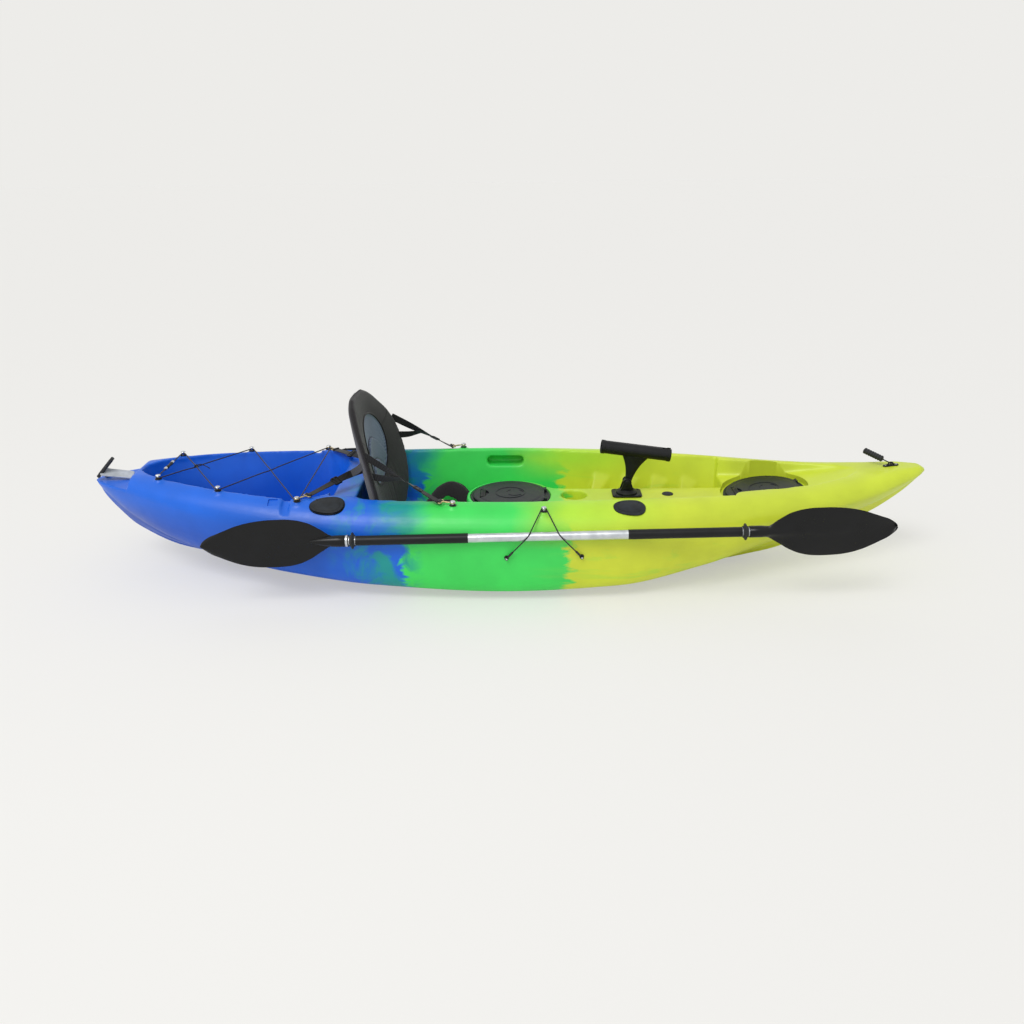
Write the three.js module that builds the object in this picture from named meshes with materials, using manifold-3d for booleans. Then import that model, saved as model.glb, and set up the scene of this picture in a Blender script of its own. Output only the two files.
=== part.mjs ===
// Sit-on-top fishing kayak: moulded hull with tank well, seat well and foot wells, two round
// hatches, a swivelling rod holder, flush rod sockets, seat, lacing, toggles and a paddle.
// Millimetres, +X to the bow, +Y to port, +Z up. z = 0 is the underside of the keel at mid length.
import * as THREE from 'three';
import { mergeVertices } from 'three/addons/utils/BufferGeometryUtils.js';
import { ConvexGeometry } from 'three/addons/geometries/ConvexGeometry.js';
import Module from 'manifold-3d';

const wasm = await Module();
wasm.setup();

// Fits that every piece shares
const seatGap = 0.3;
const overrun = 60;
const slopeStep = 1;
const mergeDistance = 1e-4;
const port = 1;
const starboard = -1;
const sides = [port, starboard];

// Hull, overall
const hullLength = 2950;
const hullBeam = 780;
const hullDepth = 340;
const hullWall = 4.5;
const tipSolid = 34;
const shoulderWidth = 112;
const scupperOffset = 155;
const keelStripWidth = 44;
const grooveOuterOffset = 292;
const grooveWidth = 56;
const grooveDepth = 19;
const halfLength = hullLength / 2;
const halfBeam = hullBeam / 2;

// Hull form, station by station from stern to bow. Places are shares of the half length,
// widths are shares of the half beam and heights are shares of the depth.
const stationShares = [-1, -0.985, -0.955, -0.91, -0.8, -0.66, -0.5, -0.3, 0, 0.25, 0.45, 0.62, 0.75, 0.87,
  0.95, 0.985, 1];
const beamShares = [0.05, 0.11, 0.2, 0.305, 0.52, 0.715, 0.86, 0.95, 1, 0.965, 0.83, 0.66, 0.5, 0.315,
  0.17, 0.09, 0.04];
const chineWidthShares = [0.4, 0.42, 0.46, 0.5, 0.62, 0.75, 0.85, 0.88, 0.885, 0.875, 0.77, 0.5, 0.38, 0.3,
  0.3, 0.35, 0.4];
const keelRiseShares = [0.91, 0.77, 0.6, 0.41, 0.2, 0.12, 0.055, 0, 0, 0, 0.02, 0.09, 0.27, 0.48,
  0.72, 0.87, 0.94];
const chineRiseShares = [0.935, 0.86, 0.75, 0.6, 0.41, 0.3, 0.225, 0.14, 0.085, 0.12, 0.23, 0.345, 0.47, 0.62,
  0.8, 0.91, 0.955];
const beamRiseShares = [0.94, 0.935, 0.93, 0.92, 0.87, 0.765, 0.69, 0.66, 0.645, 0.645, 0.66, 0.7, 0.755, 0.83,
  0.91, 0.945, 0.96];
const topRiseShares = [0.955, 0.985, 1.02, 1.055, 1.065, 1.04, 1.0, 0.97, 0.962, 0.947, 0.935, 0.93, 0.945, 0.985,
  1.02, 1.02, 0.99];
const fullnessShares = [0.3, 0.35, 0.4, 0.5, 0.7, 0.8, 0.85, 0.85, 0.85, 0.85, 0.8, 0.65, 0.5, 0.35,
  0.3, 0.3, 0.3];
const grooveFadeShares = [0, 0, 0, 0.1, 0.75, 1, 1, 1, 1, 1, 1, 0.7, 0, 0, 0, 0, 0];
const planksRiseShare = 0.3;
const outerStations = 20;
const cavityStations = 10;
const shoulderSteps = 3;
const sideSteps = 2;

// Stern end, lower than the side decks, where the carry handle lies
const sternFlatLength = 156;
const sternFlatHeight = 320;
const sternStepSlope = 14;

// Tank well behind the seat, stations from aft to fore
const tankPlaceShares = [-0.888, -0.852, -0.8, -0.66, -0.53, -0.468, -0.44, -0.415, -0.401, -0.392];
const tankTopShares = [0.06, 0.19, 0.32, 0.515, 0.635, 0.672, 0.63, 0.575, 0.5, 0.42];
const tankFloorShares = [0.05, 0.12, 0.19, 0.36, 0.525, 0.53, 0.51, 0.47, 0.43, 0.38];
const tankRiseShares = [1.12, 0.53, 0.46, 0.39, 0.36, 0.352, 0.5, 0.78, 0.94, 1.12];
const wellFloorRadius = 26;

// Shelf between the tank well and the seat, a little lower than the side decks
const shelfPlaceShares = [-0.405, -0.33];
const shelfHalfWidth = 228;
const shelfDrop = 22;

// Seat well and foot wells
const cockpitPlaceShares = [-0.352, -0.342, -0.318, -0.26, -0.174, 0, 0.2, 0.355, 0.5, 0.521, 0.531];
const cockpitTopShares = [0.55, 0.6, 0.655, 0.685, 0.7, 0.722, 0.666, 0.608, 0.552, 0.545, 0.54];
const cockpitFloorShares = [0.5, 0.53, 0.56, 0.585, 0.6, 0.61, 0.577, 0.49, 0.385, 0.37, 0.36];
const cockpitRiseShares = [1.12, 0.62, 0.353, 0.353, 0.353, 0.31, 0.295, 0.295, 0.295, 0.32, 0.8];

// Ridge down the middle of the foot wells and the round boss of the centre hatch
const ridgeHeight = 243;
const ridgeHalfWidth = 63;
const ridgeDraft = 9;
const ridgeFlareLength = 70;
const ridgeFlareHalfWidth = 118;
const ridgeEndX = 800;
const bossTopRadius = 157;
const bossFootRadius = 168;
const bossSides = 20;

// Foot-rest steps in both foot wells
const footrestCount = 4;
const footrestFirstX = 289;
const footrestPitch = 110;
const footrestRake = 40;
const footrestHeight = 148;
const footrestInShare = 0.77;
const footrestBite = 3;

// Sunken foredeck round the bow hatch, running out to a point
const foredeckPlaceShares = [0.5, 0.56, 0.65, 0.72, 0.8, 0.878];
const foredeckTopShares = [0.49, 0.44, 0.365, 0.3, 0.165, 0.012];
const foredeckFloorShares = [0.44, 0.39, 0.32, 0.26, 0.14, 0.006];
const foredeckRiseShares = [0.735, 0.75, 0.79, 0.84, 0.92, 1.01];
const foredeckEdgeRadius = 12;

// Hatches, both of one size
const hatchLidRadius = 134;
const hatchLidThickness = 7;
const hatchLidCrown = 4;
const hatchPlugDepth = 8;
const hatchPlugWall = 5;
const hatchRimRadius = 143;
const hatchRimThickness = 6;
const hatchRimCollarDepth = 20;
const hatchRimWall = 5;
const hatchBoreRadius = 113;
const hatchFit = 1.3;
const hatchSides = 20;
const hatchSeatDrop = 7;
const hatchPocketRadius = 153;
const hatchPocketSides = 20;
const centerHatchX = 9;
const bowHatchX = 917;
const bowHatchTilt = THREE.MathUtils.degToRad(6.6);
const bowHatchSeatHeight = 247;
const hatchHoleRadius = hatchBoreRadius + hatchRimWall + hatchFit;

// Hatch hinges and lifting latch
const hingePinRadius = 1.8;
const hingeBarrelRadius = 4;
const hingeBarrelLength = 16;
const hingeOffset = 46;
const hingeEarWidth = 4;
const hingeSides = 8;
const latchLength = 70;
const latchWidth = 15;
const latchThickness = 6;
const latchInboard = 34;
const latchDishDepth = 3;
const latchDishLength = 48;
const latchDishMargin = 12;

// Cup recess in the ridge
const cupX = 237;
const cupRadius = 46;
const cupFootRadius = 40;
const cupDepth = 68;
const cupSides = 16;

// Finger pockets moulded into the inner walls as carry handles
const gripX = -13;
const gripLength = 140;
const gripHeight = 38;
const gripMidHeight = 282;
const gripDepth = 46;

// Cross notches in the gunwales and the small square recesses behind them
const notchX = -731;
const notchWidth = 28;
const notchDepth = 12;
const squareLength = 32;
const squareWidth = 29;
const squareDepth = 6;
const squareSpacing = 44;
const gunwaleRecessInboard = 56;

// Scupper holes and their rubber plugs
const scupperPlaceShares = [-0.502, -0.243, 0.243];
const scupperNames = ['aft', 'middle', 'fore'];
const scupperBoreRadius = 12.5;
const scupperTubeWall = 5;
const scupperSides = 8;
const scupperHeadRadius = 21;
const scupperHeadHeight = 5;
const scupperCupRadius = 8;
const scupperCupDepth = 22;
const scupperStemLength = 46;

// Recess under the bow for the sounder, with its pointed after end, and its cover plate
const sounderAftX = 316;
const sounderShoulderX = 392;
const sounderForeX = 705;
const sounderHalfWidth = 73;
const sounderRecessRise = 40;
const sounderLedge = 12;
const sounderPlateSetback = 6;
const sounderPlateThickness = 4;
const sounderPlateRadius = 22;
const sounderSlotCount = 10;
const sounderSlotPitch = 21;
const sounderSlotWidth = 8;
const sounderSlotLength = 34;
const sounderSlotOffset = 26;
const sounderScrewRadius = 4;
const sounderScrewInset = 12;

// Screwed covers on the gunwales: large ones aft over the rod sockets, small ones forward
const aftCoverPlaceShare = -0.4;
const aftCoverInboard = 62;
const aftCoverLength = 117;
const aftCoverWidth = 79;
const foreCoverPlaceShare = 0.273;
const foreCoverInboard = 68;
const foreCoverLength = 105;
const foreCoverWidth = 72;
const coverSetback = 5;
const coverThickness = 4;
const coverNarrowShare = 0.66;
const coverMargin = 1.5;
const coverSegments = 3;

// Rod sockets under the aft covers
const socketBoreRadius = 20;
const socketWall = 3;
const socketLength = 215;
const socketRake = THREE.MathUtils.degToRad(30);
const socketLean = THREE.MathUtils.degToRad(4);
const socketSides = 10;
const socketFit = 1.2;
const capBossDepth = 4;
const capBossRadius = 14;

// Round-headed deck buttons that carry the lacing and the seat straps
const buttonWasherRadius = 12;
const buttonWasherHeight = 2.5;
const buttonPostRadius = 4.5;
const buttonPostHeight = 9.2;
const buttonHeadRadius = 9;
const buttonHeadHeight = 5;
const buttonSides = 8;
const buttonPadRadius = 15;
const buttonPadDraft = 2.5;
const buttonPadHeight = 4;
const buttonPadSides = 6;
const lacingPlaceShares = [-0.814, -0.658, -0.469];
const lacingNames = ['aft', 'middle', 'fore'];
const lacingInboard = 64;
const lacingRadius = 2;
const lacingCordSides = 6;
const lacingClipLength = 86;
const lacingClipRadius = 7;
const lacingCrossing = 2.3;
const wrapStep = THREE.MathUtils.degToRad(36);
const seatEyePlaceShare = -0.1186;
const seatEyeInboard = 75;

// Base and turret of the swivelling rod holder on the ridge
const rodX = 426;
const rodPlateLength = 105;
const rodPlateWidth = 78;
const rodPlateThickness = 7;
const rodPlateRadius = 14;
const rodSpigotRadius = 14;
const rodSpigotHeight = 6;
const rodTurretFootRadius = 38;
const rodTurretTopRadius = 26;
const rodTurretHeight = 14;
const rodEarThickness = 7;
const rodEarFootWidth = 50;
const rodEarRadius = 15;
const rodEarSegments = 4;
const rodPivotHeight = 292;
const rodTongueThickness = 20;
const rodTongueRadius = 13;
const rodBoltRadius = 5;
const rodBoltHeadRadius = 10;
const rodBoltHeadHeight = 5;
const rodFit = 0.5;
const rodSides = 10;

// Tube of the rod holder and the flared post under it
const rodTubeBoreRadius = 20.5;
const rodTubeWall = 4;
const rodTubeLength = 247;
const rodTubeSlope = THREE.MathUtils.degToRad(7.8);
const rodTubeMidX = 27;
const rodTubeMidRise = 115;
const rodTubeSides = 12;
const rodWaistHalfLength = 12;
const rodWaistHalfWidth = 9;
const rodWaistRise = 24;
const rodFlareHalfLength = 46;
const rodFlareHalfWidth = 14;
const rodNotchLength = 34;
const rodNotchWidth = 15;

// Small vent plug on the ridge, in a shallow round seat
const ventX = 573;
const ventSeatDepth = 1;
const ventFlangeRadius = 20;
const ventFlangeHeight = 5;
const ventStemRadius = 9;
const ventStemLength = 14;
const ventSides = 10;

// Seat pad: a horseshoe cushion with a sunken middle, lying on the seat floor
const padRearX = -420;
const padHornX = -106;
const padHalfWidth = 200;
const padRearHalfWidth = 85;
const padEdgeHeight = 22;
const padCrown = 44;
const padPanelHeight = 26;
const padPanelHalfWidth = 68;
const padPanelWideHalfWidth = 92;
const padPanelFrontX = -190;
const padPanelEdge = 26;
const padCornerShare = 0.72;
const padFlareShare = 0.9;
const padFlarePowerShare = 1.5;
const padClearance = 2;
const padSides = 26;

// Backrest: a bent, leaning cushion with a sunken oval panel of three lobes
const backHingeX = -436;
const backHingeHeight = 124;
const backHeight = 502;
const backHalfWidth = 252;
const backThickness = 44;
const backLean = THREE.MathUtils.degToRad(10.5);
const backBend = 60;
const backTurn = THREE.MathUtils.degToRad(4);
const backPanelHalfWidth = 132;
const backPanelHalfHeight = 128;
const backPanelRise = 300;
const backPanelDepth = 9;
const backLobes = 3;
const backSides = 22;
const backStations = 13;
const backTaperShare = 0.1;
const backEdgeShare = 0.25;
const backRiseShares = [0, 0.06, 0.2, 0.4, 0.6, 0.75, 0.88, 0.96, 1];
const backWidthShares = [0.62, 0.76, 0.93, 1, 0.96, 0.84, 0.62, 0.44, 0.3];

// Webbing between the backrest and the hull, and its snap hooks
const strapWidth = 25;
const strapThickness = 3;
const strapLoopBore = 3.3;
const strapSteps = 4;
const frontStrapRise = 347;
const frontBranchRise = 274;
const branchShare = 0.5;
const rearStrapRise = 255;
const rearBranchRise = 325;
const rearBranchShare = 0.6;
const rearStrapInset = 60;
const hookLength = 62;
const hookThickness = 4;
const hookRingRadius = 9.5;
const hookRingBore = 5.2;
const hookNeck = 4;
const hookSlotLength = 27;
const hookSlotWidth = 7;
const hookSegments = 3;
const loopSides = 8;
const strapOffsetShare = 0.9;
const rearStrapOffset = 70;

// Carry toggles, the pad-eye at the bow and the eye bolt at the stern
const bowEyeX = 1356;
const bowEyePlateLength = 54;
const bowEyePlateWidth = 20;
const bowEyePlateThickness = 3;
const bowEyeRingRadius = 10;
const bowEyeWire = 2.5;
const toggleLength = 74;
const toggleRadius = 11;
const toggleRibs = 4;
const toggleSides = 8;
const toggleKnotRadius = 4;
const toggleCordRadius = 2;
const toggleCordSides = 6;
const eyeSides = 8;
const wireSides = 5;
const bowToggleBack = 50;
const bowToggleSide = 32;
const bowToggleRise = 36;
const bowToggleYaw = THREE.MathUtils.degToRad(130);
const bowTogglePitch = THREE.MathUtils.degToRad(16);
const sternEyeX = -1441;
const sternEyeY = 18;
const sternStrapAftX = -1452;
const sternStrapForeX = -1325;
const sternStrapWidth = 38;
const sternStrapThickness = 5;
const sternStrapRise = 22;
const sternStrapRoll = THREE.MathUtils.degToRad(24);
const sternStrapTurn = THREE.MathUtils.degToRad(8);
const sternWebbingThickness = 3;
const sternTabLength = 16;
const sternPlateRadius = 8;
const sternPlateLift = 6;
const sternEyeTurn = THREE.MathUtils.degToRad(35);
const sternToggleLength = 88;
const sternToggleWidth = 24;
const sternToggleThickness = 12;
const sternToggleLean = THREE.MathUtils.degToRad(42);
const sternToggleJoinShare = 0.15;

// Paddle: two-part tube, grips, drip rings and spoon blades
const paddleMidX = 134;
const paddleMidHeight = 252;
const paddleTilt = THREE.MathUtils.degToRad(1);
const shaftRadius = 15;
const shaftWall = 1.4;
const shaftSides = 12;
const shaftHalfLength = 680;
const ferruleLength = 90;
const ferruleWall = 1.6;
const gripStart = 256;
const gripSleeveLength = 362;
const gripSleeveWall = 1.6;
const dripStart = 620;
const dripLength = 17;
const dripRadius = 27;
const dripLip = 3;
const bladeStart = 640;
const bladeNeckLength = 78;
const bladeNeckRadius = 19;
const bladeLength = 398;
const bladeUpperWidth = 78;
const bladeLowerWidth = 88;
const bladeThickness = 3.5;
const bladeRib = 9;
const bladeScoop = 30;
const bladeUpperShares = [0.22, 0.52, 0.81, 0.95, 1, 1, 0.97, 0.9, 0.78, 0.6, 0.35, 0.06];
const bladeLowerShares = [0.2, 0.42, 0.7, 0.89, 0.98, 1, 0.99, 0.94, 0.83, 0.65, 0.36, 0.04];

// Paddle keeper: a button on the gunwale, two small ones on the side and the cord between them
const keeperX = 122;
const keeperInboard = 52;
const keeperCordRadius = 2;
const keeperSpread = 122;
const keeperHookHeight = 172;
const keeperWasherRadius = 8;
const keeperWasherHeight = 2;
const keeperPostRadius = 3;
const keeperPostHeight = 8;
const keeperHeadRadius = 5.5;
const keeperHeadHeight = 3;
const keeperEyeWire = 1.5;
const keeperSleeveRadius = 3.5;
const keeperSleeveLength = 25;
const keeperWraps = 3;
const contactStep = 0.05;
// Smooth curve through a table of shares, with no overshoot between its points
function smooth(shares, place) {
  const last = stationShares.length - 1;
  if (place <= stationShares[0]) return shares[0];
  if (place >= stationShares[last]) return shares[last];
  const high = stationShares.findIndex((share) => share > place);
  const low = high - 1;
  const span = stationShares[high] - stationShares[low];
  const t = (place - stationShares[low]) / span;
  const rise = shares[high] - shares[low];
  const startSlope = slopeAt(shares, low) * span;
  const endSlope = slopeAt(shares, high) * span;
  const square = 3 * rise - 2 * startSlope - endSlope;
  const cube = startSlope + endSlope - 2 * rise;
  return shares[low] + t * (startSlope + t * (square + t * cube));
}

function slopeAt(shares, index) {
  if (index === 0 || index === shares.length - 1) return 0;
  const run = stationShares[index] - stationShares[index - 1];
  const nextRun = stationShares[index + 1] - stationShares[index];
  const before = (shares[index] - shares[index - 1]) / run;
  const after = (shares[index + 1] - shares[index]) / nextRun;
  if (before * after <= 0) return 0;
  return 2 * before * after / (before + after);
}

// Straight-line reading of a table that has its own places
function between(places, values, place) {
  const high = places.findIndex((value) => value >= place);
  if (high <= 0) return high === 0 ? values[0] : values[values.length - 1];
  const t = (place - places[high - 1]) / (places[high] - places[high - 1]);
  return values[high - 1] + t * (values[high] - values[high - 1]);
}

// Solids: joining and cutting
function solidOf(geometry) {
  const bare = geometry.index ? geometry : geometry.clone();
  bare.deleteAttribute('normal');
  bare.deleteAttribute('uv');
  const merged = mergeVertices(bare, mergeDistance);
  const vertProperties = new Float32Array(merged.attributes.position.array);
  const triVerts = new Uint32Array(wholeTriangles(merged.index.array));
  return new wasm.Manifold(new wasm.Mesh({ numProp: 3, vertProperties, triVerts }));
}

// A lathe leaves triangles without area where its profile meets the axis
function wholeTriangles(index) {
  const kept = [];
  for (let i = 0; i < index.length; i += 3) {
    const [a, b, c] = index.slice(i, i + 3);
    if (a !== b && b !== c && c !== a) kept.push(a, b, c);
  }
  return kept;
}

function join(...pieces) {
  return pieces.reduce((whole, piece) => whole.add(piece));
}

function cut(base, ...tools) {
  return tools.reduce((left, tool) => left.subtract(tool), base);
}

function geometryOf(solid) {
  const mesh = solid.getMesh();
  const geometry = new THREE.BufferGeometry();
  const positions = new Float32Array(mesh.numVert * 3);
  for (let i = 0; i < mesh.numVert; i += 1) {
    for (let axis = 0; axis < 3; axis += 1) {
      positions[3 * i + axis] = mesh.vertProperties[mesh.numProp * i + axis];
    }
  }
  geometry.setAttribute('position', new THREE.BufferAttribute(positions, 3));
  geometry.setIndex(new THREE.BufferAttribute(new Uint32Array(mesh.triVerts), 1));
  return geometry;
}

// Closed skin over a row of rings that have the same number of points
function skin(rings, turnedFrom = rings[0].length) {
  const count = rings[0].length;
  const points = rings.flat();
  const faces = [];
  for (let i = 0; i + 1 < rings.length; i += 1) {
    for (let j = 0; j < count; j += 1) {
      const next = (j + 1) % count;
      const a = i * count + j;
      const b = i * count + next;
      if (j < turnedFrom) {
        faces.push([a, b, b + count], [a, b + count, a + count]);
      } else {
        faces.push([a, b, a + count], [b, b + count, a + count]);
      }
    }
  }
  const startHub = points.push(middleOf(rings[0])) - 1;
  const endHub = points.push(middleOf(rings[rings.length - 1])) - 1;
  const endBase = (rings.length - 1) * count;
  for (let j = 0; j < count; j += 1) {
    const next = (j + 1) % count;
    faces.push([startHub, next, j], [endHub, endBase + j, endBase + next]);
  }
  return closedGeometry(points, faces);
}

function middleOf(ring) {
  const sum = ring.reduce((total, point) => total.add(point), new THREE.Vector3());
  return sum.divideScalar(ring.length);
}

function closedGeometry(points, faces) {
  let volume = 0;
  faces.forEach(([a, b, c]) => {
    volume += points[a].dot(new THREE.Vector3().crossVectors(points[b], points[c]));
  });
  const turned = volume < 0 ? faces.map(([a, b, c]) => [a, c, b]) : faces;
  const geometry = new THREE.BufferGeometry().setFromPoints(points);
  geometry.setIndex(turned.flat());
  return geometry;
}

// Simple bodies, all standing on z = 0 unless they say otherwise
function block(x0, x1, y0, y1, z0, z1) {
  const geometry = new THREE.BoxGeometry(x1 - x0, y1 - y0, z1 - z0);
  return geometry.translate((x0 + x1) / 2, (y0 + y1) / 2, (z0 + z1) / 2);
}

function post(radius, height, sides, topRadius = radius) {
  const geometry = new THREE.CylinderGeometry(topRadius, radius, height, sides);
  return geometry.rotateX(Math.PI / 2).translate(0, 0, height / 2);
}

// Corner radius of a hole with flat sides in which a round of this radius can turn
function turningRadius(radius, sides) {
  return radius / Math.cos(Math.PI / sides);
}

// Hull form
function sectionAt(x, inset) {
  const place = x / halfLength;
  const beamY = Math.max(halfBeam * smooth(beamShares, place) - inset, inset / 2);
  const chineY = beamY * smooth(chineWidthShares, place);
  const keelZ = hullDepth * smooth(keelRiseShares, place) + inset;
  const chineZ = hullDepth * smooth(chineRiseShares, place) + inset;
  const beamZ = hullDepth * smooth(beamRiseShares, place);
  const topZ = hullDepth * smooth(topRiseShares, place) - inset;
  const shoulder = Math.min(shoulderWidth, beamY * 0.55);
  return { place, beamY, chineY, keelZ, chineZ, beamZ, topZ, shoulder };
}

function bottomPoints({ place, chineY, keelZ, chineZ }) {
  const depth = grooveDepth * smooth(grooveFadeShares, place);
  const strip = Math.min(keelStripWidth / 2, chineY / 8);
  const inner = Math.min(scupperOffset, chineY / 2);
  const outer = Math.min(grooveOuterOffset, chineY * 0.85);
  const half = Math.min(grooveWidth / 2, chineY * 0.085);
  const flatY = inner - half;
  const flatZ = keelZ + (chineZ - keelZ) * planksRiseShare * (flatY / chineY);
  const heightAt = (y) => flatZ + (chineZ - flatZ) * (y - flatY) / (chineY - flatY);
  const points = [[0, keelZ], [strip, keelZ]];
  [inner, outer].forEach((middle) => {
    points.push([middle - half, heightAt(middle - half)]);
    points.push([middle, heightAt(middle) + depth]);
    points.push([middle + half, heightAt(middle + half)]);
  });
  points.push([chineY, chineZ]);
  return points;
}

function sidePoints({ place, chineY, chineZ, beamY, beamZ }) {
  const fullness = smooth(fullnessShares, place);
  const bulgeY = (chineY + beamY) / 2 + (beamY - chineY) / 2 * fullness;
  const bulgeZ = (chineZ + beamZ) / 2 - (beamZ - chineZ) / 2 * fullness;
  const curve = new THREE.QuadraticBezierCurve(
    new THREE.Vector2(chineY, chineZ),
    new THREE.Vector2(bulgeY, bulgeZ),
    new THREE.Vector2(beamY, beamZ),
  );
  return curve.getPoints(sideSteps).slice(1).map((point) => [point.x, point.y]);
}

function shoulderPoints({ beamY, beamZ, topZ, shoulder }) {
  const points = [];
  for (let i = 1; i <= shoulderSteps; i += 1) {
    const turn = (Math.PI / 2) * (i / shoulderSteps);
    points.push([beamY - shoulder * (1 - Math.cos(turn)), beamZ + (topZ - beamZ) * Math.sin(turn)]);
  }
  return points;
}

function hullRing(x, inset) {
  const section = sectionAt(x, inset);
  const half = [...bottomPoints(section), ...sidePoints(section), ...shoulderPoints(section)];
  const right = half.map(([y, z]) => new THREE.Vector3(x, y, z));
  const left = half.slice(1).reverse().map(([y, z]) => new THREE.Vector3(x, -y, z));
  return [...right, new THREE.Vector3(x, 0, section.topZ), ...left];
}

function hullForm(inset, stations, reach) {
  const rings = [];
  for (let i = 0; i <= stations; i += 1) {
    rings.push(hullRing(-reach * Math.cos(Math.PI * i / stations), inset));
  }
  return solidOf(skin(rings));
}

// Height of the moulding at a place on the gunwale, and a frame that stands on it
function deckHeight(x, y) {
  const { beamY, beamZ, topZ, shoulder } = sectionAt(x, 0);
  const out = (Math.abs(y) - beamY + shoulder) / shoulder;
  if (out <= 0) return topZ;
  return beamZ + (topZ - beamZ) * Math.sqrt(Math.max(0, 1 - out * out));
}

function deckFrame(x, y) {
  const alongX = (deckHeight(x + slopeStep, y) - deckHeight(x - slopeStep, y)) / (2 * slopeStep);
  const alongY = (deckHeight(x, y + slopeStep) - deckHeight(x, y - slopeStep)) / (2 * slopeStep);
  return frameOn(new THREE.Vector3(x, y, deckHeight(x, y)), new THREE.Vector3(-alongX, -alongY, 1));
}

function frameOn(origin, normal) {
  const up = normal.clone().normalize();
  const across = new THREE.Vector3().crossVectors(up, new THREE.Vector3(1, 0, 0)).normalize();
  const ahead = new THREE.Vector3().crossVectors(across, up);
  return new THREE.Matrix4().makeBasis(ahead, across, up).setPosition(origin);
}

function gunwaleFrame(placeShare, inboard, side) {
  const x = placeShare * halfLength;
  return deckFrame(x, side * (sectionAt(x, 0).beamY - inboard));
}

// Open tray cut into the deck, with rounded foot edges. grow makes it larger by a wall.
function tray(placeShares, topShares, floorShares, riseShares, radius, grow) {
  const last = placeShares.length - 1;
  const rings = placeShares.map((place, i) => {
    const x = place * halfLength + (i === 0 ? -grow : 0) + (i === last ? grow : 0);
    const top = halfBeam * topShares[i] + grow;
    const floor = halfBeam * floorShares[i] + grow;
    return trayRing(x, top, floor, hullDepth * riseShares[i] - grow, radius);
  });
  return solidOf(skin(rings));
}

function trayRing(x, top, floor, foot, radius) {
  const lean = new THREE.Vector2(top - floor, Math.max(hullDepth - foot, radius)).normalize();
  const reach = Math.min(radius, floor / 2);
  const corner = new THREE.QuadraticBezierCurve(
    new THREE.Vector2(floor - reach, foot),
    new THREE.Vector2(floor, foot),
    new THREE.Vector2(floor + lean.x * reach, foot + lean.y * reach),
  );
  const half = corner.getPoints(2).map((point) => [point.x, point.y]);
  half.push([top, Math.max(hullDepth, foot + 2 * reach)], [top, hullDepth + overrun + foot]);
  const right = half.map(([y, z]) => new THREE.Vector3(x, y, z));
  const left = half.reverse().map(([y, z]) => new THREE.Vector3(x, -y, z));
  return [...right, ...left];
}

function tankWell(grow) {
  return tray(tankPlaceShares, tankTopShares, tankFloorShares, tankRiseShares, wellFloorRadius, grow);
}

function foredeckWell(grow) {
  const edge = foredeckEdgeRadius;
  return tray(foredeckPlaceShares, foredeckTopShares, foredeckFloorShares, foredeckRiseShares, edge, grow);
}

function seatShelf(grow) {
  const aft = shelfPlaceShares[0] * halfLength - grow;
  const fore = shelfPlaceShares[1] * halfLength + grow;
  const foot = sectionAt((aft + fore) / 2, 0).topZ - shelfDrop - grow;
  const wide = shelfHalfWidth + grow;
  return solidOf(block(aft, fore, -wide, wide, foot, hullDepth + overrun));
}

// Seat well and foot wells round the ridge and the hatch boss
function cockpitWell(grow) {
  const edge = wellFloorRadius;
  const open = tray(cockpitPlaceShares, cockpitTopShares, cockpitFloorShares, cockpitRiseShares, edge, grow);
  return cut(open, ridge(grow), hatchBoss(grow));
}

function ridge(inset) {
  const start = centerHatchX + bossTopRadius / 2;
  const middle = centerHatchX + bossTopRadius;
  const rings = [
    ridgeRing(start, ridgeFlareHalfWidth - inset, inset),
    ridgeRing(middle, ridgeHalfWidth + ridgeDraft - inset, inset),
    ridgeRing(middle + ridgeFlareLength, ridgeHalfWidth - inset, inset),
    ridgeRing(ridgeEndX, ridgeHalfWidth - inset, inset),
  ];
  return solidOf(skin(rings));
}

function ridgeRing(x, half, inset) {
  const top = ridgeHeight - inset;
  const foot = half + ridgeDraft;
  return [[foot, 0], [half, top], [-half, top], [-foot, 0]].map(([y, z]) => new THREE.Vector3(x, y, z));
}

function hatchBoss(inset) {
  const boss = post(bossFootRadius - inset, ridgeHeight - inset, bossSides, bossTopRadius - inset);
  return solidOf(boss.translate(centerHatchX, 0, 0));
}

function wallOffset(x, height) {
  const place = x / halfLength;
  const top = halfBeam * between(cockpitPlaceShares, cockpitTopShares, place);
  const floor = halfBeam * between(cockpitPlaceShares, cockpitFloorShares, place);
  const foot = hullDepth * between(cockpitPlaceShares, cockpitRiseShares, place);
  return floor + (top - floor) * (height - foot) / (hullDepth - foot);
}

function footrest(index, side) {
  const x = footrestFirstX + index * footrestPitch;
  const foreX = x + footrestPitch;
  const foot = hullDepth * between(cockpitPlaceShares, cockpitRiseShares, x / halfLength) - footrestBite;
  const top = foot + footrestHeight;
  const crest = footrestInShare * wallOffset(x, foot);
  const corners = [
    [x, crest, foot],
    [x, wallOffset(x, foot) + footrestBite, foot],
    [foreX, wallOffset(foreX, foot) + footrestBite, foot],
    [x + footrestRake, wallOffset(x + footrestRake, top), top],
    [x + footrestRake, wallOffset(x + footrestRake, top) + footrestBite, top],
    [foreX, wallOffset(foreX, top) + footrestBite, top],
  ];
  return solidOf(new ConvexGeometry(corners.map(([cx, cy, cz]) => new THREE.Vector3(cx, side * cy, cz))));
}

// Round recesses and holes for the hatches
function bowHatchFrame() {
  const normal = new THREE.Vector3(-Math.sin(bowHatchTilt), 0, Math.cos(bowHatchTilt));
  return frameOn(new THREE.Vector3(bowHatchX, 0, bowHatchSeatHeight), normal);
}

function centerHatchFrame() {
  const seat = ridgeHeight - hatchSeatDrop;
  return frameOn(new THREE.Vector3(centerHatchX, 0, seat), new THREE.Vector3(0, 0, 1));
}

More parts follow.
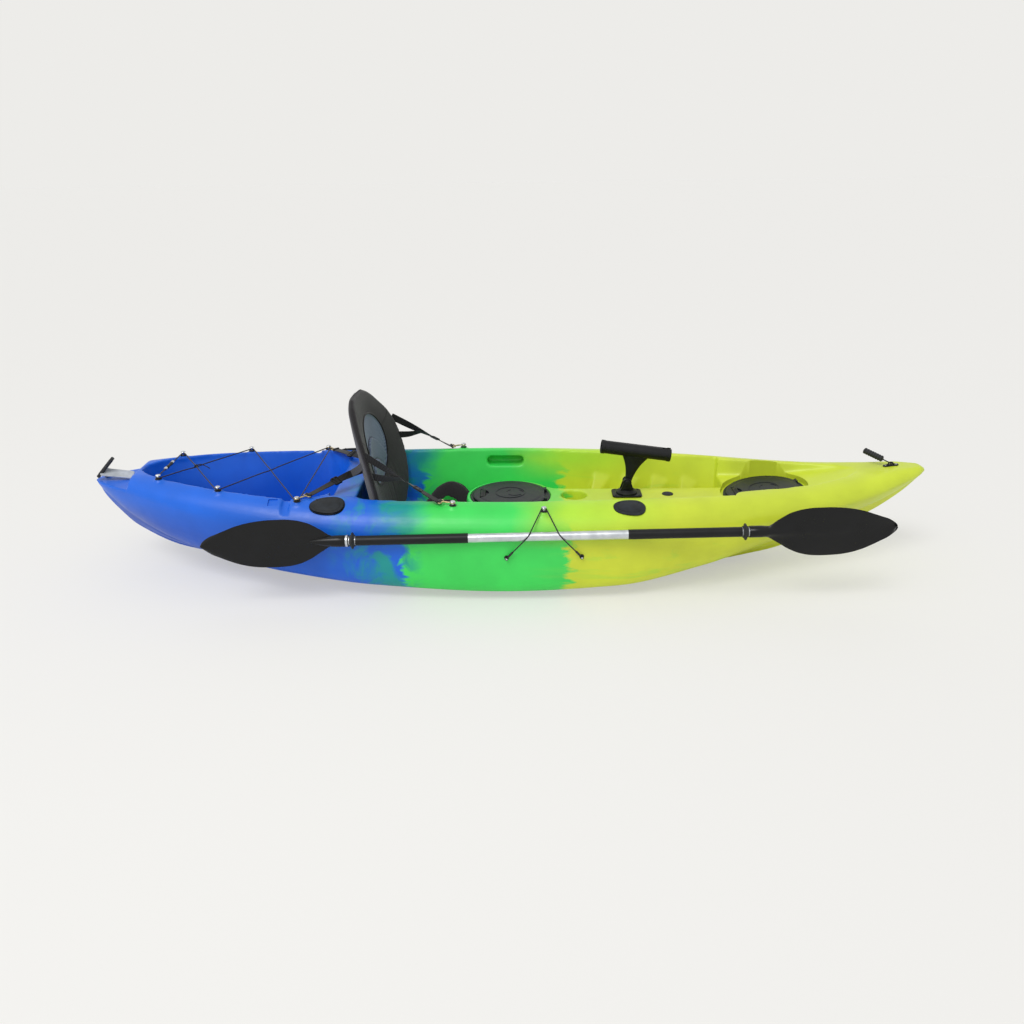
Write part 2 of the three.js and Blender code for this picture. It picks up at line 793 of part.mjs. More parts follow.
function standing(geometry, frame) {
  return solidOf(geometry.applyMatrix4(frame));
}

function hatchPocket(radius, frame, grow) {
  const pocket = post(radius + grow, hullDepth / 2 + grow, hatchPocketSides);
  return standing(pocket.translate(0, 0, -grow), frame);
}

function hatchHole(frame) {
  const depth = 2 * hatchRimCollarDepth;
  return standing(post(hatchHoleRadius, 2 * depth, hatchSides).translate(0, 0, -depth), frame);
}

function cupPocket(grow) {
  const depth = cupDepth + grow;
  const cup = post(cupFootRadius + grow, depth + overrun, cupSides, cupRadius + grow + (cupRadius - cupFootRadius));
  return solidOf(cup.translate(cupX, 0, ridgeHeight - depth));
}

// Pockets in the inner walls, long slots with round ends
function gripPocket(side, grow) {
  const radius = gripHeight / 2 + grow;
  const slot = new THREE.Shape();
  const reach = gripLength / 2 - gripHeight / 2;
  slot.absarc(reach, 0, radius, -Math.PI / 2, Math.PI / 2);
  slot.absarc(-reach, 0, radius, Math.PI / 2, Math.PI * 1.5);
  const inner = wallOffset(gripX, gripMidHeight) - gripHeight;
  const outer = inner + gripHeight + gripDepth + grow;
  const geometry = new THREE.ExtrudeGeometry(slot, { depth: outer - inner, bevelEnabled: false, curveSegments: 3 });
  geometry.rotateX(Math.PI / 2);
  geometry.translate(gripX, side > 0 ? outer : -inner, gripMidHeight);
  return solidOf(geometry);
}

function gunwaleNotch(side, grow) {
  const frame = gunwaleFrame(notchX / halfLength, gunwaleRecessInboard, side);
  const half = notchWidth / 2 + grow;
  return standing(block(-half, half, -gunwaleRecessInboard, overrun, -notchDepth - grow, overrun), frame);
}

function squareRecess(side, grow) {
  const frame = gunwaleFrame((notchX - squareSpacing) / halfLength, gunwaleRecessInboard, side);
  const halfX = squareLength / 2 + grow;
  const halfY = squareWidth / 2 + grow;
  return standing(block(-halfX, halfX, -halfY, halfY, -squareDepth - grow, overrun), frame);
}

// Egg-shaped outline of the gunwale covers, blunt end forward
function coverOutline(length, width, margin) {
  const narrow = width * coverNarrowShare / 2 + margin;
  const wide = width / 2 + margin;
  const half = length / 2 + margin;
  const outline = new THREE.Shape();
  outline.moveTo(-half, 0);
  outline.bezierCurveTo(-half, narrow, -half / 2, wide, half / 4, wide);
  outline.bezierCurveTo(half * 0.8, wide, half, wide / 2, half, 0);
  outline.bezierCurveTo(half, -wide / 2, half * 0.8, -wide, half / 4, -wide);
  outline.bezierCurveTo(-half / 2, -wide, -half, -narrow, -half, 0);
  return outline;
}

function flat(shape, thickness, segments = 3) {
  return new THREE.ExtrudeGeometry(shape, { depth: thickness, bevelEnabled: false, curveSegments: segments });
}

function coverPocket(frame, length, width, grow) {
  const outline = coverOutline(length, width, coverMargin + grow);
  return standing(flat(outline, overrun, coverSegments).translate(0, 0, -coverSetback - grow), frame);
}

// Tilt of the rod sockets against their covers: raked aft and leaning in, whatever the deck does
function socketTilt(side) {
  const upright = new THREE.Matrix4().extractRotation(aftCoverFrame(side)).invert();
  const rake = new THREE.Matrix4().makeRotationY(-socketRake);
  const lean = new THREE.Matrix4().makeRotationX(-side * socketLean);
  return upright.multiply(rake).multiply(lean);
}

function aftCoverFrame(side) {
  return gunwaleFrame(aftCoverPlaceShare, aftCoverInboard, side);
}

function foreCoverFrame(side) {
  return gunwaleFrame(foreCoverPlaceShare, foreCoverInboard, side);
}

function socketHole(side) {
  const radius = socketBoreRadius + socketWall + socketFit;
  const hole = post(radius, 2 * overrun, socketSides).translate(0, 0, -overrun);
  hole.applyMatrix4(socketTilt(side)).translate(0, 0, seatGap - coverSetback);
  return standing(hole, aftCoverFrame(side));
}

// Scuppers: a tube through the hull between the floor and the bottom
function scupperFloor(x) {
  const place = x / halfLength;
  if (place < shelfPlaceShares[0]) return hullDepth * between(tankPlaceShares, tankRiseShares, place);
  return hullDepth * between(cockpitPlaceShares, cockpitRiseShares, place);
}

function scupperFrame(share, side) {
  const x = share * halfLength;
  const rise = (scupperFloor(x + slopeStep) - scupperFloor(x - slopeStep)) / (2 * slopeStep);
  return frameOn(new THREE.Vector3(x, side * scupperOffset, scupperFloor(x)), new THREE.Vector3(-rise, 0, 1));
}

function scupperTube(share, side) {
  const x = share * halfLength;
  const foot = sectionAt(x, 0).keelZ + grooveDepth + 2 * hullWall;
  const height = scupperFloor(x) - foot - hullWall / 2;
  const tube = post(scupperBoreRadius + scupperTubeWall, height, scupperSides);
  return standing(tube.translate(0, 0, -height - hullWall / 2), scupperFrame(share, side));
}

function scupperBore(share, side) {
  const bore = post(scupperBoreRadius, 2 * hullDepth, scupperSides);
  return standing(bore.translate(0, 0, -hullDepth), scupperFrame(share, side));
}

// Recess for the sounder, cut upward into the bottom, with a ledge that seats its plate
function sounderOutline(margin) {
  const wide = sounderHalfWidth + margin;
  const outline = new THREE.Shape();
  outline.moveTo(sounderAftX - margin, 0);
  outline.lineTo(sounderShoulderX, -wide);
  outline.lineTo(sounderForeX - sounderPlateRadius, -wide);
  outline.absarc(sounderForeX - sounderPlateRadius, -wide + sounderPlateRadius, sounderPlateRadius + margin / 2,
    -Math.PI / 2, 0);
  outline.absarc(sounderForeX - sounderPlateRadius, wide - sounderPlateRadius, sounderPlateRadius + margin / 2,
    0, Math.PI / 2);
  outline.lineTo(sounderShoulderX, wide);
  return outline;
}

function sounderPocket(grow) {
  const mouthTop = sounderPlateTop() + seatGap + grow;
  const mouth = solidOf(flat(sounderOutline(grow), mouthTop + overrun).translate(0, 0, -overrun));
  const deepTop = sounderRecessRise + grow;
  const deep = solidOf(flat(sounderOutline(grow - sounderLedge), deepTop + overrun).translate(0, 0, -overrun));
  return mouth.add(deep);
}

function sounderPlateTop() {
  const bottom = sectionAt(sounderForeX, 0).keelZ;
  return bottom + sounderPlateSetback + sounderPlateThickness;
}

// Small level pads where the deck buttons are screwed down
function buttonFrame(placeShare, inboard, side) {
  const x = placeShare * halfLength;
  const y = side * (sectionAt(x, 0).beamY - inboard);
  return new THREE.Matrix4().makeTranslation(x, y, deckHeight(x, y) + buttonPadHeight);
}

function buttonPad(frame) {
  const depth = buttonPadHeight + buttonPadRadius;
  const pad = post(buttonPadRadius, depth, buttonPadSides, buttonPadRadius - buttonPadDraft);
  return standing(pad.translate(0, 0, -depth), frame);
}

function buttonClearing(frame) {
  return standing(post(buttonPadRadius, overrun, buttonPadSides), frame);
}

function buttonFrames() {
  const frames = [];
  sides.forEach((side) => {
    lacingPlaceShares.forEach((share) => frames.push(buttonFrame(share, lacingInboard, side)));
    frames.push(buttonFrame(seatEyePlaceShare, seatEyeInboard, side));
  });
  frames.push(buttonFrame(keeperX / halfLength, keeperInboard, starboard));
  return frames;
}

function ventHole() {
  const hole = post(ventStemRadius + seatGap, 2 * ventStemLength, ventSides);
  const seat = post(ventFlangeRadius + 2 * seatGap, 2 * ventStemLength, ventSides);
  return join(
    solidOf(hole.translate(ventX, 0, ridgeHeight - ventStemLength)),
    solidOf(seat.translate(ventX, 0, ridgeHeight - ventSeatDepth)),
  );
}

function sternStep(grow) {
  const x = -halfLength + sternFlatLength + grow;
  const foot = sternFlatHeight - grow;
  const wide = hullBeam / 2;
  const ring = (y) => [
    [-hullLength, foot],
    [x, foot],
    [x + sternStepSlope, hullDepth * 1.2],
    [-hullLength, hullDepth * 1.2],
  ].map(([px, pz]) => new THREE.Vector3(px, y, pz));
  return solidOf(skin([ring(-wide), ring(wide)]));
}

function makeHull() {
  const centre = centerHatchFrame();
  const bow = bowHatchFrame();
  const seatRadius = turningRadius(hatchRimRadius + coverMargin, hatchPocketSides);
  const hollows = (grow) => [
    tankWell(grow), seatShelf(grow), cockpitWell(grow), foredeckWell(grow), sternStep(grow),
    hatchPocket(seatRadius, centre, grow), hatchPocket(hatchPocketRadius, bow, grow),
    cupPocket(grow), sounderPocket(grow),
    ...sides.flatMap((side) => [
      gripPocket(side, grow), gunwaleNotch(side, grow), squareRecess(side, grow),
      coverPocket(aftCoverFrame(side), aftCoverLength, aftCoverWidth, grow),
      coverPocket(foreCoverFrame(side), foreCoverLength, foreCoverWidth, grow),
    ]),
  ];
  const scuppers = sides.flatMap((side) => scupperPlaceShares.map((share) => [share, side]));
  const footrests = sides.flatMap((side) => [...Array(footrestCount).keys()].map((k) => footrest(k, side)));
  const cavity = cut(hullForm(hullWall, cavityStations, halfLength - tipSolid), ...hollows(hullWall));
  const body = cut(hullForm(0, outerStations, halfLength), ...hollows(0), cavity);
  const dressed = join(
    body,
    ...footrests,
    ...buttonFrames().map(buttonPad),
    ...scuppers.map(([share, side]) => scupperTube(share, side)),
  );
  return cut(
    dressed,
    hatchHole(centre),
    hatchHole(bow),
    ventHole(),
    ...sides.map(socketHole),
    ...buttonFrames().map(buttonClearing),
    ...scuppers.map(([share, side]) => scupperBore(share, side)),
  );
}
// Scene graph: every piece is a named mesh with its own material
const kayak = new THREE.Group();

function addPart(parent, name, body, finish) {
  const geometry = body.isBufferGeometry ? geometryOf(solidOf(body)) : geometryOf(body);
  const mesh = new THREE.Mesh(geometry, new THREE.MeshStandardMaterial(finish));
  mesh.name = name;
  parent.add(mesh);
  return mesh;
}

function groupOn(frame, lift = 0) {
  const group = new THREE.Group();
  group.applyMatrix4(frame);
  group.translateZ(lift);
  kayak.add(group);
  return group;
}

const finishes = {
  hull: { color: '#4fe06a', roughness: 0.45, metalness: 0 },
  lid: { color: '#4a5560', roughness: 0.6, metalness: 0 },
  moulded: { color: '#202226', roughness: 0.55, metalness: 0 },
  rubber: { color: '#26282a', roughness: 0.8, metalness: 0 },
  cover: { color: '#5a6470', roughness: 0.6, metalness: 0 },
  chrome: { color: '#c8ccd0', roughness: 0.2, metalness: 1 },
  brass: { color: '#b9a878', roughness: 0.35, metalness: 1 },
  aluminium: { color: '#c6cace', roughness: 0.35, metalness: 1 },
  blade: { color: '#17181a', roughness: 0.4, metalness: 0 },
  fabric: { color: '#2a2628', roughness: 0.95, metalness: 0 },
  webbing: { color: '#1c1c1e', roughness: 0.9, metalness: 0 },
  strap: { color: '#b8bcc0', roughness: 0.8, metalness: 0 },
};

function sideName(side) {
  return side === port ? 'port' : 'starboard';
}

function turned(profile, segments) {
  const points = profile.map(([radius, height]) => new THREE.Vector2(radius, height));
  return new THREE.LatheGeometry(points, segments).rotateX(Math.PI / 2);
}

function barAlongY(radius, length, segments) {
  return post(radius, length, segments).rotateX(Math.PI / 2).translate(0, length / 2, 0);
}

function barAlongX(radius, length, segments) {
  return post(radius, length, segments).rotateY(Math.PI / 2);
}

// A route whose own points are the steps of the tube that follows it
class Route extends THREE.Curve {
  constructor(points) {
    super();
    this.points = points;
  }

  getPoint(t) {
    const place = t * (this.points.length - 1);
    const low = Math.min(Math.floor(place), this.points.length - 2);
    return new THREE.Vector3().lerpVectors(this.points[low], this.points[low + 1], place - low);
  }

  getPointAt(t) {
    return this.getPoint(t);
  }

  getTangentAt(t) {
    const place = Math.round(t * (this.points.length - 1));
    const before = this.points[Math.max(place - 1, 0)];
    const after = this.points[Math.min(place + 1, this.points.length - 1)];
    return new THREE.Vector3().subVectors(after, before).normalize();
  }
}

function tubeAlong(points, radius, segments) {
  const section = new THREE.Shape();
  for (let i = 0; i < segments; i += 1) {
    const turn = 2 * Math.PI * i / segments;
    const method = i === 0 ? 'moveTo' : 'lineTo';
    section[method](radius * Math.cos(turn), radius * Math.sin(turn));
  }
  const extrudePath = new Route(points);
  return new THREE.ExtrudeGeometry(section, { steps: points.length - 1, extrudePath, bevelEnabled: false });
}

function ring(radius, wire, segments) {
  return new THREE.TorusGeometry(radius, wire, wireSides, segments);
}

// Hatches: rim, hinged lid and lifting latch, in a frame that lies on the rim's seat
function hingeX() {
  const reach = hingeOffset + hingeBarrelLength / 2 + seatGap + hingeEarWidth;
  return Math.sqrt(hatchRimRadius ** 2 - reach ** 2) - hingeBarrelRadius;
}

function hingeRise() {
  return hatchRimThickness + hingeBarrelRadius + hatchFit;
}

function hatchRim() {
  const bore = hatchBoreRadius;
  const rim = turned([
    [bore, -hatchRimCollarDepth], [bore + hatchRimWall, -hatchRimCollarDepth], [bore + hatchRimWall, 0],
    [hatchRimRadius, 0], [hatchRimRadius, hatchRimThickness], [bore, hatchRimThickness],
    [bore, -hatchRimCollarDepth],
  ], hatchSides);
  const ears = sides.flatMap((side) => [-1, 1].map((end) => {
    const ear = post(hingeBarrelRadius, hingeEarWidth, hingeSides).rotateX(Math.PI / 2);
    const foot = block(-hingeBarrelRadius, hingeBarrelRadius, -hingeEarWidth, 0, -hingeRise() + hatchRimThickness / 2, 0);
    const y = side * hingeOffset + end * (hingeBarrelLength / 2 + seatGap) + (end > 0 ? hingeEarWidth : 0);
    return join(solidOf(ear), solidOf(foot)).translate([hingeX(), y, hingeRise()]);
  }));
  const pins = sides.map((side) => {
    const length = hingeBarrelLength + 2 * hingeEarWidth;
    return solidOf(barAlongY(hingePinRadius, length, hingeSides)).translate([hingeX(), side * hingeOffset, hingeRise()]);
  });
  return join(solidOf(rim), ...ears, ...pins);
}

function hatchLid() {
  const foot = hatchRimThickness + seatGap;
  const plug = hatchBoreRadius - hatchFit;
  const top = foot + hatchLidThickness;
  const lid = solidOf(turned([
    [0, foot], [plug - hatchPlugWall, foot], [plug - hatchPlugWall, foot - hatchPlugDepth],
    [plug, foot - hatchPlugDepth], [plug, foot], [hatchLidRadius, foot], [hatchLidRadius, top - hatchLidCrown / 2],
    [hatchLidRadius - hatchLidCrown, top], [0, top + hatchLidCrown],
  ], hatchSides));
  const barrels = sides.map((side) => {
    const barrel = solidOf(barAlongY(hingeBarrelRadius, hingeBarrelLength, hingeSides));
    const half = hingeBarrelLength / 2;
    const arm = solidOf(block(-2 * hingeBarrelRadius - hatchFit, 0, -half, half, -hingePinRadius, hingePinRadius));
    return join(barrel, arm).translate([hingeX(), side * hingeOffset, hingeRise()]);
  });
  const bores = sides.map((side) => {
    const bore = solidOf(barAlongY(hingePinRadius + seatGap, 2 * hingeBarrelLength, hingeSides));
    return bore.translate([hingeX(), side * hingeOffset, hingeRise()]);
  });
  const dish = solidOf(flat(latchDish(), overrun)).translate([0, 0, top - latchDishDepth]);
  const edge = hingeX() - hingeBarrelRadius - hatchFit;
  const beyond = solidOf(block(edge, edge + overrun, -hatchLidRadius, hatchLidRadius, -overrun, overrun));
  return cut(join(cut(lid, beyond), ...barrels), ...bores, dish);
}

function latchX() {
  return -hatchLidRadius + latchInboard;
}

function latchDish() {
  const half = latchLength / 2 + latchDishMargin;
  const aft = latchX() - latchWidth / 2 - hatchFit;
  const dish = new THREE.Shape();
  dish.moveTo(aft, -half);
  dish.bezierCurveTo(aft + latchDishLength * 1.3, -half, aft + latchDishLength * 1.3, half, aft, half);
  return dish;
}

function hatchLatch() {
  const bottom = hatchRimThickness + seatGap + hatchLidThickness - latchDishDepth + seatGap;
  const bar = solidOf(barAlongY(latchThickness / 2, latchLength, hingeSides));
  const half = latchLength / 2 - latchThickness;
  const grip = solidOf(block(0, latchWidth, -half, half, -latchThickness / 2, latchThickness / 4));
  return join(bar, grip).translate([latchX() - latchWidth / 2 + latchThickness / 2, 0, bottom + latchThickness / 2]);
}

function addHatch(prefix, frame) {
  const seat = groupOn(frame, seatGap);
  addPart(seat, `${prefix}_hatch_rim`, hatchRim(), finishes.moulded);
  addPart(seat, `${prefix}_hatch_lid`, hatchLid(), finishes.lid);
  addPart(seat, `${prefix}_hatch_latch`, hatchLatch(), finishes.moulded);
}

// Rod holder: plate, turning turret with two ears, tilting tube and its bolt
function roundedPlate(length, width, radius, thickness) {
  const x = length / 2 - radius;
  const y = width / 2 - radius;
  const outline = new THREE.Shape();
  outline.absarc(x, y, radius, 0, Math.PI / 2);
  outline.absarc(-x, y, radius, Math.PI / 2, Math.PI);
  outline.absarc(-x, -y, radius, Math.PI, Math.PI * 1.5);
  outline.absarc(x, -y, radius, Math.PI * 1.5, Math.PI * 2);
  return flat(outline, thickness);
}

function rodPlate() {
  const plate = roundedPlate(rodPlateLength, rodPlateWidth, rodPlateRadius, rodPlateThickness);
  const spigot = post(rodSpigotRadius, rodSpigotHeight + rodPlateThickness, rodSides);
  return join(solidOf(plate), solidOf(spigot));
}

function rodTurret() {
  const seat = rodPlateThickness + seatGap;
  const foot = solidOf(post(rodTurretFootRadius, rodTurretHeight, rodSides, rodTurretTopRadius)).translate([0, 0, seat]);
  const socketRadius = turningRadius(rodSpigotRadius + seatGap, rodSides);
  const socket = solidOf(post(socketRadius, rodSpigotHeight + seatGap, rodSides)).translate([0, 0, seat]);
  const rise = rodPivotHeight - ridgeHeight - seatGap;
  const earGap = rodTongueThickness / 2 + rodFit;
  const ears = [-1, 1].map((end) => {
    const outline = new THREE.Shape();
    outline.moveTo(-rodEarFootWidth / 2, seat + rodTurretHeight / 2);
    outline.lineTo(rodEarFootWidth / 2, seat + rodTurretHeight / 2);
    outline.absarc(0, rise, rodEarRadius, 0, Math.PI);
    const ear = solidOf(flat(outline, rodEarThickness, rodEarSegments).rotateX(Math.PI / 2).translate(0, rodEarThickness, 0));
    return ear.translate([0, end > 0 ? earGap : -earGap - rodEarThickness, 0]);
  });
  const hole = solidOf(barAlongY(rodBoltRadius + seatGap, 2 * overrun, rodSides)).translate([0, 0, rise]);
  const gap = solidOf(barAlongY(turningRadius(rodTongueRadius + rodFit, rodSides), 2 * earGap, rodSides)).translate([0, 0, rise]);
  return cut(join(foot, ...ears), socket, hole, gap);
}

function rodBolt() {
  const reach = rodTongueThickness / 2 + rodFit + rodEarThickness + seatGap;
  const bolt = solidOf(barAlongY(rodBoltRadius, 2 * reach + rodBoltHeadHeight, rodSides));
  const heads = [-1, 1].map((end) => {
    const head = solidOf(barAlongY(rodBoltHeadRadius, rodBoltHeadHeight, rodSides));
    return head.translate([0, end * (reach + rodBoltHeadHeight / 2), 0]);
  });
  return join(bolt, ...heads);
}

// In a frame at the pivot, the tube sloping down to the bow
function rodHolder() {
  const slope = new THREE.Matrix4().makeRotationY(rodTubeSlope).setPosition(rodTubeMidX, 0, rodTubeMidRise);
  const outer = rodTubeBoreRadius + rodTubeWall;
  const tube = standing(barAlongX(outer, rodTubeLength, rodTubeSides).translate(-rodTubeLength / 2, 0, 0), slope);
  const boreLength = rodTubeLength + overrun;
  const bore = standing(barAlongX(rodTubeBoreRadius, boreLength, rodTubeSides).translate(-boreLength / 2, 0, 0), slope);
  const notchX = rodTubeLength / 2 - rodNotchLength;
  const half = rodNotchWidth / 2;
  const notch = standing(block(notchX, rodTubeLength, -half, half, -overrun, overrun), slope);
  const tongue = solidOf(barAlongY(rodTongueRadius, rodTongueThickness, rodSides));
  const hole = solidOf(barAlongY(turningRadius(rodBoltRadius + seatGap, rodSides), 2 * overrun, rodSides));
  const rings = [
    postRing(0, rodTongueRadius * 0.9, rodTongueThickness / 2, 0),
    postRing(rodWaistRise, rodWaistHalfLength, rodWaistHalfWidth, 0),
    postRing(rodWaistRise + rodTongueRadius, rodWaistHalfLength * 1.1, rodWaistHalfWidth, 0),
    postRing(rodTubeMidRise - outer * 0.8, rodFlareHalfLength, rodFlareHalfWidth, rodTubeMidX / 4),
    postRing(rodTubeMidRise - rodTubeBoreRadius / 2, rodFlareHalfLength, rodFlareHalfWidth, rodTubeMidX / 3),
  ];
  return cut(join(tube, tongue, solidOf(skin(rings))), bore, hole, notch);
}

function postRing(z, halfX, halfY, midX) {
  const points = [];
  for (let i = 0; i < rodSides; i += 1) {
    const turn = 2 * Math.PI * (i + 0.5) / rodSides;
    points.push(new THREE.Vector3(midX + halfX * Math.cos(turn), halfY * Math.sin(turn), z));
  }
  return points;
}

function addRodHolder() {
  const upright = new THREE.Vector3(0, 0, 1);
  const base = groupOn(frameOn(new THREE.Vector3(rodX, 0, ridgeHeight), upright), seatGap);
  addPart(base, 'rod_holder_plate', rodPlate(), finishes.moulded);
  addPart(base, 'rod_holder_turret', rodTurret(), finishes.moulded);
  const pivot = groupOn(frameOn(new THREE.Vector3(rodX, 0, rodPivotHeight), upright));
  addPart(pivot, 'rod_holder_tube', rodHolder(), finishes.moulded);
  addPart(pivot, 'rod_holder_bolt', rodBolt(), finishes.chrome);
}

function ventPlug() {
  return turned([
    [0, -ventStemLength], [ventStemRadius, -ventStemLength], [ventStemRadius, 0], [ventFlangeRadius, 0],
    [ventFlangeRadius - ventFlangeHeight / 2, ventFlangeHeight], [0, ventFlangeHeight],
  ], ventSides);
}

function addVentPlug() {
  const foot = new THREE.Vector3(ventX, 0, ridgeHeight - ventSeatDepth);
  const seat = frameOn(foot, new THREE.Vector3(0, 0, 1));
  addPart(groupOn(seat, seatGap), 'vent_plug', ventPlug(), finishes.rubber);
}

// Gunwale covers: the aft pair are hinged caps on rod sockets, the fore pair are screwed plates
function coverPlate(length, width, margin = 0) {
  return flat(coverOutline(length, width, margin), coverThickness, coverSegments);
}

function rodSocket(side) {
  const outer = socketBoreRadius + socketWall;
  const tilt = socketTilt(side);
  const reach = socketLength + overrun;
  const tube = standing(post(outer, reach, socketSides).translate(0, 0, -socketLength), tilt);
  const bore = post(socketBoreRadius, reach + overrun, socketSides).translate(0, 0, socketWall - socketLength);
  const above = block(-reach, reach, -reach, reach, coverThickness, 2 * reach);
  const flange = solidOf(coverPlate(aftCoverLength, aftCoverWidth));
  return cut(join(tube, flange), solidOf(above), standing(bore, tilt));
}

function socketCap() {
  const foot = coverThickness + seatGap;
  const plate = coverPlate(aftCoverLength, aftCoverWidth, -2 * coverMargin).translate(0, 0, foot);
  const boss = post(capBossRadius, capBossDepth + coverThickness / 2, socketSides);
  return join(solidOf(plate), solidOf(boss.translate(0, 0, foot - capBossDepth)));
}

function addCovers() {
  sides.forEach((side) => {
    const aft = groupOn(aftCoverFrame(side), seatGap - coverSetback);
    addPart(aft, `rod_socket_${sideName(side)}`, rodSocket(side), finishes.moulded);
    addPart(aft, `rod_socket_cap_${sideName(side)}`, socketCap(), finishes.cover);
    const fore = groupOn(foreCoverFrame(side), seatGap - coverSetback);
    addPart(fore, `deck_cover_${sideName(side)}`, coverPlate(foreCoverLength, foreCoverWidth), finishes.cover);
  });
}

// Rubber scupper plugs, headed on the floor of each well
function scupperPlug() {
  const stem = scupperBoreRadius - 2 * seatGap;
  return turned([
    [0, -scupperStemLength], [stem * 0.8, -scupperStemLength], [stem, -scupperStemLength / 2], [stem, 0],
    [scupperHeadRadius, 0], [scupperHeadRadius - scupperHeadHeight / 3, scupperHeadHeight],
    [scupperCupRadius, scupperHeadHeight], [scupperCupRadius * 0.8, -scupperCupDepth], [0, -scupperCupDepth],
  ], scupperSides);
}

function addScupperPlugs() {
  sides.forEach((side) => {
    scupperPlaceShares.forEach((share, i) => {
      const seat = groupOn(scupperFrame(share, side), seatGap);
      addPart(seat, `scupper_plug_${scupperNames[i]}_${sideName(side)}`, scupperPlug(), finishes.rubber);
    });
  });
}

function sounderPlate() {
  const margin = -seatGap;
  const wide = sounderHalfWidth + margin;
  const top = sounderPlateTop();
  const outline = new THREE.Shape();
  outline.moveTo(sounderShoulderX, -wide);
  outline.lineTo(sounderForeX - sounderPlateRadius, -wide);
  outline.absarc(sounderForeX - sounderPlateRadius, -wide + sounderPlateRadius, sounderPlateRadius, -Math.PI / 2, 0);
  outline.absarc(sounderForeX - sounderPlateRadius, wide - sounderPlateRadius, sounderPlateRadius, 0, Math.PI / 2);
  outline.lineTo(sounderShoulderX, wide);
  const middle = (sounderShoulderX + sounderForeX) / 2;
  const slots = sides.flatMap((side) => [...Array(sounderSlotCount).keys()].map((i) => {
    const x = middle + (i - (sounderSlotCount - 1) / 2) * sounderSlotPitch;
    const y = side * sounderSlotOffset;
    const halfX = sounderSlotWidth / 2;
    const halfY = sounderSlotLength / 2;
    return solidOf(block(x - halfX, x + halfX, y - halfY, y + halfY, -overrun, overrun));
  }));
  return cut(solidOf(flat(outline, sounderPlateThickness)), ...slots).translate([0, 0, top - sounderPlateThickness]);
}

function slotHole(x, y, halfX, halfY) {
  const hole = new THREE.Path();
  hole.moveTo(x - halfX, y - halfY);
  hole.lineTo(x - halfX, y + halfY);
  hole.lineTo(x + halfX, y + halfY);
  hole.lineTo(x + halfX, y - halfY);
  return hole;
}

// Deck buttons: washer, post and round head
function deckButton() {
  const post0 = buttonWasherHeight;
  const head = post0 + buttonPostHeight;
  return turned([
    [0, 0], [buttonWasherRadius, 0], [buttonPostRadius * 1.4, post0], [buttonPostRadius, post0],
    [buttonPostRadius, head], [buttonHeadRadius, head], [buttonHeadRadius * 0.75, head + buttonHeadHeight * 0.7],
    [0, head + buttonHeadHeight],
  ], buttonSides);
}

function buttonSeat(placeShare, inboard, side) {
  return groupOn(buttonFrame(placeShare, inboard, side), seatGap);
}

function addDeckButtons() {
  sides.forEach((side) => {
    lacingPlaceShares.forEach((share, i) => {
      const seat = buttonSeat(share, lacingInboard, side);
      addPart(seat, `lacing_button_${lacingNames[i]}_${sideName(side)}`, deckButton(), finishes.chrome);
    });
    const seat = buttonSeat(seatEyePlaceShare, seatEyeInboard, side);
    addPart(seat, `seat_button_${sideName(side)}`, deckButton(), finishes.chrome);
  });
}

// Cord routes: a cord turns round each stop on the side that its turn says, 1 to the left
// and -1 to the right, and runs straight in between.
function headingBetween(a, b) {
  const dx = b.centre.x - a.centre.x;
  const dy = b.centre.y - a.centre.y;
  const across = (b.turn * b.radius - a.turn * a.radius) / Math.hypot(dx, dy);
  return Math.atan2(dy, dx) - Math.asin(across);
}

function wrapPoints(stop, headingIn, headingOut) {
  if (stop.radius === 0) return [stop.centre.clone()];
  const full = 2 * Math.PI;
  const sweep = stop.turn * ((((headingOut - headingIn) * stop.turn) % full + full) % full);
  const steps = Math.max(1, Math.ceil(Math.abs(sweep) / wrapStep));
  const points = [];
  for (let i = 0; i <= steps; i += 1) {
    const heading = headingIn + sweep * i / steps;
    const dx = stop.turn * stop.radius * Math.sin(heading);
    const dy = -stop.turn * stop.radius * Math.cos(heading);
    points.push(new THREE.Vector3(stop.centre.x + dx, stop.centre.y + dy, stop.centre.z));
  }
  return points;
}

function buttonStop(placeShare, inboard, side, turn, height, radius) {
  const centre = new THREE.Vector3(0, 0, height).applyMatrix4(buttonFrame(placeShare, inboard, side));
  return { centre, turn, radius };
}

// Lacing: one cord round all six buttons, crossed twice, its ends held by a clip
function lacingLevel() {
  return 2 * seatGap + buttonWasherHeight + lacingRadius;
}

function lacingLegs() {
  const [aft, middle, fore] = lacingPlaceShares;
  const radius = buttonPostRadius + seatGap + lacingRadius;
  const stops = [[aft, port, -1], [middle, starboard, 1], [fore, port, -1], [fore, starboard, -1],
    [middle, port, 1], [aft, starboard, -1]].map(([share, side, turn]) => (
    buttonStop(share, lacingInboard, side, turn, lacingLevel(), radius)));
  const headings = stops.slice(1).map((stop, i) => headingBetween(stops[i], stop));
  const outward = Math.PI / 2;
  return stops.map((stop, i) => wrapPoints(stop, headings[i - 1] ?? outward, headings[i] ?? outward));
}

function crossingPoint(from, to, lift) {
  const t = from.y / (from.y - to.y);
  const point = new THREE.Vector3().lerpVectors(from, to, t);
  point.z += lift;
  return point;
}

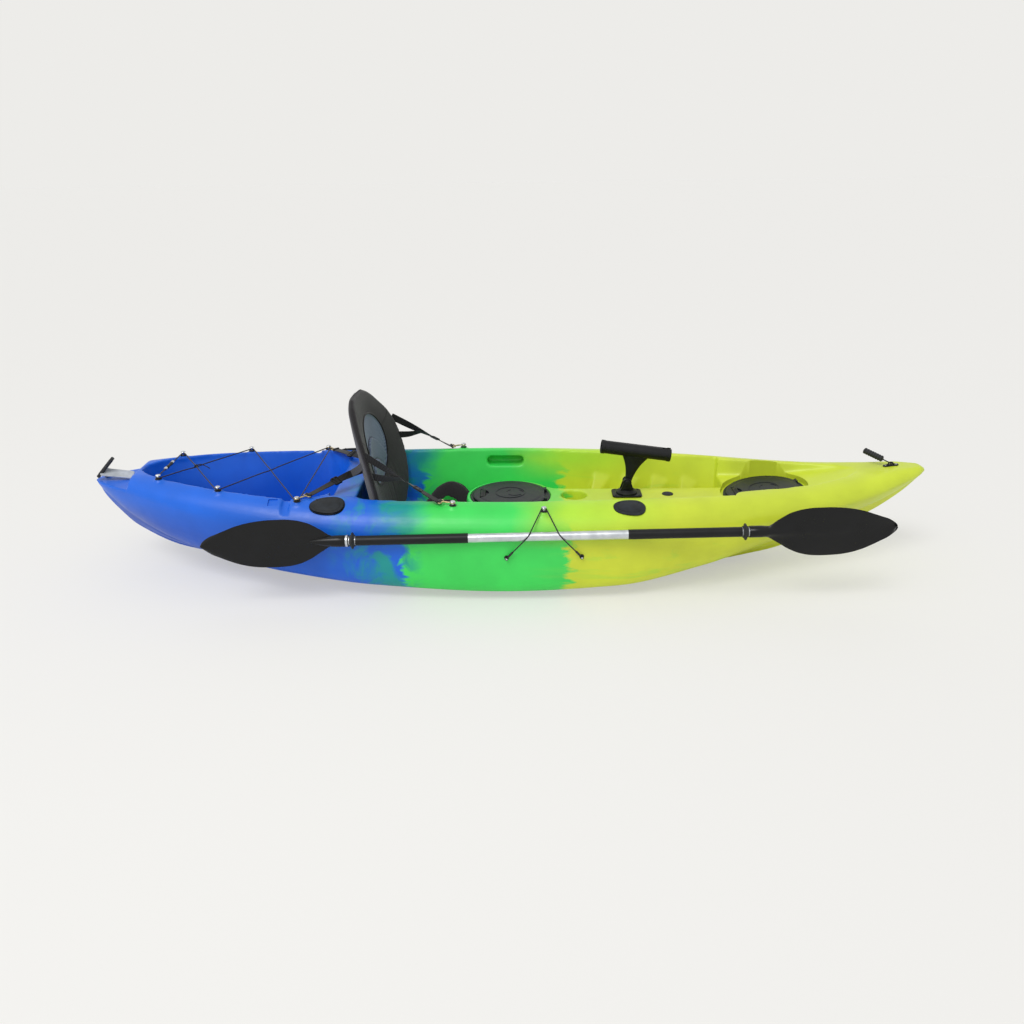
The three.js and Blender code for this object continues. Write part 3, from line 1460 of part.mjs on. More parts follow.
function lacing() {
  const legs = lacingLegs();
  const lifts = [lacingCrossing, -lacingCrossing, 0, lacingCrossing, -lacingCrossing, 0];
  const inside = lacingClipLength / 2 - 2 * lacingClipRadius;
  const start = legs[0][0].clone();
  start.y = inside;
  const end = start.clone();
  end.y = -inside;
  const route = [start];
  legs.forEach((leg, i) => {
    route.push(...leg);
    if (lifts[i] !== 0) route.push(crossingPoint(leg[leg.length - 1], legs[i + 1][0], lifts[i]));
  });
  route.push(end);
  const clip = solidOf(barAlongY(lacingClipRadius, lacingClipLength, lacingCordSides));
  return join(solidOf(tubeAlong(route, lacingRadius, lacingCordSides)), clip.translate([start.x, 0, start.z]));
}

// Snap hooks: a ring round the button's post, a neck and a slotted end for the strap
function hookSeat(placeShare, inboard, side, target) {
  const origin = new THREE.Vector3(0, 0, lacingLevel() + lacingRadius + seatGap);
  origin.applyMatrix4(buttonFrame(placeShare, inboard, side));
  const ahead = new THREE.Vector3(target.x - origin.x, target.y - origin.y, 0).normalize();
  const up = new THREE.Vector3(0, 0, 1);
  return new THREE.Matrix4().makeBasis(ahead, new THREE.Vector3().crossVectors(up, ahead), up).setPosition(origin);
}

function snapHook() {
  const endHalf = hookSlotLength / 2 + hookNeck;
  const slotStart = hookLength - hookRingRadius - 2 * hookNeck - hookSlotWidth;
  const outline = new THREE.Shape();
  outline.absarc(0, 0, hookRingRadius, Math.PI / 4, Math.PI * 1.75);
  outline.lineTo(slotStart / 2, -hookNeck);
  outline.lineTo(slotStart - hookNeck, -endHalf);
  outline.lineTo(slotStart + hookSlotWidth + hookNeck, -endHalf);
  outline.lineTo(slotStart + hookSlotWidth + hookNeck, endHalf);
  outline.lineTo(slotStart - hookNeck, endHalf);
  outline.lineTo(slotStart / 2, hookNeck);
  const bore = new THREE.Path();
  bore.absarc(0, 0, hookRingBore, 0, 2 * Math.PI);
  outline.holes.push(bore);
  outline.holes.push(slotHole(slotStart + hookSlotWidth / 2, 0, hookSlotWidth / 2, hookSlotLength / 2));
  return flat(outline, hookThickness, hookSegments);
}

function hookBarX() {
  return hookLength - hookRingRadius - 2 * hookNeck + hookNeck / 2;
}

// Webbing: flat ribbons that start in a loop round the hook's end bar
function strapLoop(seat) {
  const outer = strapLoopBore + strapThickness;
  const tube = barAlongY(outer, strapWidth, loopSides);
  const bore = barAlongY(strapLoopBore, strapWidth + overrun, loopSides);
  const place = new THREE.Matrix4().makeTranslation(hookBarX(), 0, hookThickness / 2);
  return cut(solidOf(tube), solidOf(bore)).transform(new THREE.Matrix4().multiplyMatrices(seat, place).elements);
}

function ribbon(route, acrossStart, acrossEnd) {
  const curve = new THREE.CatmullRomCurve3(route);
  const rings = [];
  for (let i = 0; i <= strapSteps; i += 1) {
    const t = i / strapSteps;
    const tangent = curve.getTangentAt(t);
    const across = new THREE.Vector3().lerpVectors(acrossStart, acrossEnd, t);
    across.addScaledVector(tangent, -across.dot(tangent)).normalize();
    const up = new THREE.Vector3().crossVectors(tangent, across);
    const point = curve.getPointAt(t);
    const corners = [[1, 1], [-1, 1], [-1, -1], [1, -1]];
    rings.push(corners.map(([a, b]) => point.clone()
      .addScaledVector(across, a * strapWidth / 2).addScaledVector(up, b * strapThickness / 2)));
  }
  // both faces of a twisted band split along the same diagonals, so its thickness stays even
  return solidOf(skin(rings, rings[0].length / 2));
}

function loopExit(seat) {
  const x = hookBarX() + strapLoopBore + strapThickness / 2;
  return new THREE.Vector3(x, 0, hookThickness / 2).applyMatrix4(seat);
}

function strapWithBranch(seat, via, end, branchEnd, share) {
  const start = loopExit(seat);
  const across = new THREE.Vector3().setFromMatrixColumn(seat, 1);
  const upright = new THREE.Vector3(0, 0, 1);
  const route = [start, via, end];
  const fork = new THREE.CatmullRomCurve3(route).getPointAt(share);
  const middle = new THREE.Vector3().lerpVectors(fork, branchEnd, 0.5);
  const halfway = new THREE.Vector3().lerpVectors(across, upright, share);
  const main = ribbon(route, across, upright);
  const branch = ribbon([fork, middle, branchEnd], halfway, upright);
  return cut(join(strapLoop(seat), main, branch), solidOf(backForm(seatGap)));
}

// Backrest: sections from the foot to the top, bent forward at the sides, leaning back.
// A place on it is given by its height up the back, its offset to the side and its depth.
function onBack(depth, offset, rise) {
  const bent = new THREE.Vector3(depth + backBend * (offset / backHalfWidth) ** 2, offset, rise);
  bent.applyAxisAngle(new THREE.Vector3(0, 0, 1), -backTurn);
  bent.applyAxisAngle(new THREE.Vector3(0, 1, 0), -backLean);
  return bent.add(new THREE.Vector3(backHingeX, 0, backHingeHeight));
}

function backSection(share, grow) {
  const half = backHalfWidth * between(backRiseShares, backWidthShares, share) + grow;
  const rise = backHeight * share + (share < 0.5 ? -grow : grow);
  const points = [];
  for (let i = 0; i < backSides; i += 1) {
    const turn = 2 * Math.PI * i / backSides;
    const offset = half * Math.cos(turn);
    const swell = Math.sign(Math.sin(turn)) * Math.abs(Math.sin(turn)) ** 0.6;
    const taper = Math.min(1, (1 - share) / backTaperShare + backEdgeShare, share / backTaperShare + backEdgeShare);
    const depth = (backThickness * taper ** 0.5 / 2 + grow) * swell;
    points.push(onBack(depth - backPanelHollow(offset, rise, swell), offset, rise));
  }
  return points;
}

// Sunken oval panel in the front face, with a soft lobe for each of its bands
function backPanelHollow(offset, rise, swell) {
  if (swell <= 0) return 0;
  const across = offset / backPanelHalfWidth;
  const along = (rise - backPanelRise) / backPanelHalfHeight;
  const inside = 1 - across ** 2 - along ** 2;
  if (inside <= 0) return 0;
  const lobe = Math.abs(Math.cos(Math.PI * backLobes * (along + 1) / 2));
  return backPanelDepth * Math.min(1, 3 * inside) * (0.5 + lobe / 2);
}

function backForm(grow) {
  const shares = [];
  for (let i = 0; i <= backStations; i += 1) {
    shares.push(i / backStations);
  }
  return skin(shares.map((share) => backSection(share, grow)));
}

function addStraps() {
  sides.forEach((side) => {
    const wing = side * backHalfWidth * strapOffsetShare;
    const frontEnd = onBack(0, wing, frontStrapRise);
    const frontSeat = hookSeat(seatEyePlaceShare, seatEyeInboard, side, frontEnd);
    const frontVia = new THREE.Vector3().lerpVectors(loopExit(frontSeat), frontEnd, 0.5);
    const frontBranch = onBack(0, wing, frontBranchRise);
    const front = strapWithBranch(frontSeat, frontVia, frontEnd, frontBranch, branchShare);
    addPart(kayak, `front_strap_${sideName(side)}`, front, finishes.webbing);
    addHook(`front_hook_${sideName(side)}`, frontSeat);
    const rearEnd = onBack(0, side * rearStrapOffset, rearStrapRise);
    const rearSeat = hookSeat(lacingPlaceShares[2], lacingInboard, side, rearEnd);
    const rearVia = new THREE.Vector3().lerpVectors(loopExit(rearSeat), rearEnd, rearBranchShare);
    rearVia.y -= side * rearStrapInset / 2;
    const rearBranch = onBack(0, wing, rearBranchRise);
    const rear = strapWithBranch(rearSeat, rearVia, rearEnd, rearBranch, rearBranchShare);
    addPart(kayak, `rear_strap_${sideName(side)}`, rear, finishes.webbing);
    addHook(`rear_hook_${sideName(side)}`, rearSeat);
  });
}

function addHook(name, seat) {
  const group = new THREE.Group();
  group.applyMatrix4(seat);
  kayak.add(group);
  addPart(group, name, snapHook(), finishes.brass);
}

// Seat pad: rounded outline, crowned rim, sunken middle panel, notched round the hatch boss
function padRing(scale, heightAt) {
  const middleX = (padRearX + padHornX) / 2;
  const halfX = (padHornX - padRearX) / 2;
  const points = [];
  for (let i = 0; i < padSides; i += 1) {
    const turn = 2 * Math.PI * i / padSides;
    const outX = Math.sign(Math.cos(turn)) * Math.abs(Math.cos(turn)) ** padCornerShare;
    const outY = Math.sign(Math.sin(turn)) * Math.abs(Math.sin(turn)) ** padCornerShare;
    const flare = Math.min(1, (1 + outX) / padFlareShare) ** padFlarePowerShare;
    const wide = padRearHalfWidth + (padHalfWidth - padRearHalfWidth) * flare;
    const x = middleX + halfX * scale * outX;
    const y = wide * scale * outY;
    points.push(new THREE.Vector3(x, y, scupperFloor(x) + heightAt(x, y)));
  }
  return points;
}

function padTop(crown) {
  return (x, y) => {
    const ahead = (x - padRearX) / (padHornX - padRearX);
    const crowned = padEdgeHeight + (padCrown - padEdgeHeight) * crown * (0.5 + ahead / 2);
    const panelHalf = padPanelHalfWidth + (padPanelWideHalfWidth - padPanelHalfWidth) * ahead;
    const acrossPanel = ramp(panelHalf, padPanelEdge, Math.abs(y));
    const alongPanel = ramp(padPanelFrontX, padPanelEdge, x);
    return crowned + (padPanelHeight - crowned) * acrossPanel * alongPanel * Math.min(1, crown * 1.4);
  };
}

// Falls from 1 to 0 over an edge's width past a place
function ramp(place, edge, value) {
  return THREE.MathUtils.clamp(1 - (value - place) / edge, 0, 1);
}

function wellFloorSolid() {
  const rings = cockpitPlaceShares.slice(2).map((share, i) => {
    const x = share * halfLength;
    const z = hullDepth * cockpitRiseShares[i + 2] + seatGap;
    return [[-halfBeam, -overrun], [halfBeam, -overrun], [halfBeam, z], [-halfBeam, z]]
      .map(([y, height]) => new THREE.Vector3(x, y, height));
  });
  return solidOf(skin(rings));
}

function seatPad() {
  const rings = [
    padRing(0.93, () => -overrun / 2),
    padRing(0.95, () => padEdgeHeight * 0.15),
    padRing(1, () => padEdgeHeight * 0.55),
    padRing(0.965, () => padEdgeHeight),
    padRing(0.88, padTop(0.75)),
    padRing(0.76, padTop(1)),
    padRing(0.62, padTop(1)),
    padRing(0.5, padTop(0.9)),
    padRing(0.36, padTop(0.85)),
    padRing(0.18, padTop(0.8)),
  ];
  const boss = post(bossFootRadius + padClearance, ridgeHeight, bossSides, bossTopRadius + padClearance);
  const around = solidOf(boss.translate(centerHatchX, 0, 0));
  return cut(solidOf(skin(rings)), wellFloorSolid(), around);
}

// Carry toggles
function ribbedBar(length, radius) {
  const profile = [[0, -length / 2], [radius * 0.7, -length / 2]];
  for (let i = 0; i < toggleRibs; i += 1) {
    const start = -length / 2 + length * (i + 0.2) / toggleRibs;
    const end = -length / 2 + length * (i + 0.8) / toggleRibs;
    profile.push([radius, start], [radius, end], [radius * 0.8, end + length * 0.2 / toggleRibs]);
  }
  profile.push([radius * 0.7, length / 2], [0, length / 2]);
  return turned(profile, toggleSides);
}

function bowEye() {
  const plate = roundedPlate(bowEyePlateLength, bowEyePlateWidth, bowEyePlateWidth / 2.1, bowEyePlateThickness);
  const bail = ring(bowEyeRingRadius, bowEyeWire, eyeSides).rotateX(Math.PI / 2);
  const above = solidOf(block(-overrun, overrun, -overrun, overrun, 0, overrun));
  return join(solidOf(plate), solidOf(bail).translate([0, 0, bowEyePlateThickness]).intersect(above));
}

function bowEyeInside() {
  return bowEyeRingRadius * Math.cos(Math.PI / eyeSides) - bowEyeWire;
}

function bowToggle() {
  const centre = new THREE.Vector3(-bowToggleBack, bowToggleSide, bowToggleRise);
  const turn = new THREE.Euler(0, Math.PI / 2 - bowTogglePitch, bowToggleYaw, 'ZYX');
  const frame = new THREE.Matrix4().makeRotationFromEuler(turn).setPosition(centre);
  const bar = standing(ribbedBar(toggleLength, toggleRadius), frame);
  const crest = bowEyePlateThickness + bowEyeInside() - 2 * seatGap - toggleCordRadius;
  const start = new THREE.Vector3(0, -bowEyeWire - toggleKnotRadius - seatGap, crest);
  const beside = new THREE.Vector3(0, bowEyeWire + toggleCordRadius, crest);
  const bend = new THREE.Vector3(0, bowEyeWire + 3 * toggleCordRadius, crest);
  const cord = tubeAlong([start, beside, bend, centre], toggleCordRadius, toggleCordSides);
  const knot = new THREE.IcosahedronGeometry(toggleKnotRadius).translate(start.x, start.y, start.z);
  return join(bar, solidOf(cord), solidOf(knot));
}

function sternEye() {
  const foot = post(buttonWasherRadius, buttonWasherHeight, buttonSides);
  const shank = post(buttonPostRadius, buttonPostHeight + buttonWasherHeight, buttonSides);
  const eye = ring(bowEyeRingRadius, bowEyeWire, eyeSides).rotateX(Math.PI / 2).rotateZ(sternEyeTurn);
  const rise = buttonPostHeight + buttonWasherHeight + bowEyeRingRadius - bowEyeWire / 2;
  return join(solidOf(foot), solidOf(shank), solidOf(eye).translate([0, 0, rise]));
}

// The stern handle: webbing screwed down ahead, a broad grip plate on it and a bar at its end
function sternToggle() {
  const length = sternStrapForeX - sternStrapAftX;
  const tab = block(-sternTabLength, 0, -strapWidth / 2, strapWidth / 2, 0, sternWebbingThickness);
  const rise = new THREE.Matrix4().makeRotationY(Math.asin(sternStrapRise / length));
  const webbing = standing(block(-length, 0, -strapWidth / 2, strapWidth / 2, 0, sternWebbingThickness), rise);
  const plate = roundedPlate(length - sternTabLength, sternStrapWidth, sternPlateRadius, sternStrapThickness);
  const tilt = new THREE.Matrix4().makeRotationX(sternStrapRoll);
  const middle = new THREE.Matrix4().makeTranslation(-length / 2 - sternTabLength / 2, 0, sternPlateLift);
  const cover = standing(plate, new THREE.Matrix4().multiplyMatrices(rise, middle).multiply(tilt));
  const lean = new THREE.Matrix4().makeRotationY(sternToggleLean);
  const bar = roundedBlock(sternToggleWidth, sternToggleThickness, sternToggleLength).applyMatrix4(lean);
  const up = sternToggleLength * (0.5 - sternToggleJoinShare);
  const x = up * Math.sin(sternToggleLean) - length;
  const z = up * Math.cos(sternToggleLean) + sternStrapRise;
  return join(solidOf(tab), webbing, cover, solidOf(bar).translate([x, 0, z]));
}

function roundedBlock(width, thickness, length) {
  const geometry = roundedPlate(thickness, width, thickness / 2.1, length);
  return geometry.translate(0, 0, -length / 2);
}

function addToggles() {
  const bow = groupOn(deckFrame(bowEyeX, 0), seatGap);
  addPart(bow, 'bow_eye', bowEye(), finishes.moulded);
  addPart(bow, 'bow_toggle', bowToggle(), finishes.rubber);
  const flatTop = sternFlatHeight;
  const up = new THREE.Vector3(0, 0, 1);
  const eye = groupOn(frameOn(new THREE.Vector3(sternEyeX, sternEyeY, flatTop), up), seatGap);
  addPart(eye, 'stern_eye', sternEye(), finishes.chrome);
  const toggle = groupOn(frameOn(new THREE.Vector3(sternStrapForeX, 0, flatTop), up), seatGap);
  toggle.rotateZ(sternStrapTurn);
  addPart(toggle, 'stern_toggle', sternToggle(), finishes.strap);
}

// Paddle, laid along its own X axis from its middle, its halves joined by a ferrule
function paddleOffset() {
  const reach = shaftRadius + gripSleeveWall + 2 * seatGap;
  let offset = 0;
  for (let i = 0; i <= outerStations; i += 1) {
    const x = -halfLength * Math.cos(Math.PI * i / outerStations);
    const height = paddleMidHeight + (x - paddleMidX) * Math.tan(paddleTilt);
    const section = sectionAt(x, 0);
    const outline = [...sidePoints(section), ...shoulderPoints(section)];
    outline.slice(1).forEach(([y, z], k) => {
      const [y0, z0] = outline[k];
      for (let t = 0; t <= 1; t += contactStep) {
        const rise = z0 + (z - z0) * t - height;
        const out = y0 + (y - y0) * t;
        if (Math.abs(rise) < reach) offset = Math.max(offset, out + Math.sqrt(reach ** 2 - rise ** 2));
      }
    });
  }
  return offset;
}

function paddleShaft(end) {
  const tube = barAlongX(shaftRadius, shaftHalfLength - seatGap / 2, shaftSides);
  const bore = barAlongX(shaftRadius - shaftWall, shaftHalfLength + overrun, shaftSides).translate(-1, 0, 0);
  const shaft = cut(solidOf(tube.translate(seatGap / 2, 0, 0)), solidOf(bore));
  if (end > 0) return shaft;
  const bore0 = (shaftRadius - shaftWall) * Math.cos(Math.PI / shaftSides);
  const spigot = barAlongX(bore0 - seatGap, ferruleLength, shaftSides).translate(-ferruleLength / 2, 0, 0);
  const sleeve = barAlongX(shaftRadius - shaftWall / 2, ferruleLength / 2 - seatGap / 2, shaftSides);
  const hollow = barAlongX(bore0 - seatGap - ferruleWall, 3 * ferruleLength, shaftSides);
  const ferrule = join(solidOf(spigot), solidOf(sleeve.translate(seatGap / 2, 0, 0)));
  return join(shaft, cut(ferrule, solidOf(hollow.translate(-1.5 * ferruleLength, 0, 0))));
}

function paddleGrip() {
  const outer = shaftRadius + seatGap + gripSleeveWall;
  const sleeve = solidOf(barAlongX(outer, gripSleeveLength, shaftSides).translate(gripStart, 0, 0));
  const bore = barAlongX(shaftRadius + seatGap, gripSleeveLength + overrun, shaftSides);
  return cut(sleeve, solidOf(bore.translate(gripStart - overrun / 2, 0, 0)));
}

function dripRing() {
  const bore = shaftRadius + seatGap;
  const profile = [[bore, 0], [bore + dripLip, 0], [dripRadius, dripLength * 0.35], [dripRadius, dripLength * 0.65],
    [bore + dripLip, dripLength], [bore, dripLength], [bore, 0]];
  return turned(profile, shaftSides).rotateY(Math.PI / 2).translate(dripStart, 0, 0);
}

function paddleBlade() {
  const root = bladeStart + bladeNeckLength;
  const rings = bladeUpperShares.map((share, i) => {
    const along = i / (bladeUpperShares.length - 1);
    const upper = bladeUpperWidth * share;
    const lower = bladeLowerWidth * bladeLowerShares[i];
    const rib = bladeThickness / 2 + bladeRib * (1 - along) ** 2;
    const bow = bladeScoop * (along ** 2) - bladeScoop / 4;
    const half = bladeThickness / 2;
    const outline = [[-half, upper / 2], [-rib, 0], [-half, -lower / 2], [0, -lower],
      [half, -lower / 2], [rib, 0], [half, upper / 2], [0, upper]];
    const x = root - bladeNeckLength / 3 + (bladeLength + bladeNeckLength / 3) * along;
    return outline.map(([y, z]) => new THREE.Vector3(x, y + bow * bladeCurl(z, upper, lower), z));
  });
  const neck = barAlongX(bladeNeckRadius, bladeNeckLength, shaftSides).translate(bladeStart, 0, 0);
  const socketLength = shaftHalfLength + seatGap - bladeStart;
  const socket = barAlongX(shaftRadius + seatGap, socketLength + overrun, shaftSides);
  return cut(join(solidOf(neck), solidOf(skin(rings))), solidOf(socket.translate(bladeStart - overrun, 0, 0)));
}

function bladeCurl(z, upper, lower) {
  const across = z / Math.max(upper, lower);
  return 1 - across ** 2 / 2;
}

function addPaddle() {
  const axis = new THREE.Group();
  axis.position.set(paddleMidX, -paddleOffset(), paddleMidHeight);
  axis.rotation.y = -paddleTilt;
  kayak.add(axis);
  [['aft', -1], ['fore', 1]].forEach(([name, end]) => {
    const half = new THREE.Group();
    if (end < 0) half.rotation.z = Math.PI;
    axis.add(half);
    addPart(half, `paddle_shaft_${name}`, paddleShaft(end), finishes.aluminium);
    addPart(half, `paddle_grip_${name}`, paddleGrip(), finishes.moulded);
    addPart(half, `drip_ring_${name}`, dripRing(), finishes.rubber);
    addPart(half, `paddle_blade_${name}`, paddleBlade(), finishes.blade);
  });
}

// Paddle keeper
function keeperButton() {
  const foot = keeperWasherHeight;
  const head = foot + keeperPostHeight;
  return turned([
    [0, 0], [keeperWasherRadius, 0], [keeperWasherRadius, foot / 2], [keeperPostRadius, foot],
    [keeperPostRadius, head], [keeperHeadRadius, head], [keeperHeadRadius / 2, head + keeperHeadHeight],
    [0, head + keeperHeadHeight],
  ], buttonSides);
}

function sideFrame(x, height, side) {
  const out = (px, pz) => {
    const outline = sidePoints(sectionAt(px, 0));
    const above = outline.findIndex(([, z]) => z >= pz);
    const [[y0, z0], [y1, z1]] = [outline[above - 1], outline[above]];
    return y0 + (y1 - y0) * (pz - z0) / (z1 - z0);
  };
  const alongX = (out(x + slopeStep, height) - out(x - slopeStep, height)) / (2 * slopeStep);
  const alongZ = (out(x, height + slopeStep) - out(x, height - slopeStep)) / (2 * slopeStep);
  const normal = new THREE.Vector3(-alongX, side, -alongZ);
  return frameOn(new THREE.Vector3(x, side * out(x, height), height), normal);
}

function keeperFrame(end) {
  return sideFrame(keeperX + end * keeperSpread, keeperHookHeight, starboard);
}

// Leg of the cord from its hook, round the outside of the shaft, up to the button
function keeperLeg(end, top) {
  const level = seatGap + keeperWasherHeight + keeperPostHeight / 2;
  const frame = keeperFrame(end);
  const hook = new THREE.Vector3(0, 0, level).applyMatrix4(frame);
  const radius = shaftRadius + 2 * seatGap + keeperCordRadius;
  const shaftY = -paddleOffset();
  const shaftZ = paddleMidHeight + ((hook.x + top.x) / 2 - paddleMidX) * Math.tan(paddleTilt);
  const touch = (point, turn) => {
    const away = Math.atan2(point.z - shaftZ, point.y - shaftY);
    return away + turn * Math.acos(radius / Math.hypot(point.y - shaftY, point.z - shaftZ));
  };
  const low = touch(hook, -1);
  const high = touch(top, 1);
  const full = 2 * Math.PI;
  const sweep = ((high - low) % full - full) % full;
  const points = [];
  for (let i = 0; i <= keeperWraps; i += 1) {
    const turn = low + sweep * i / keeperWraps;
    const y = shaftY + radius * Math.cos(turn);
    const z = shaftZ + radius * Math.sin(turn);
    const x = hook.x + (top.x - hook.x) * (z - hook.z) / (top.z - hook.z);
    points.push(new THREE.Vector3(x, y, z));
  }
  const toward = points[0].clone().sub(hook).normalize();
  const start = hook.clone().addScaledVector(toward, keeperPostRadius + seatGap + keeperEyeWire);
  return { frame, hook, toward, points: [start, ...points] };
}

function keeperCord() {
  const level = buttonWasherHeight + buttonPostHeight - keeperCordRadius;
  const radius = buttonPostRadius + seatGap + keeperCordRadius;
  const stop = buttonStop(keeperX / halfLength, keeperInboard, starboard, -1, level, radius);
  const legs = [-1, 1].map((end) => keeperLeg(end, stop.centre));
  const tops = legs.map((leg) => ({ centre: leg.points[leg.points.length - 1], turn: 0, radius: 0 }));
  const wrap = wrapPoints(stop, headingBetween(tops[0], stop), headingBetween(stop, tops[1]));
  const route = [...legs[0].points, ...wrap, ...legs[1].points.slice().reverse()];
  const ends = legs.flatMap(({ frame, hook, toward }) => {
    const eyeRadius = keeperPostRadius + seatGap + keeperEyeWire;
    const place = new THREE.Matrix4().copy(frame).setPosition(hook);
    const eye = standing(ring(eyeRadius, keeperEyeWire, eyeSides), place);
    const across = new THREE.Vector3().setFromMatrixColumn(frame, 2);
    const sideways = new THREE.Vector3().crossVectors(across, toward).normalize();
    const upward = new THREE.Vector3().crossVectors(toward, sideways);
    const start = hook.clone().addScaledVector(toward, keeperHeadRadius + keeperSleeveRadius);
    const along = new THREE.Matrix4().makeBasis(toward, sideways, upward).setPosition(start);
    return [eye, standing(barAlongX(keeperSleeveRadius, keeperSleeveLength, lacingCordSides), along)];
  });
  return join(solidOf(tubeAlong(route, keeperCordRadius, lacingCordSides)), ...ends);
}

function addKeeper() {
  const seat = buttonSeat(keeperX / halfLength, keeperInboard, starboard);
  addPart(seat, 'paddle_button', deckButton(), finishes.chrome);
  [['aft', -1], ['fore', 1]].forEach(([name, end]) => {
    addPart(groupOn(keeperFrame(end), seatGap), `keeper_hook_${name}`, keeperButton(), finishes.chrome);
  });
  addPart(kayak, 'keeper_cord', keeperCord(), finishes.rubber);
}

addPart(kayak, 'hull', makeHull(), finishes.hull);
addHatch('center', centerHatchFrame());
addHatch('bow', bowHatchFrame());
addRodHolder();
addVentPlug();
addCovers();
addScupperPlugs();
addPart(kayak, 'sounder_plate', sounderPlate(), finishes.moulded);
addDeckButtons();
addPart(kayak, 'lacing', lacing(), finishes.rubber);
addPart(kayak, 'seat_pad', seatPad(), finishes.fabric);
addPart(kayak, 'backrest', backForm(0), finishes.fabric);
addStraps();
addToggles();
addPaddle();
addKeeper();

export default kayak;
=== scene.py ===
# Sit-on-top fishing kayak: the looks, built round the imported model.
# Metres, +X to the bow, +Y to port, +Z up. z = 0 is the underside of the keel at mid length.
import math

import bmesh
import bpy
import numpy as np
from mathutils import Matrix, Vector
from mathutils.bvhtree import BVHTree


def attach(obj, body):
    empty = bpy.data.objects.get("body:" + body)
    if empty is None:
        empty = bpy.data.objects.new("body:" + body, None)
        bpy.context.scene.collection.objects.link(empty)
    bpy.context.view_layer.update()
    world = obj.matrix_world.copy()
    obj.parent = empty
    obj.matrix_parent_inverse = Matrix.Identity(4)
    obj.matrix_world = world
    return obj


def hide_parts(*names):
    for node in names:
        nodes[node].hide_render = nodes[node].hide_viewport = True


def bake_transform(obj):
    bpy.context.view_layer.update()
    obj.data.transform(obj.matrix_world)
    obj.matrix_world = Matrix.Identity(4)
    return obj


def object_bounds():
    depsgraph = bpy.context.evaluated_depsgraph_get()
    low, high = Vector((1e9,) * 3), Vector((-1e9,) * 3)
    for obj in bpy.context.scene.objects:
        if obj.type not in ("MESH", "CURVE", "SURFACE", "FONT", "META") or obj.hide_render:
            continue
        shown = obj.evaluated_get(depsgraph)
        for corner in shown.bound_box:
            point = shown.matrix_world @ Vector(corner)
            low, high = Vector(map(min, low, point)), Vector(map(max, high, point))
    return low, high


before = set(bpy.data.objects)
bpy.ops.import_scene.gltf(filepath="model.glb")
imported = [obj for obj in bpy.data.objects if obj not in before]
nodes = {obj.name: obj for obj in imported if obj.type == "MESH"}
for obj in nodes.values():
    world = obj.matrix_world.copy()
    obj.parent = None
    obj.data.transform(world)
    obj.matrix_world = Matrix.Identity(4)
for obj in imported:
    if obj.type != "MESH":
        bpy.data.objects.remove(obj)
cadLow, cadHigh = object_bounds()
port, starboard = 1, -1
sideNames = {port: "port", starboard: "starboard"}
print("frame loaded,", len(nodes), "nodes")


# Small mesh helpers
def axisFrame(origin, up, ahead=(1, 0, 0)):
    # a place to build on: its Z along up, its X as near ahead as it can be
    z = Vector(up).normalized()
    y = z.cross(Vector(ahead)).normalized()
    x = y.cross(z)
    turn = Matrix((x, y, z)).transposed().to_4x4()
    return Matrix.Translation(Vector(origin)) @ turn


def meshPiece(name, points, faces, place=None):
    mesh = bpy.data.meshes.new(name)
    mesh.from_pydata([tuple(p) for p in points], [], faces)
    if place is not None:
        mesh.transform(place)
    mesh.update()
    piece = bpy.data.objects.new(name, mesh)
    bpy.context.scene.collection.objects.link(piece)
    return piece


def outward(piece):
    # faces point out, whichever way they were drawn
    shape = bmesh.new()
    shape.from_mesh(piece.data)
    bmesh.ops.remove_doubles(shape, verts=shape.verts, dist=1e-6)
    bmesh.ops.recalc_face_normals(shape, faces=shape.faces)
    shape.to_mesh(piece.data)
    shape.free()
    return piece


def lofted(name, rings, place=None, closed=True):
    # closed skin over rings of equal count, with a fan at both ends
    count = len(rings[0])
    points = [p for ring in rings for p in ring]
    faces = []
    for i in range(len(rings) - 1):
        for j in range(count):
            k = (j + 1) % count
            faces.append((i * count + j, i * count + k, (i + 1) * count + k, (i + 1) * count + j))
    if closed:
        for start, ring in ((0, rings[0]), ((len(rings) - 1) * count, rings[-1])):
            hub = len(points)
            points.append(tuple(sum(p[a] for p in ring) / count for a in range(3)))
            faces += [(start + j, start + (j + 1) % count, hub) for j in range(count)]
    return outward(meshPiece(name, points, faces, place))


def lathed(name, profile, sides, place=None):
    # profile of (radius, height) from the axis back to the axis, or closed on itself
    points, faces = [], []
    for radius, height in profile:
        for j in range(sides):
            turn = 2 * math.pi * j / sides
            points.append((radius * math.cos(turn), radius * math.sin(turn), height))
    for i in range(len(profile) - 1):
        for j in range(sides):
            k = (j + 1) % sides
            faces.append((i * sides + j, i * sides + k, (i + 1) * sides + k, (i + 1) * sides + j))
    return outward(meshPiece(name, points, faces, place))


def boxed(name, low, high, place=None):
    xs, ys, zs = zip(low, high)
    points = [(x, y, z) for z in zs for y in ys for x in xs]
    faces = [(0, 2, 3, 1), (4, 5, 7, 6), (0, 1, 5, 4), (2, 6, 7, 3), (0, 4, 6, 2), (1, 3, 7, 5)]
    return outward(meshPiece(name, points, faces, place))


def prism(name, outline, low, high, place=None):
    count = len(outline)
    points = [(x, y, low) for x, y in outline] + [(x, y, high) for x, y in outline]
    faces = [tuple(range(count)), tuple(range(count, 2 * count))]
    faces += [(j, (j + 1) % count, (j + 1) % count + count, j + count) for j in range(count)]
    return outward(meshPiece(name, points, faces, place))


def roundedOutline(length, width, radius, steps=6):
    points = []
    for quarter, (sx, sy) in enumerate(((1, 1), (-1, 1), (-1, -1), (1, -1))):
        for i in range(steps + 1):
            turn = math.pi / 2 * (quarter + i / steps)
            x = sx * (length / 2 - radius) + radius * math.cos(turn)
            points.append((x, sy * (width / 2 - radius) + radius * math.sin(turn)))
    return points


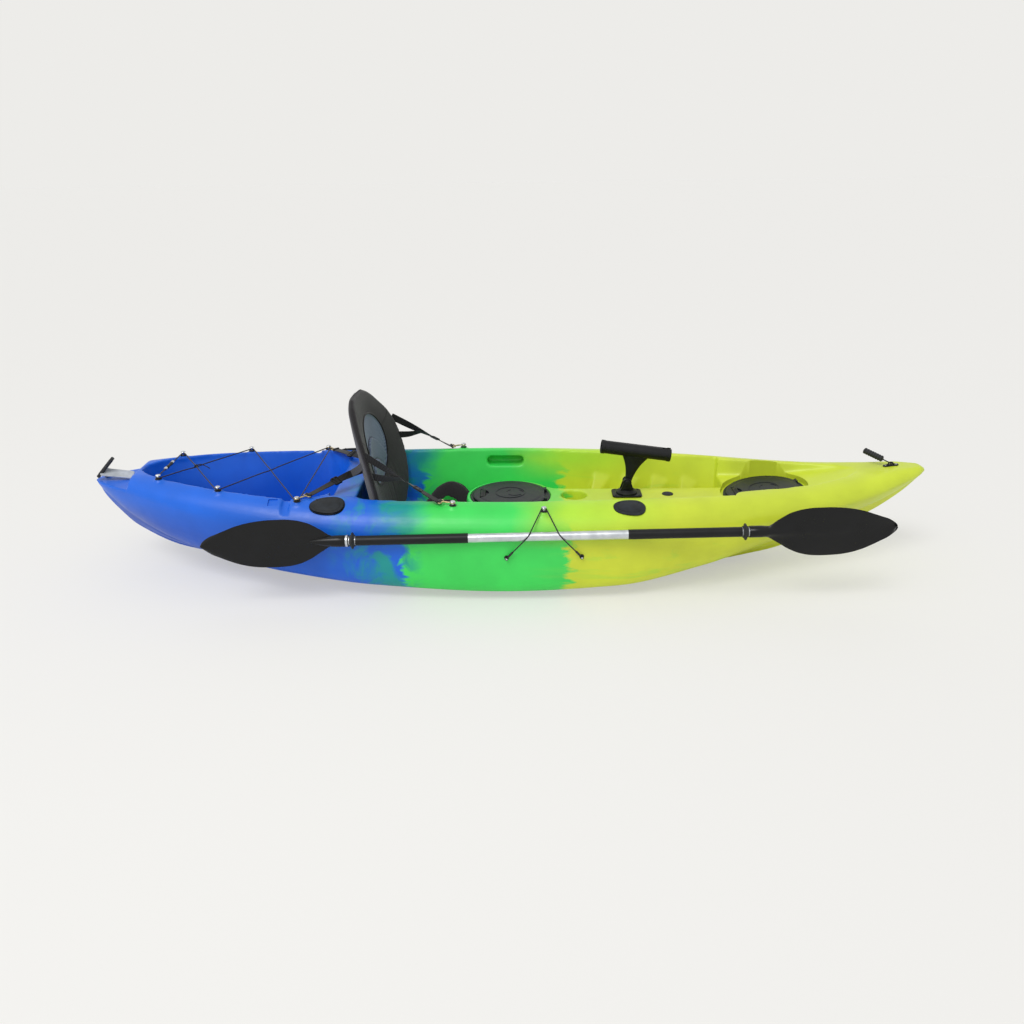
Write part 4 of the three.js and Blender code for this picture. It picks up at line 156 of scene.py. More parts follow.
def curveThrough(points, perSpan=6):
    # Catmull-Rom points through a given route
    route = [Vector(p) for p in points]
    route = [2 * route[0] - route[1]] + route + [2 * route[-1] - route[-2]]
    out = []
    for i in range(1, len(route) - 2):
        a, b, c, d = route[i - 1:i + 3]
        for k in range(perSpan):
            t = k / perSpan
            out.append(0.5 * (2 * b + (c - a) * t + (2 * a - 5 * b + 4 * c - d) * t * t
                              + (3 * b - a - 3 * c + d) * t ** 3))
    return out + [route[-2]]


def tubed(name, points, radius, sides=12):
    # round cord or wire along points, its section carried along without twist
    route = [Vector(p) for p in points]
    rings = []
    across = None
    for i, point in enumerate(route):
        ahead = (route[min(i + 1, len(route) - 1)] - route[max(i - 1, 0)]).normalized()
        if across is None:
            across = ahead.orthogonal().normalized()
        across = (across - ahead * across.dot(ahead)).normalized()
        other = ahead.cross(across)
        size = radius if np.isscalar(radius) else radius[i]
        rings.append([point + size * (across * math.cos(t) + other * math.sin(t))
                      for t in (2 * math.pi * j / sides for j in range(sides))])
    return lofted(name, rings)


def joined(name, pieces):
    # several bodies of one finish as one piece
    bpy.context.view_layer.update()
    shape = bmesh.new()
    for piece in pieces:
        mesh = evaluated(piece)
        mesh.transform(piece.matrix_world)
        shape.from_mesh(mesh)
        bpy.data.meshes.remove(mesh)
    for piece in pieces:
        bpy.data.objects.remove(piece)
    mesh = bpy.data.meshes.new(name)
    shape.to_mesh(mesh)
    shape.free()
    piece = bpy.data.objects.new(name, mesh)
    bpy.context.scene.collection.objects.link(piece)
    return piece


def evaluated(piece):
    graph = bpy.context.evaluated_depsgraph_get()
    return bpy.data.meshes.new_from_object(piece.evaluated_get(graph), depsgraph=graph)


def settle(piece):
    # applies the piece's modifiers
    bpy.context.view_layer.update()
    mesh = evaluated(piece)
    piece.modifiers.clear()
    piece.data = mesh
    return piece


def modified(piece, kind, **settings):
    step = piece.modifiers.new(kind.lower(), kind)
    for key, value in settings.items():
        setattr(step, key, value)
    return piece


def without(piece, *tools):
    # cuts the tools away and deletes them
    for tool in tools:
        modified(piece, "BOOLEAN", operation="DIFFERENCE", solver="MANIFOLD", object=tool)
    settle(piece)
    for tool in tools:
        bpy.data.objects.remove(tool)
    return piece


def softened(piece, width, angle=32, segments=3):
    # rounds the edges that are sharper than angle
    return modified(piece, "BEVEL", width=width, segments=segments, limit_method="ANGLE",
                    angle_limit=math.radians(angle), harden_normals=False)


def smoothShaded(piece, angle=40):
    piece.data.shade_smooth()
    shape = bmesh.new()
    shape.from_mesh(piece.data)
    for edge in shape.edges:
        sharp = len(edge.link_faces) == 2 and edge.calc_face_angle() > math.radians(angle)
        edge.smooth = not sharp
    shape.to_mesh(piece.data)
    shape.free()
    return piece


def finished(piece, material, body, replaces=(), angle=40):
    settle(piece)
    smoothShaded(piece, angle)
    piece.data.materials.clear()
    piece.data.materials.append(material)
    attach(piece, body)
    if replaces:
        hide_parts(*([replaces] if isinstance(replaces, str) else replaces))
    return piece


# Materials
def linear(hexColour):
    # sRGB hex to the linear values that the shader takes
    parts = [int(hexColour[i:i + 2], 16) / 255 for i in (1, 3, 5)]
    return tuple(c / 12.92 if c <= 0.04045 else ((c + 0.055) / 1.055) ** 2.4 for c in parts) + (1,)


def addNode(tree, kind, settings=None, links=None):
    made = tree.nodes.new(kind)
    for key, value in (settings or {}).items():
        if isinstance(key, str) and hasattr(made, key):
            setattr(made, key, value)
        else:
            made.inputs[key].default_value = value
    for key, socket in (links or {}).items():
        tree.links.new(socket, made.inputs[key])
    return made


def newMaterial(name, settings):
    material = bpy.data.materials.new(name)
    material.use_nodes = True
    tree = material.node_tree
    shader = tree.nodes["Principled BSDF"]
    for key, value in settings.items():
        shader.inputs[key].default_value = value
    return material, tree, shader


def rampOf(tree, factor, stops, interpolation="LINEAR"):
    ramp = addNode(tree, "ShaderNodeValToRGB", links={"Fac": factor})
    ramp.color_ramp.interpolation = interpolation
    elements = ramp.color_ramp.elements
    while len(elements) < len(stops):
        elements.new(0.5)
    for element, (place, colour) in zip(elements, stops):
        element.position = place
        element.color = linear(colour) if isinstance(colour, str) else (colour, colour, colour, 1)
    return ramp.outputs["Color"]


def bumped(tree, shader, height, strength, distance):
    bump = addNode(tree, "ShaderNodeBump", {"Strength": strength, "Distance": distance}, {"Height": height})
    tree.links.new(bump.outputs["Normal"], shader.inputs["Normal"])
    return bump


def objectPlace(tree):
    return addNode(tree, "ShaderNodeTexCoord").outputs["Object"]


hullColours = {
    "blue": "#0F66DC", "deepBlue": "#0A49B4", "teal": "#109A92", "green": "#3EDC5C",
    "lime": "#B2E63C", "yellow": "#CFE03A", "bottomYellow": "#D3DE38",
    "blueEnd": -0.36, "greenEnd": 0.17, "bottomBlueEnd": -0.33, "bottomGreenEnd": 0.2, "mottleStart": -0.6,
    "mottleScale": 7.0,
    "swirlScale": 2.6, "edgeWander": 0.16, "grainSize": 0.0016, "roughness": 0.36,
}


def mouldedPolyethylene():
    # Rotationally moulded polyethylene: three powders melt into each other in the turning mould, so
    # the colours meet in ragged swirls, and the skin has a soft sheen over a very fine grain
    sizes = hullColours
    material, tree, shader = newMaterial("mouldedPolyethylene", {
        "Roughness": sizes["roughness"], "IOR": 1.5, "Specular IOR Level": 0.45})
    place = objectPlace(tree)
    split = addNode(tree, "ShaderNodeSeparateXYZ", links={"Vector": place})
    wide = addNode(tree, "ShaderNodeMapping", {"Scale": (0.7, 1.5, 1.5)}, {"Vector": place})
    swirl = addNode(tree, "ShaderNodeTexNoise", {
        "Scale": sizes["swirlScale"], "Detail": 5.0, "Roughness": 0.56, "Distortion": 1.4},
        {"Vector": wide.outputs["Vector"]})
    ragged = addNode(tree, "ShaderNodeTexNoise", {
        "Scale": 3 * sizes["swirlScale"], "Detail": 6.0, "Roughness": 0.6, "Distortion": 2.2},
        {"Vector": wide.outputs["Vector"]})

    def wandering(amount, noise):
        centred = addNode(tree, "ShaderNodeMath", {"operation": "SUBTRACT", 1: 0.5},
                          {0: noise.outputs["Fac"]})
        moved = addNode(tree, "ShaderNodeMath", {"operation": "MULTIPLY_ADD", 1: amount},
                        {0: centred.outputs[0], 2: split.outputs["X"]})
        return moved.outputs[0]

    def spread(value, low, high):
        made = addNode(tree, "ShaderNodeMapRange", {"From Min": low, "From Max": high}, {"Value": value})
        return made.outputs["Result"]

    deckX = wandering(sizes["edgeWander"], swirl)
    deck = rampOf(tree, spread(deckX, -1.5, 1.5), [
        (0.0, sizes["blue"]), (0.5 + (sizes["blueEnd"] - 0.1) / 3, sizes["blue"]),
        (0.5 + (sizes["blueEnd"] + 0.03) / 3, sizes["teal"]),
        (0.5 + (sizes["blueEnd"] + 0.11) / 3, sizes["green"]),
        (0.5 + (sizes["greenEnd"] - 0.16) / 3, sizes["green"]),
        (0.5 + (sizes["greenEnd"] + 0.04) / 3, sizes["lime"]),
        (0.5 + (sizes["greenEnd"] + 0.4) / 3, sizes["yellow"]), (1.0, sizes["yellow"])])
    raggedX = wandering(1.1 * sizes["edgeWander"], ragged)
    bottom = rampOf(tree, spread(raggedX, -1.5, 1.5), [
        (0.0, sizes["deepBlue"]), (0.5 + (sizes["bottomBlueEnd"] - 0.02) / 3, sizes["blue"]),
        (0.5 + sizes["bottomBlueEnd"] / 3, sizes["green"]),
        (0.5 + (sizes["bottomGreenEnd"] - 0.01) / 3, sizes["green"]),
        (0.5 + (sizes["bottomGreenEnd"] + 0.01) / 3, sizes["bottomYellow"]), (1.0, sizes["bottomYellow"])])
    # green streaks run into the yellow along the bottom
    streakPlace = addNode(tree, "ShaderNodeMapping", {"Scale": (0.5, 2.4, 2.4)}, {"Vector": place})
    streak = addNode(tree, "ShaderNodeTexNoise", {
        "Scale": 3.2, "Detail": 5.0, "Roughness": 0.62, "Distortion": 2.0},
        {"Vector": streakPlace.outputs["Vector"]})
    streaky = rampOf(tree, streak.outputs["Fac"], [(0.0, 0.0), (0.58, 0.0), (0.7, 0.4), (1.0, 0.5)])
    isFore = spread(split.outputs["X"], 0.05, 0.3)
    amount = addNode(tree, "ShaderNodeMath", {"operation": "MULTIPLY"}, {0: streaky, 1: isFore})
    streaked = addNode(tree, "ShaderNodeMix", {"data_type": "RGBA", 7: linear("#8FDB4A")},
                       {0: amount.outputs[0], 6: bottom})
    # the sides and the bottom have the ragged edge, the deck the soft one
    isDeck = spread(split.outputs["Z"], 0.2, 0.29)
    colour = addNode(tree, "ShaderNodeMix", {"data_type": "RGBA"},
                     {0: isDeck, 6: streaked.outputs[2], 7: deck})
    # green powder spat into the last of the blue
    mottle = addNode(tree, "ShaderNodeTexNoise", {
        "Scale": sizes["mottleScale"], "Detail": 6.0, "Roughness": 0.62, "Distortion": 1.6},
        {"Vector": place})
    patches = rampOf(tree, mottle.outputs["Fac"], [(0.0, 0.0), (0.46, 0.0), (0.6, 0.95), (1.0, 1.0)])
    isNear = spread(split.outputs["X"], sizes["mottleStart"], sizes["bottomBlueEnd"] - 0.08)
    ended = spread(split.outputs["X"], sizes["bottomBlueEnd"] + 0.06, sizes["bottomBlueEnd"])
    patchy = addNode(tree, "ShaderNodeMath", {"operation": "MULTIPLY"}, {0: patches, 1: isNear})
    patchy = addNode(tree, "ShaderNodeMath", {"operation": "MULTIPLY"}, {0: patchy.outputs[0], 1: ended})
    colour = addNode(tree, "ShaderNodeMix", {"data_type": "RGBA", 7: linear(sizes["teal"])},
                     {0: patchy.outputs[0], 6: colour.outputs[2]})
    cloud = addNode(tree, "ShaderNodeTexNoise", {"Scale": 9.0, "Detail": 4.0, "Roughness": 0.5},
                    {"Vector": place})
    light = rampOf(tree, cloud.outputs["Fac"], [(0.3, 0.93), (0.7, 1.06)])
    shaded = addNode(tree, "ShaderNodeMix", {"data_type": "RGBA", "blend_type": "MULTIPLY", 0: 1.0},
                     {6: colour.outputs[2], 7: light})
    tree.links.new(shaded.outputs[2], shader.inputs["Base Color"])
    grain = addNode(tree, "ShaderNodeTexNoise", {
        "Scale": 1 / sizes["grainSize"], "Detail": 2.0, "Roughness": 0.5}, {"Vector": place})
    waviness = addNode(tree, "ShaderNodeTexNoise", {"Scale": 14.0, "Detail": 2.0}, {"Vector": place})
    height = addNode(tree, "ShaderNodeMath", {"operation": "MULTIPLY_ADD", 1: 6.0},
                     {0: waviness.outputs["Fac"], 2: grain.outputs["Fac"]})
    bumped(tree, shader, height.outputs[0], 0.12, 0.0004)
    scuff = addNode(tree, "ShaderNodeTexNoise", {"Scale": 22.0, "Detail": 6.0, "Roughness": 0.7},
                    {"Vector": place})
    rough = rampOf(tree, scuff.outputs["Fac"],
                   [(0.3, sizes["roughness"] - 0.04), (0.75, sizes["roughness"] + 0.1)])
    tree.links.new(rough, shader.inputs["Roughness"])
    return material


def grained(name, settings):
    # moulded, sprayed or cast skins: one colour that varies a little, a grain and an uneven sheen
    material, tree, shader = newMaterial(name, {
        "Metallic": settings.get("metallic", 0.0), "IOR": settings.get("ior", 1.5),
        "Specular IOR Level": settings.get("specular", 0.5)})
    place = objectPlace(tree)
    cloud = addNode(tree, "ShaderNodeTexNoise", {"Scale": settings.get("cloudScale", 40.0), "Detail": 4.0},
                    {"Vector": place})
    colour = rampOf(tree, cloud.outputs["Fac"], [(0.3, settings["dark"]), (0.72, settings["light"])])
    tree.links.new(colour, shader.inputs["Base Color"])
    rough = settings["roughness"]
    sheen = rampOf(tree, cloud.outputs["Fac"], [(0.3, rough - 0.05), (0.7, rough + 0.06)])
    tree.links.new(sheen, shader.inputs["Roughness"])
    stretch = addNode(tree, "ShaderNodeMapping", {"Scale": settings.get("stretch", (1, 1, 1))},
                      {"Vector": place})
    grain = addNode(tree, "ShaderNodeTexNoise", {"Scale": 1 / settings["grain"], "Detail": 2.0},
                    {"Vector": stretch.outputs["Vector"]})
    bumped(tree, shader, grain.outputs["Fac"], settings.get("bump", 0.25), settings.get("depth", 0.0002))
    return material


plastics = {
    # moulded polypropylene, the blue-grey of the lids, with a spark-eroded grain
    "grainedPolypropylene": {"specular": 0.3, "dark": "#12161A", "light": "#20262C", "roughness": 0.42,
                             "grain": 0.0012, "bump": 0.3},
    # glass-filled nylon fittings: near black with a dull sheen
    "mouldedNylon": {"specular": 0.3, "dark": "#0C0D0F", "light": "#16181B", "roughness": 0.46,
                     "grain": 0.001},
    # cap and cover plastic, a little lighter than the lids
    "coverPolypropylene": {"specular": 0.3, "dark": "#14181C", "light": "#242A31", "roughness": 0.44,
                           "grain": 0.0012, "bump": 0.3},
    # pale grey moulded grip plate
    "paleNylon": {"dark": "#A9AFB5", "light": "#C6CBD0", "roughness": 0.5, "grain": 0.0015},
    # blades: carbon-black nylon, glossier where it cooled against the mould
    "bladeNylon": {"specular": 0.3, "dark": "#060708", "light": "#0D0E10", "roughness": 0.3, "grain": 0.002,
                   "cloudScale": 18.0},
    # soft rubber of plugs, drip rings and handles, dull and slightly dusty
    "softRubber": {"dark": "#1C1D1F", "light": "#2A2C2F", "roughness": 0.72, "grain": 0.0008},
    # heat-shrunk sleeve on the paddle tube
    "shrinkSleeve": {"specular": 0.3, "dark": "#08090A", "light": "#121316", "roughness": 0.42,
                     "grain": 0.0009,
                     "stretch": (0.3, 1, 1)},
    # polished stainless steel of the deck buttons
    "polishedSteel": {"dark": "#B9BEC4", "light": "#DDE1E5", "roughness": 0.18, "grain": 0.003, "bump": 0.05,
                      "metallic": 1.0},
    # cast and tumbled brass, nickel-washed, of the snap hooks
    "tumbledBrass": {"dark": "#A8946A", "light": "#C9BC96", "roughness": 0.32, "grain": 0.0015, "bump": 0.12,
                     "metallic": 1.0},
    # drawn aluminium tube, satin, with fine marks along it
    "drawnAluminium": {"dark": "#C3C8CE", "light": "#DCE0E4", "roughness": 0.33, "grain": 0.0012,
                       "bump": 0.12,
                       "metallic": 1.0, "stretch": (0.04, 1, 1)},
}
materials = {name: grained(name, settings) for name, settings in plastics.items()}
materials["mouldedPolyethylene"] = mouldedPolyethylene()


def wovenCloth(name, settings):
    # cloth: threads over and under each other, drawn coarse enough to show, with fuzz at grazing angles; the
    # colour darkens with the weave's height, painted shade in its dips and holes
    material, tree, shader = newMaterial(name, {
        "Roughness": settings["roughness"], "IOR": 1.45, "Sheen Weight": settings.get("sheen", 0.25),
        "Sheen Roughness": 0.5, "Specular IOR Level": 0.25})
    place = objectPlace(tree)
    turned = addNode(tree, "ShaderNodeMapping", {"Rotation": settings.get("turn", (0.5, 0.35, 0.785))},
                     {"Vector": place})
    if settings["weave"] == "mesh":
        cells = addNode(tree, "ShaderNodeTexVoronoi", {"Scale": 1 / settings["pitch"], "Randomness": 0.25},
                        {"Vector": turned.outputs["Vector"]})
        height = rampOf(tree, cells.outputs["Distance"], [(0.12, 0.0), (0.42, 1.0)])
    else:
        waves = [addNode(tree, "ShaderNodeTexWave", {
            "bands_direction": direction, "Scale": 1 / settings["pitch"] / 6.3, "Distortion": 0.6,
            "Detail Scale": 2.0}, {"Vector": turned.outputs["Vector"]}) for direction in ("X", "Y")]
        crossed = addNode(tree, "ShaderNodeMath", {"operation": "MULTIPLY"},
                          {0: waves[0].outputs["Fac"], 1: waves[1].outputs["Fac"]})
        height = rampOf(tree, crossed.outputs[0], [(0.0, 0.0), (0.8, 1.0)])
    # painted shade: the dips of the weave and the holes of the mesh take the dark colour, the raised threads
    # the light one
    colour = rampOf(tree, height, [(0.0, settings["dark"]), (1.0, settings["light"])])
    cloud = addNode(tree, "ShaderNodeTexNoise", {"Scale": 12.0, "Detail": 3.0}, {"Vector": place})
    fade = rampOf(tree, cloud.outputs["Fac"], [(0.3, 0.85), (0.75, 1.1)])
    worn = addNode(tree, "ShaderNodeMix", {"data_type": "RGBA", "blend_type": "MULTIPLY", 0: 1.0},
                   {6: colour, 7: fade})
    tree.links.new(worn.outputs[2], shader.inputs["Base Color"])
    bumped(tree, shader, height, settings.get("bump", 0.5), settings["pitch"] / 4)
    return material


# in each cloth, dark is the painted-shade colour of the weave's dips and holes, light that of its raised
# threads
cloths = {
    # knitted air mesh of the seat, charcoal with holes a few millimetres apart
    "airMesh": {"weave": "mesh", "pitch": 0.0042, "dark": "#0B0A0B", "light": "#262326", "roughness": 0.9},
    # smooth laminated panel cloth, blue-grey, fine plain weave
    "panelCloth": {"weave": "plain", "pitch": 0.0022, "dark": "#56647B", "light": "#8796B0",
                   "roughness": 0.62},
    # black bias tape round the edges
    "bindingTape": {"weave": "plain", "pitch": 0.0016, "dark": "#0D0D0E", "light": "#1F1F21",
                    "roughness": 0.8},
    # polypropylene webbing, flat ribs across a black strap
    "flatWebbing": {"weave": "plain", "pitch": 0.002, "dark": "#0E0E10", "light": "#232326",
                    "roughness": 0.75},
    # braided cover of the elastic cord
    "braidedCover": {"weave": "plain", "pitch": 0.0014, "dark": "#0F1011", "light": "#2B2D30",
                     "roughness": 0.7,
                     "bump": 0.6},
}
materials.update({name: wovenCloth(name, settings) for name, settings in cloths.items()})
print("materials:", len(materials))


# Hull form: the same tables as the CAD source, read as smooth curves at many more stations.
# Places are shares of the half length, widths of the half beam, heights of the depth.
hullSizes = {
    "halfLength": 1.475, "halfBeam": 0.39, "depth": 0.34, "wall": 0.0055, "tipSolid": 0.034,
    "shoulder": 0.112, "scupperOffset": 0.155, "keelStrip": 0.044, "outerGroove": 0.292,
    "grooveWidth": 0.056, "grooveDepth": 0.019, "planksRise": 0.3, "slim": 0.0018,
    "places": [-1, -0.985, -0.955, -0.91, -0.8, -0.66, -0.5, -0.3, 0, 0.25, 0.45, 0.62, 0.75, 0.87,
               0.95, 0.985, 1],
    "beam": [0.05, 0.11, 0.2, 0.305, 0.52, 0.715, 0.86, 0.95, 1, 0.965, 0.83, 0.66, 0.5, 0.315,
             0.17, 0.09, 0.04],
    "chineWidth": [0.4, 0.42, 0.46, 0.5, 0.62, 0.75, 0.85, 0.88, 0.885, 0.875, 0.77, 0.5, 0.38, 0.3,
                   0.3, 0.35, 0.4],
    "keelRise": [0.91, 0.77, 0.6, 0.41, 0.2, 0.12, 0.055, 0, 0, 0, 0.02, 0.09, 0.27, 0.48, 0.72, 0.87, 0.94],
    "chineRise": [0.935, 0.86, 0.75, 0.6, 0.41, 0.3, 0.225, 0.14, 0.085, 0.12, 0.23, 0.345, 0.47, 0.62,
                  0.8, 0.91, 0.955],
    "beamRise": [0.94, 0.935, 0.93, 0.92, 0.87, 0.765, 0.69, 0.66, 0.645, 0.645, 0.66, 0.7, 0.755, 0.83,
                 0.91, 0.945, 0.96],
    "topRise": [0.955, 0.985, 1.02, 1.055, 1.065, 1.04, 1.0, 0.97, 0.962, 0.947, 0.935, 0.93, 0.945, 0.985,
                1.02, 1.02, 0.99],
    "fullness": [0.3, 0.35, 0.4, 0.5, 0.7, 0.8, 0.85, 0.85, 0.85, 0.85, 0.8, 0.65, 0.5, 0.35, 0.3, 0.3, 0.3],
    "grooveFade": [0, 0, 0, 0.1, 0.75, 1, 1, 1, 1, 1, 1, 0.7, 0, 0, 0, 0, 0],
}
halfLength, halfBeam, hullDepth = (hullSizes[key] for key in ("halfLength", "halfBeam", "depth"))
# Trays cut into the deck: place, top width, floor width and floor height, then the foot edge's radius
trays = {
    "tankWell": ([-0.888, -0.852, -0.8, -0.66, -0.53, -0.468, -0.44, -0.415, -0.401, -0.392],
                 [0.06, 0.19, 0.32, 0.515, 0.635, 0.672, 0.63, 0.575, 0.5, 0.42],
                 [0.05, 0.12, 0.19, 0.36, 0.525, 0.53, 0.51, 0.47, 0.43, 0.38],
                 [1.12, 0.53, 0.46, 0.39, 0.36, 0.352, 0.5, 0.78, 0.94, 1.12], 0.026),
    "cockpit": ([-0.352, -0.342, -0.318, -0.26, -0.174, 0, 0.2, 0.355, 0.5, 0.521, 0.531],
                [0.55, 0.6, 0.655, 0.685, 0.7, 0.722, 0.666, 0.608, 0.552, 0.545, 0.54],
                [0.5, 0.53, 0.56, 0.585, 0.6, 0.61, 0.577, 0.49, 0.385, 0.37, 0.36],
                [1.12, 0.62, 0.353, 0.353, 0.353, 0.31, 0.295, 0.295, 0.295, 0.32, 0.8], 0.026),
    "foredeck": ([0.5, 0.56, 0.65, 0.72, 0.8, 0.878], [0.49, 0.44, 0.365, 0.3, 0.165, 0.012],
                 [0.44, 0.39, 0.32, 0.26, 0.14, 0.006], [0.735, 0.75, 0.79, 0.84, 0.92, 1.01], 0.012),
}
deckSizes = {
    "shelfAft": -0.405, "shelfFore": -0.33, "shelfHalfWidth": 0.228, "shelfDrop": 0.022,
    "ridgeTop": 0.243, "ridgeHalf": 0.063, "ridgeDraft": 0.009, "ridgeFlare": 0.07, "ridgeFlareHalf": 0.118,
    "ridgeEnd": 0.8, "bossTop": 0.157, "bossFoot": 0.168, "sternFlat": 0.32, "sternFlatLength": 0.156,
    "sternSlope": 0.014, "cupX": 0.237, "cupTop": 0.052, "cupFoot": 0.04, "cupDepth": 0.068,
    "gripX": -0.013, "gripLength": 0.14, "gripHeight": 0.038, "gripMid": 0.282, "gripDepth": 0.046,
    "notchX": -0.731, "notchWidth": 0.028, "notchDepth": 0.012, "squareX": -0.775, "square": (0.032, 0.029),
    "squareDepth": 0.006, "gunwaleRecess": 0.056, "footrestFirst": 0.289, "footrestPitch": 0.11,
    "footrestRake": 0.04, "footrestHeight": 0.148, "footrestIn": 0.77,
    "sounderAft": 0.316, "sounderShoulder": 0.392, "sounderFore": 0.705, "sounderHalf": 0.073,
    "sounderRise": 0.04, "sounderLedge": 0.012, "sounderPlateTop": 0.0187, "sounderRadius": 0.022,
    "padRadius": 0.015, "padTopRadius": 0.0125, "padHeight": 0.004,
}
hatchSizes = {
    "centerX": 0.009, "bowX": 0.917, "bowTilt": 6.6, "bowHeight": 0.247, "seatDrop": 0.007,
    "pocketRadius": 0.1462, "bowPocketRadius": 0.153, "holeRadius": 0.1193, "rimRadius": 0.143,
}


def monotone(places, values, place):
    # smooth curve through a table that never overshoots it
    places, values = np.asarray(places, float), np.asarray(values, float)
    runs = np.diff(places)
    rises = np.diff(values) / runs
    slopes = np.zeros(len(values))
    for i in range(1, len(values) - 1):
        before, after = rises[i - 1], rises[i]
        slopes[i] = 2 * before * after / (before + after) if before * after > 0 else 0
    place = min(max(place, places[0]), places[-1])
    i = min(max(int(np.searchsorted(places, place)) - 1, 0), len(places) - 2)
    t = (place - places[i]) / runs[i]
    rise, start, end = values[i + 1] - values[i], slopes[i] * runs[i], slopes[i + 1] * runs[i]
    return values[i] + t * (start + t * ((3 * rise - 2 * start - end) + t * (start + end - 2 * rise)))


def share(key, x):
    return monotone(hullSizes["places"], hullSizes[key], x / halfLength)


def bezier(points, steps):
    (x0, y0), (x1, y1), (x2, y2) = points
    out = []
    for i in range(steps + 1):
        t = i / steps
        a, b, c = (1 - t) ** 2, 2 * t * (1 - t), t * t
        out.append((a * x0 + b * x1 + c * x2, a * y0 + b * y1 + c * y2))
    return out


def sectionAt(x, inset=0.0):
    beamY = max(halfBeam * share("beam", x) - inset, inset / 2)
    return {
        "beamY": beamY, "chineY": beamY * share("chineWidth", x),
        "keelZ": hullDepth * share("keelRise", x) + inset,
        "chineZ": hullDepth * share("chineRise", x) + inset,
        "beamZ": hullDepth * share("beamRise", x), "topZ": hullDepth * share("topRise", x) - inset,
        "shoulder": min(hullSizes["shoulder"], beamY * 0.55)}


def halfOutline(x, inset, sideSteps, shoulderSteps):
    s = sectionAt(x, inset)
    if not inset:
        s["beamY"] -= min(hullSizes["slim"], s["beamY"] / 8)  # a true curve stands proud of the CAD's facets
    chineY, chineZ, keelZ = s["chineY"], s["chineZ"], s["keelZ"]
    depth = hullSizes["grooveDepth"] * share("grooveFade", x)
    strip = min(hullSizes["keelStrip"] / 2, chineY / 8)
    inner = min(hullSizes["scupperOffset"], chineY / 2)
    outer = min(hullSizes["outerGroove"], chineY * 0.85)
    half = min(hullSizes["grooveWidth"] / 2, chineY * 0.085)
    flatY = inner - half
    flatZ = keelZ + (chineZ - keelZ) * hullSizes["planksRise"] * (flatY / chineY)

    def heightAt(y):
        return flatZ + (chineZ - flatZ) * (y - flatY) / (chineY - flatY)

    points = [(0, keelZ), (strip, keelZ)]
    for middle in (inner, outer):
        points += [(middle - half, heightAt(middle - half)), (middle, heightAt(middle) + depth),
                   (middle + half, heightAt(middle + half))]
    fullness = share("fullness", x)
    bulge = ((chineY + s["beamY"]) / 2 + (s["beamY"] - chineY) / 2 * fullness,
             (chineZ + s["beamZ"]) / 2 - (s["beamZ"] - chineZ) / 2 * fullness)
    points += bezier([(chineY, chineZ), bulge, (s["beamY"], s["beamZ"])], sideSteps)
    for i in range(1, shoulderSteps + 1):
        turn = math.pi / 2 * i / shoulderSteps
        points.append((s["beamY"] - s["shoulder"] * (1 - math.cos(turn)),
                       s["beamZ"] + (s["topZ"] - s["beamZ"]) * math.sin(turn)))
    return points, s["topZ"]


def hullForm(name, inset, stations, reach, sideSteps, shoulderSteps):
    rings = []
    for i in range(stations + 1):
        x = -reach * math.cos(math.pi * i / stations)
        half, topZ = halfOutline(x, inset, sideSteps, shoulderSteps)
        rings.append([(x, y, z) for y, z in half] + [(x, 0, topZ)] + [(x, -y, z) for y, z in half[:0:-1]])
    return lofted(name, rings)


def deckHeight(x, y):
    s = sectionAt(x)
    out = (abs(y) - s["beamY"] + s["shoulder"]) / s["shoulder"]
    if out <= 0:
        return s["topZ"]
    return s["beamZ"] + (s["topZ"] - s["beamZ"]) * math.sqrt(max(0, 1 - out * out))


def deckFrame(x, y):
    step = 0.001
    alongX = (deckHeight(x + step, y) - deckHeight(x - step, y)) / (2 * step)
    alongY = (deckHeight(x, y + step) - deckHeight(x, y - step)) / (2 * step)
    return axisFrame((x, y, deckHeight(x, y)), (-alongX, -alongY, 1))


def gunwaleFrame(x, inboard, side):
    return deckFrame(x, side * (sectionAt(x)["beamY"] - inboard))


def trayCut(key, grow, rings):
    places, tops, floors, rises, radius = trays[key]
    out = []
    for place in sorted(set(np.linspace(places[0], places[-1], rings)) | set(places)):
        x = place * halfLength - (grow if place == places[0] else 0) + (grow if place == places[-1] else 0)
        top, floor = (halfBeam * monotone(places, table, place) + grow for table in (tops, floors))
        foot = hullDepth * monotone(places, rises, place) - grow
        lean = Vector((top - floor, max(hullDepth - foot, radius))).normalized()
        reach = min(radius, floor / 2)
        half = bezier([(floor - reach, foot), (floor, foot),
                       (floor + lean.x * reach, foot + lean.y * reach)], 4)
        half += [(top, max(hullDepth, foot + 2 * reach)), (top, hullDepth + 0.06 + foot)]
        out.append([(x, y, z) for y, z in half] + [(x, -y, z) for y, z in reversed(half)])
    return lofted(key, out)


def floorHeight(x):
    key = "tankWell" if x / halfLength < deckSizes["shelfAft"] else "cockpit"
    return hullDepth * monotone(trays[key][0], trays[key][3], x / halfLength)


def wallOffset(x, height):
    places, tops, floors, rises, radius = trays["cockpit"]
    top, floor, foot = (monotone(places, table, x / halfLength) for table in (tops, floors, rises))
    share = (height - foot * hullDepth) / (hullDepth * (1 - foot))
    return halfBeam * (floor + (top - floor) * share)


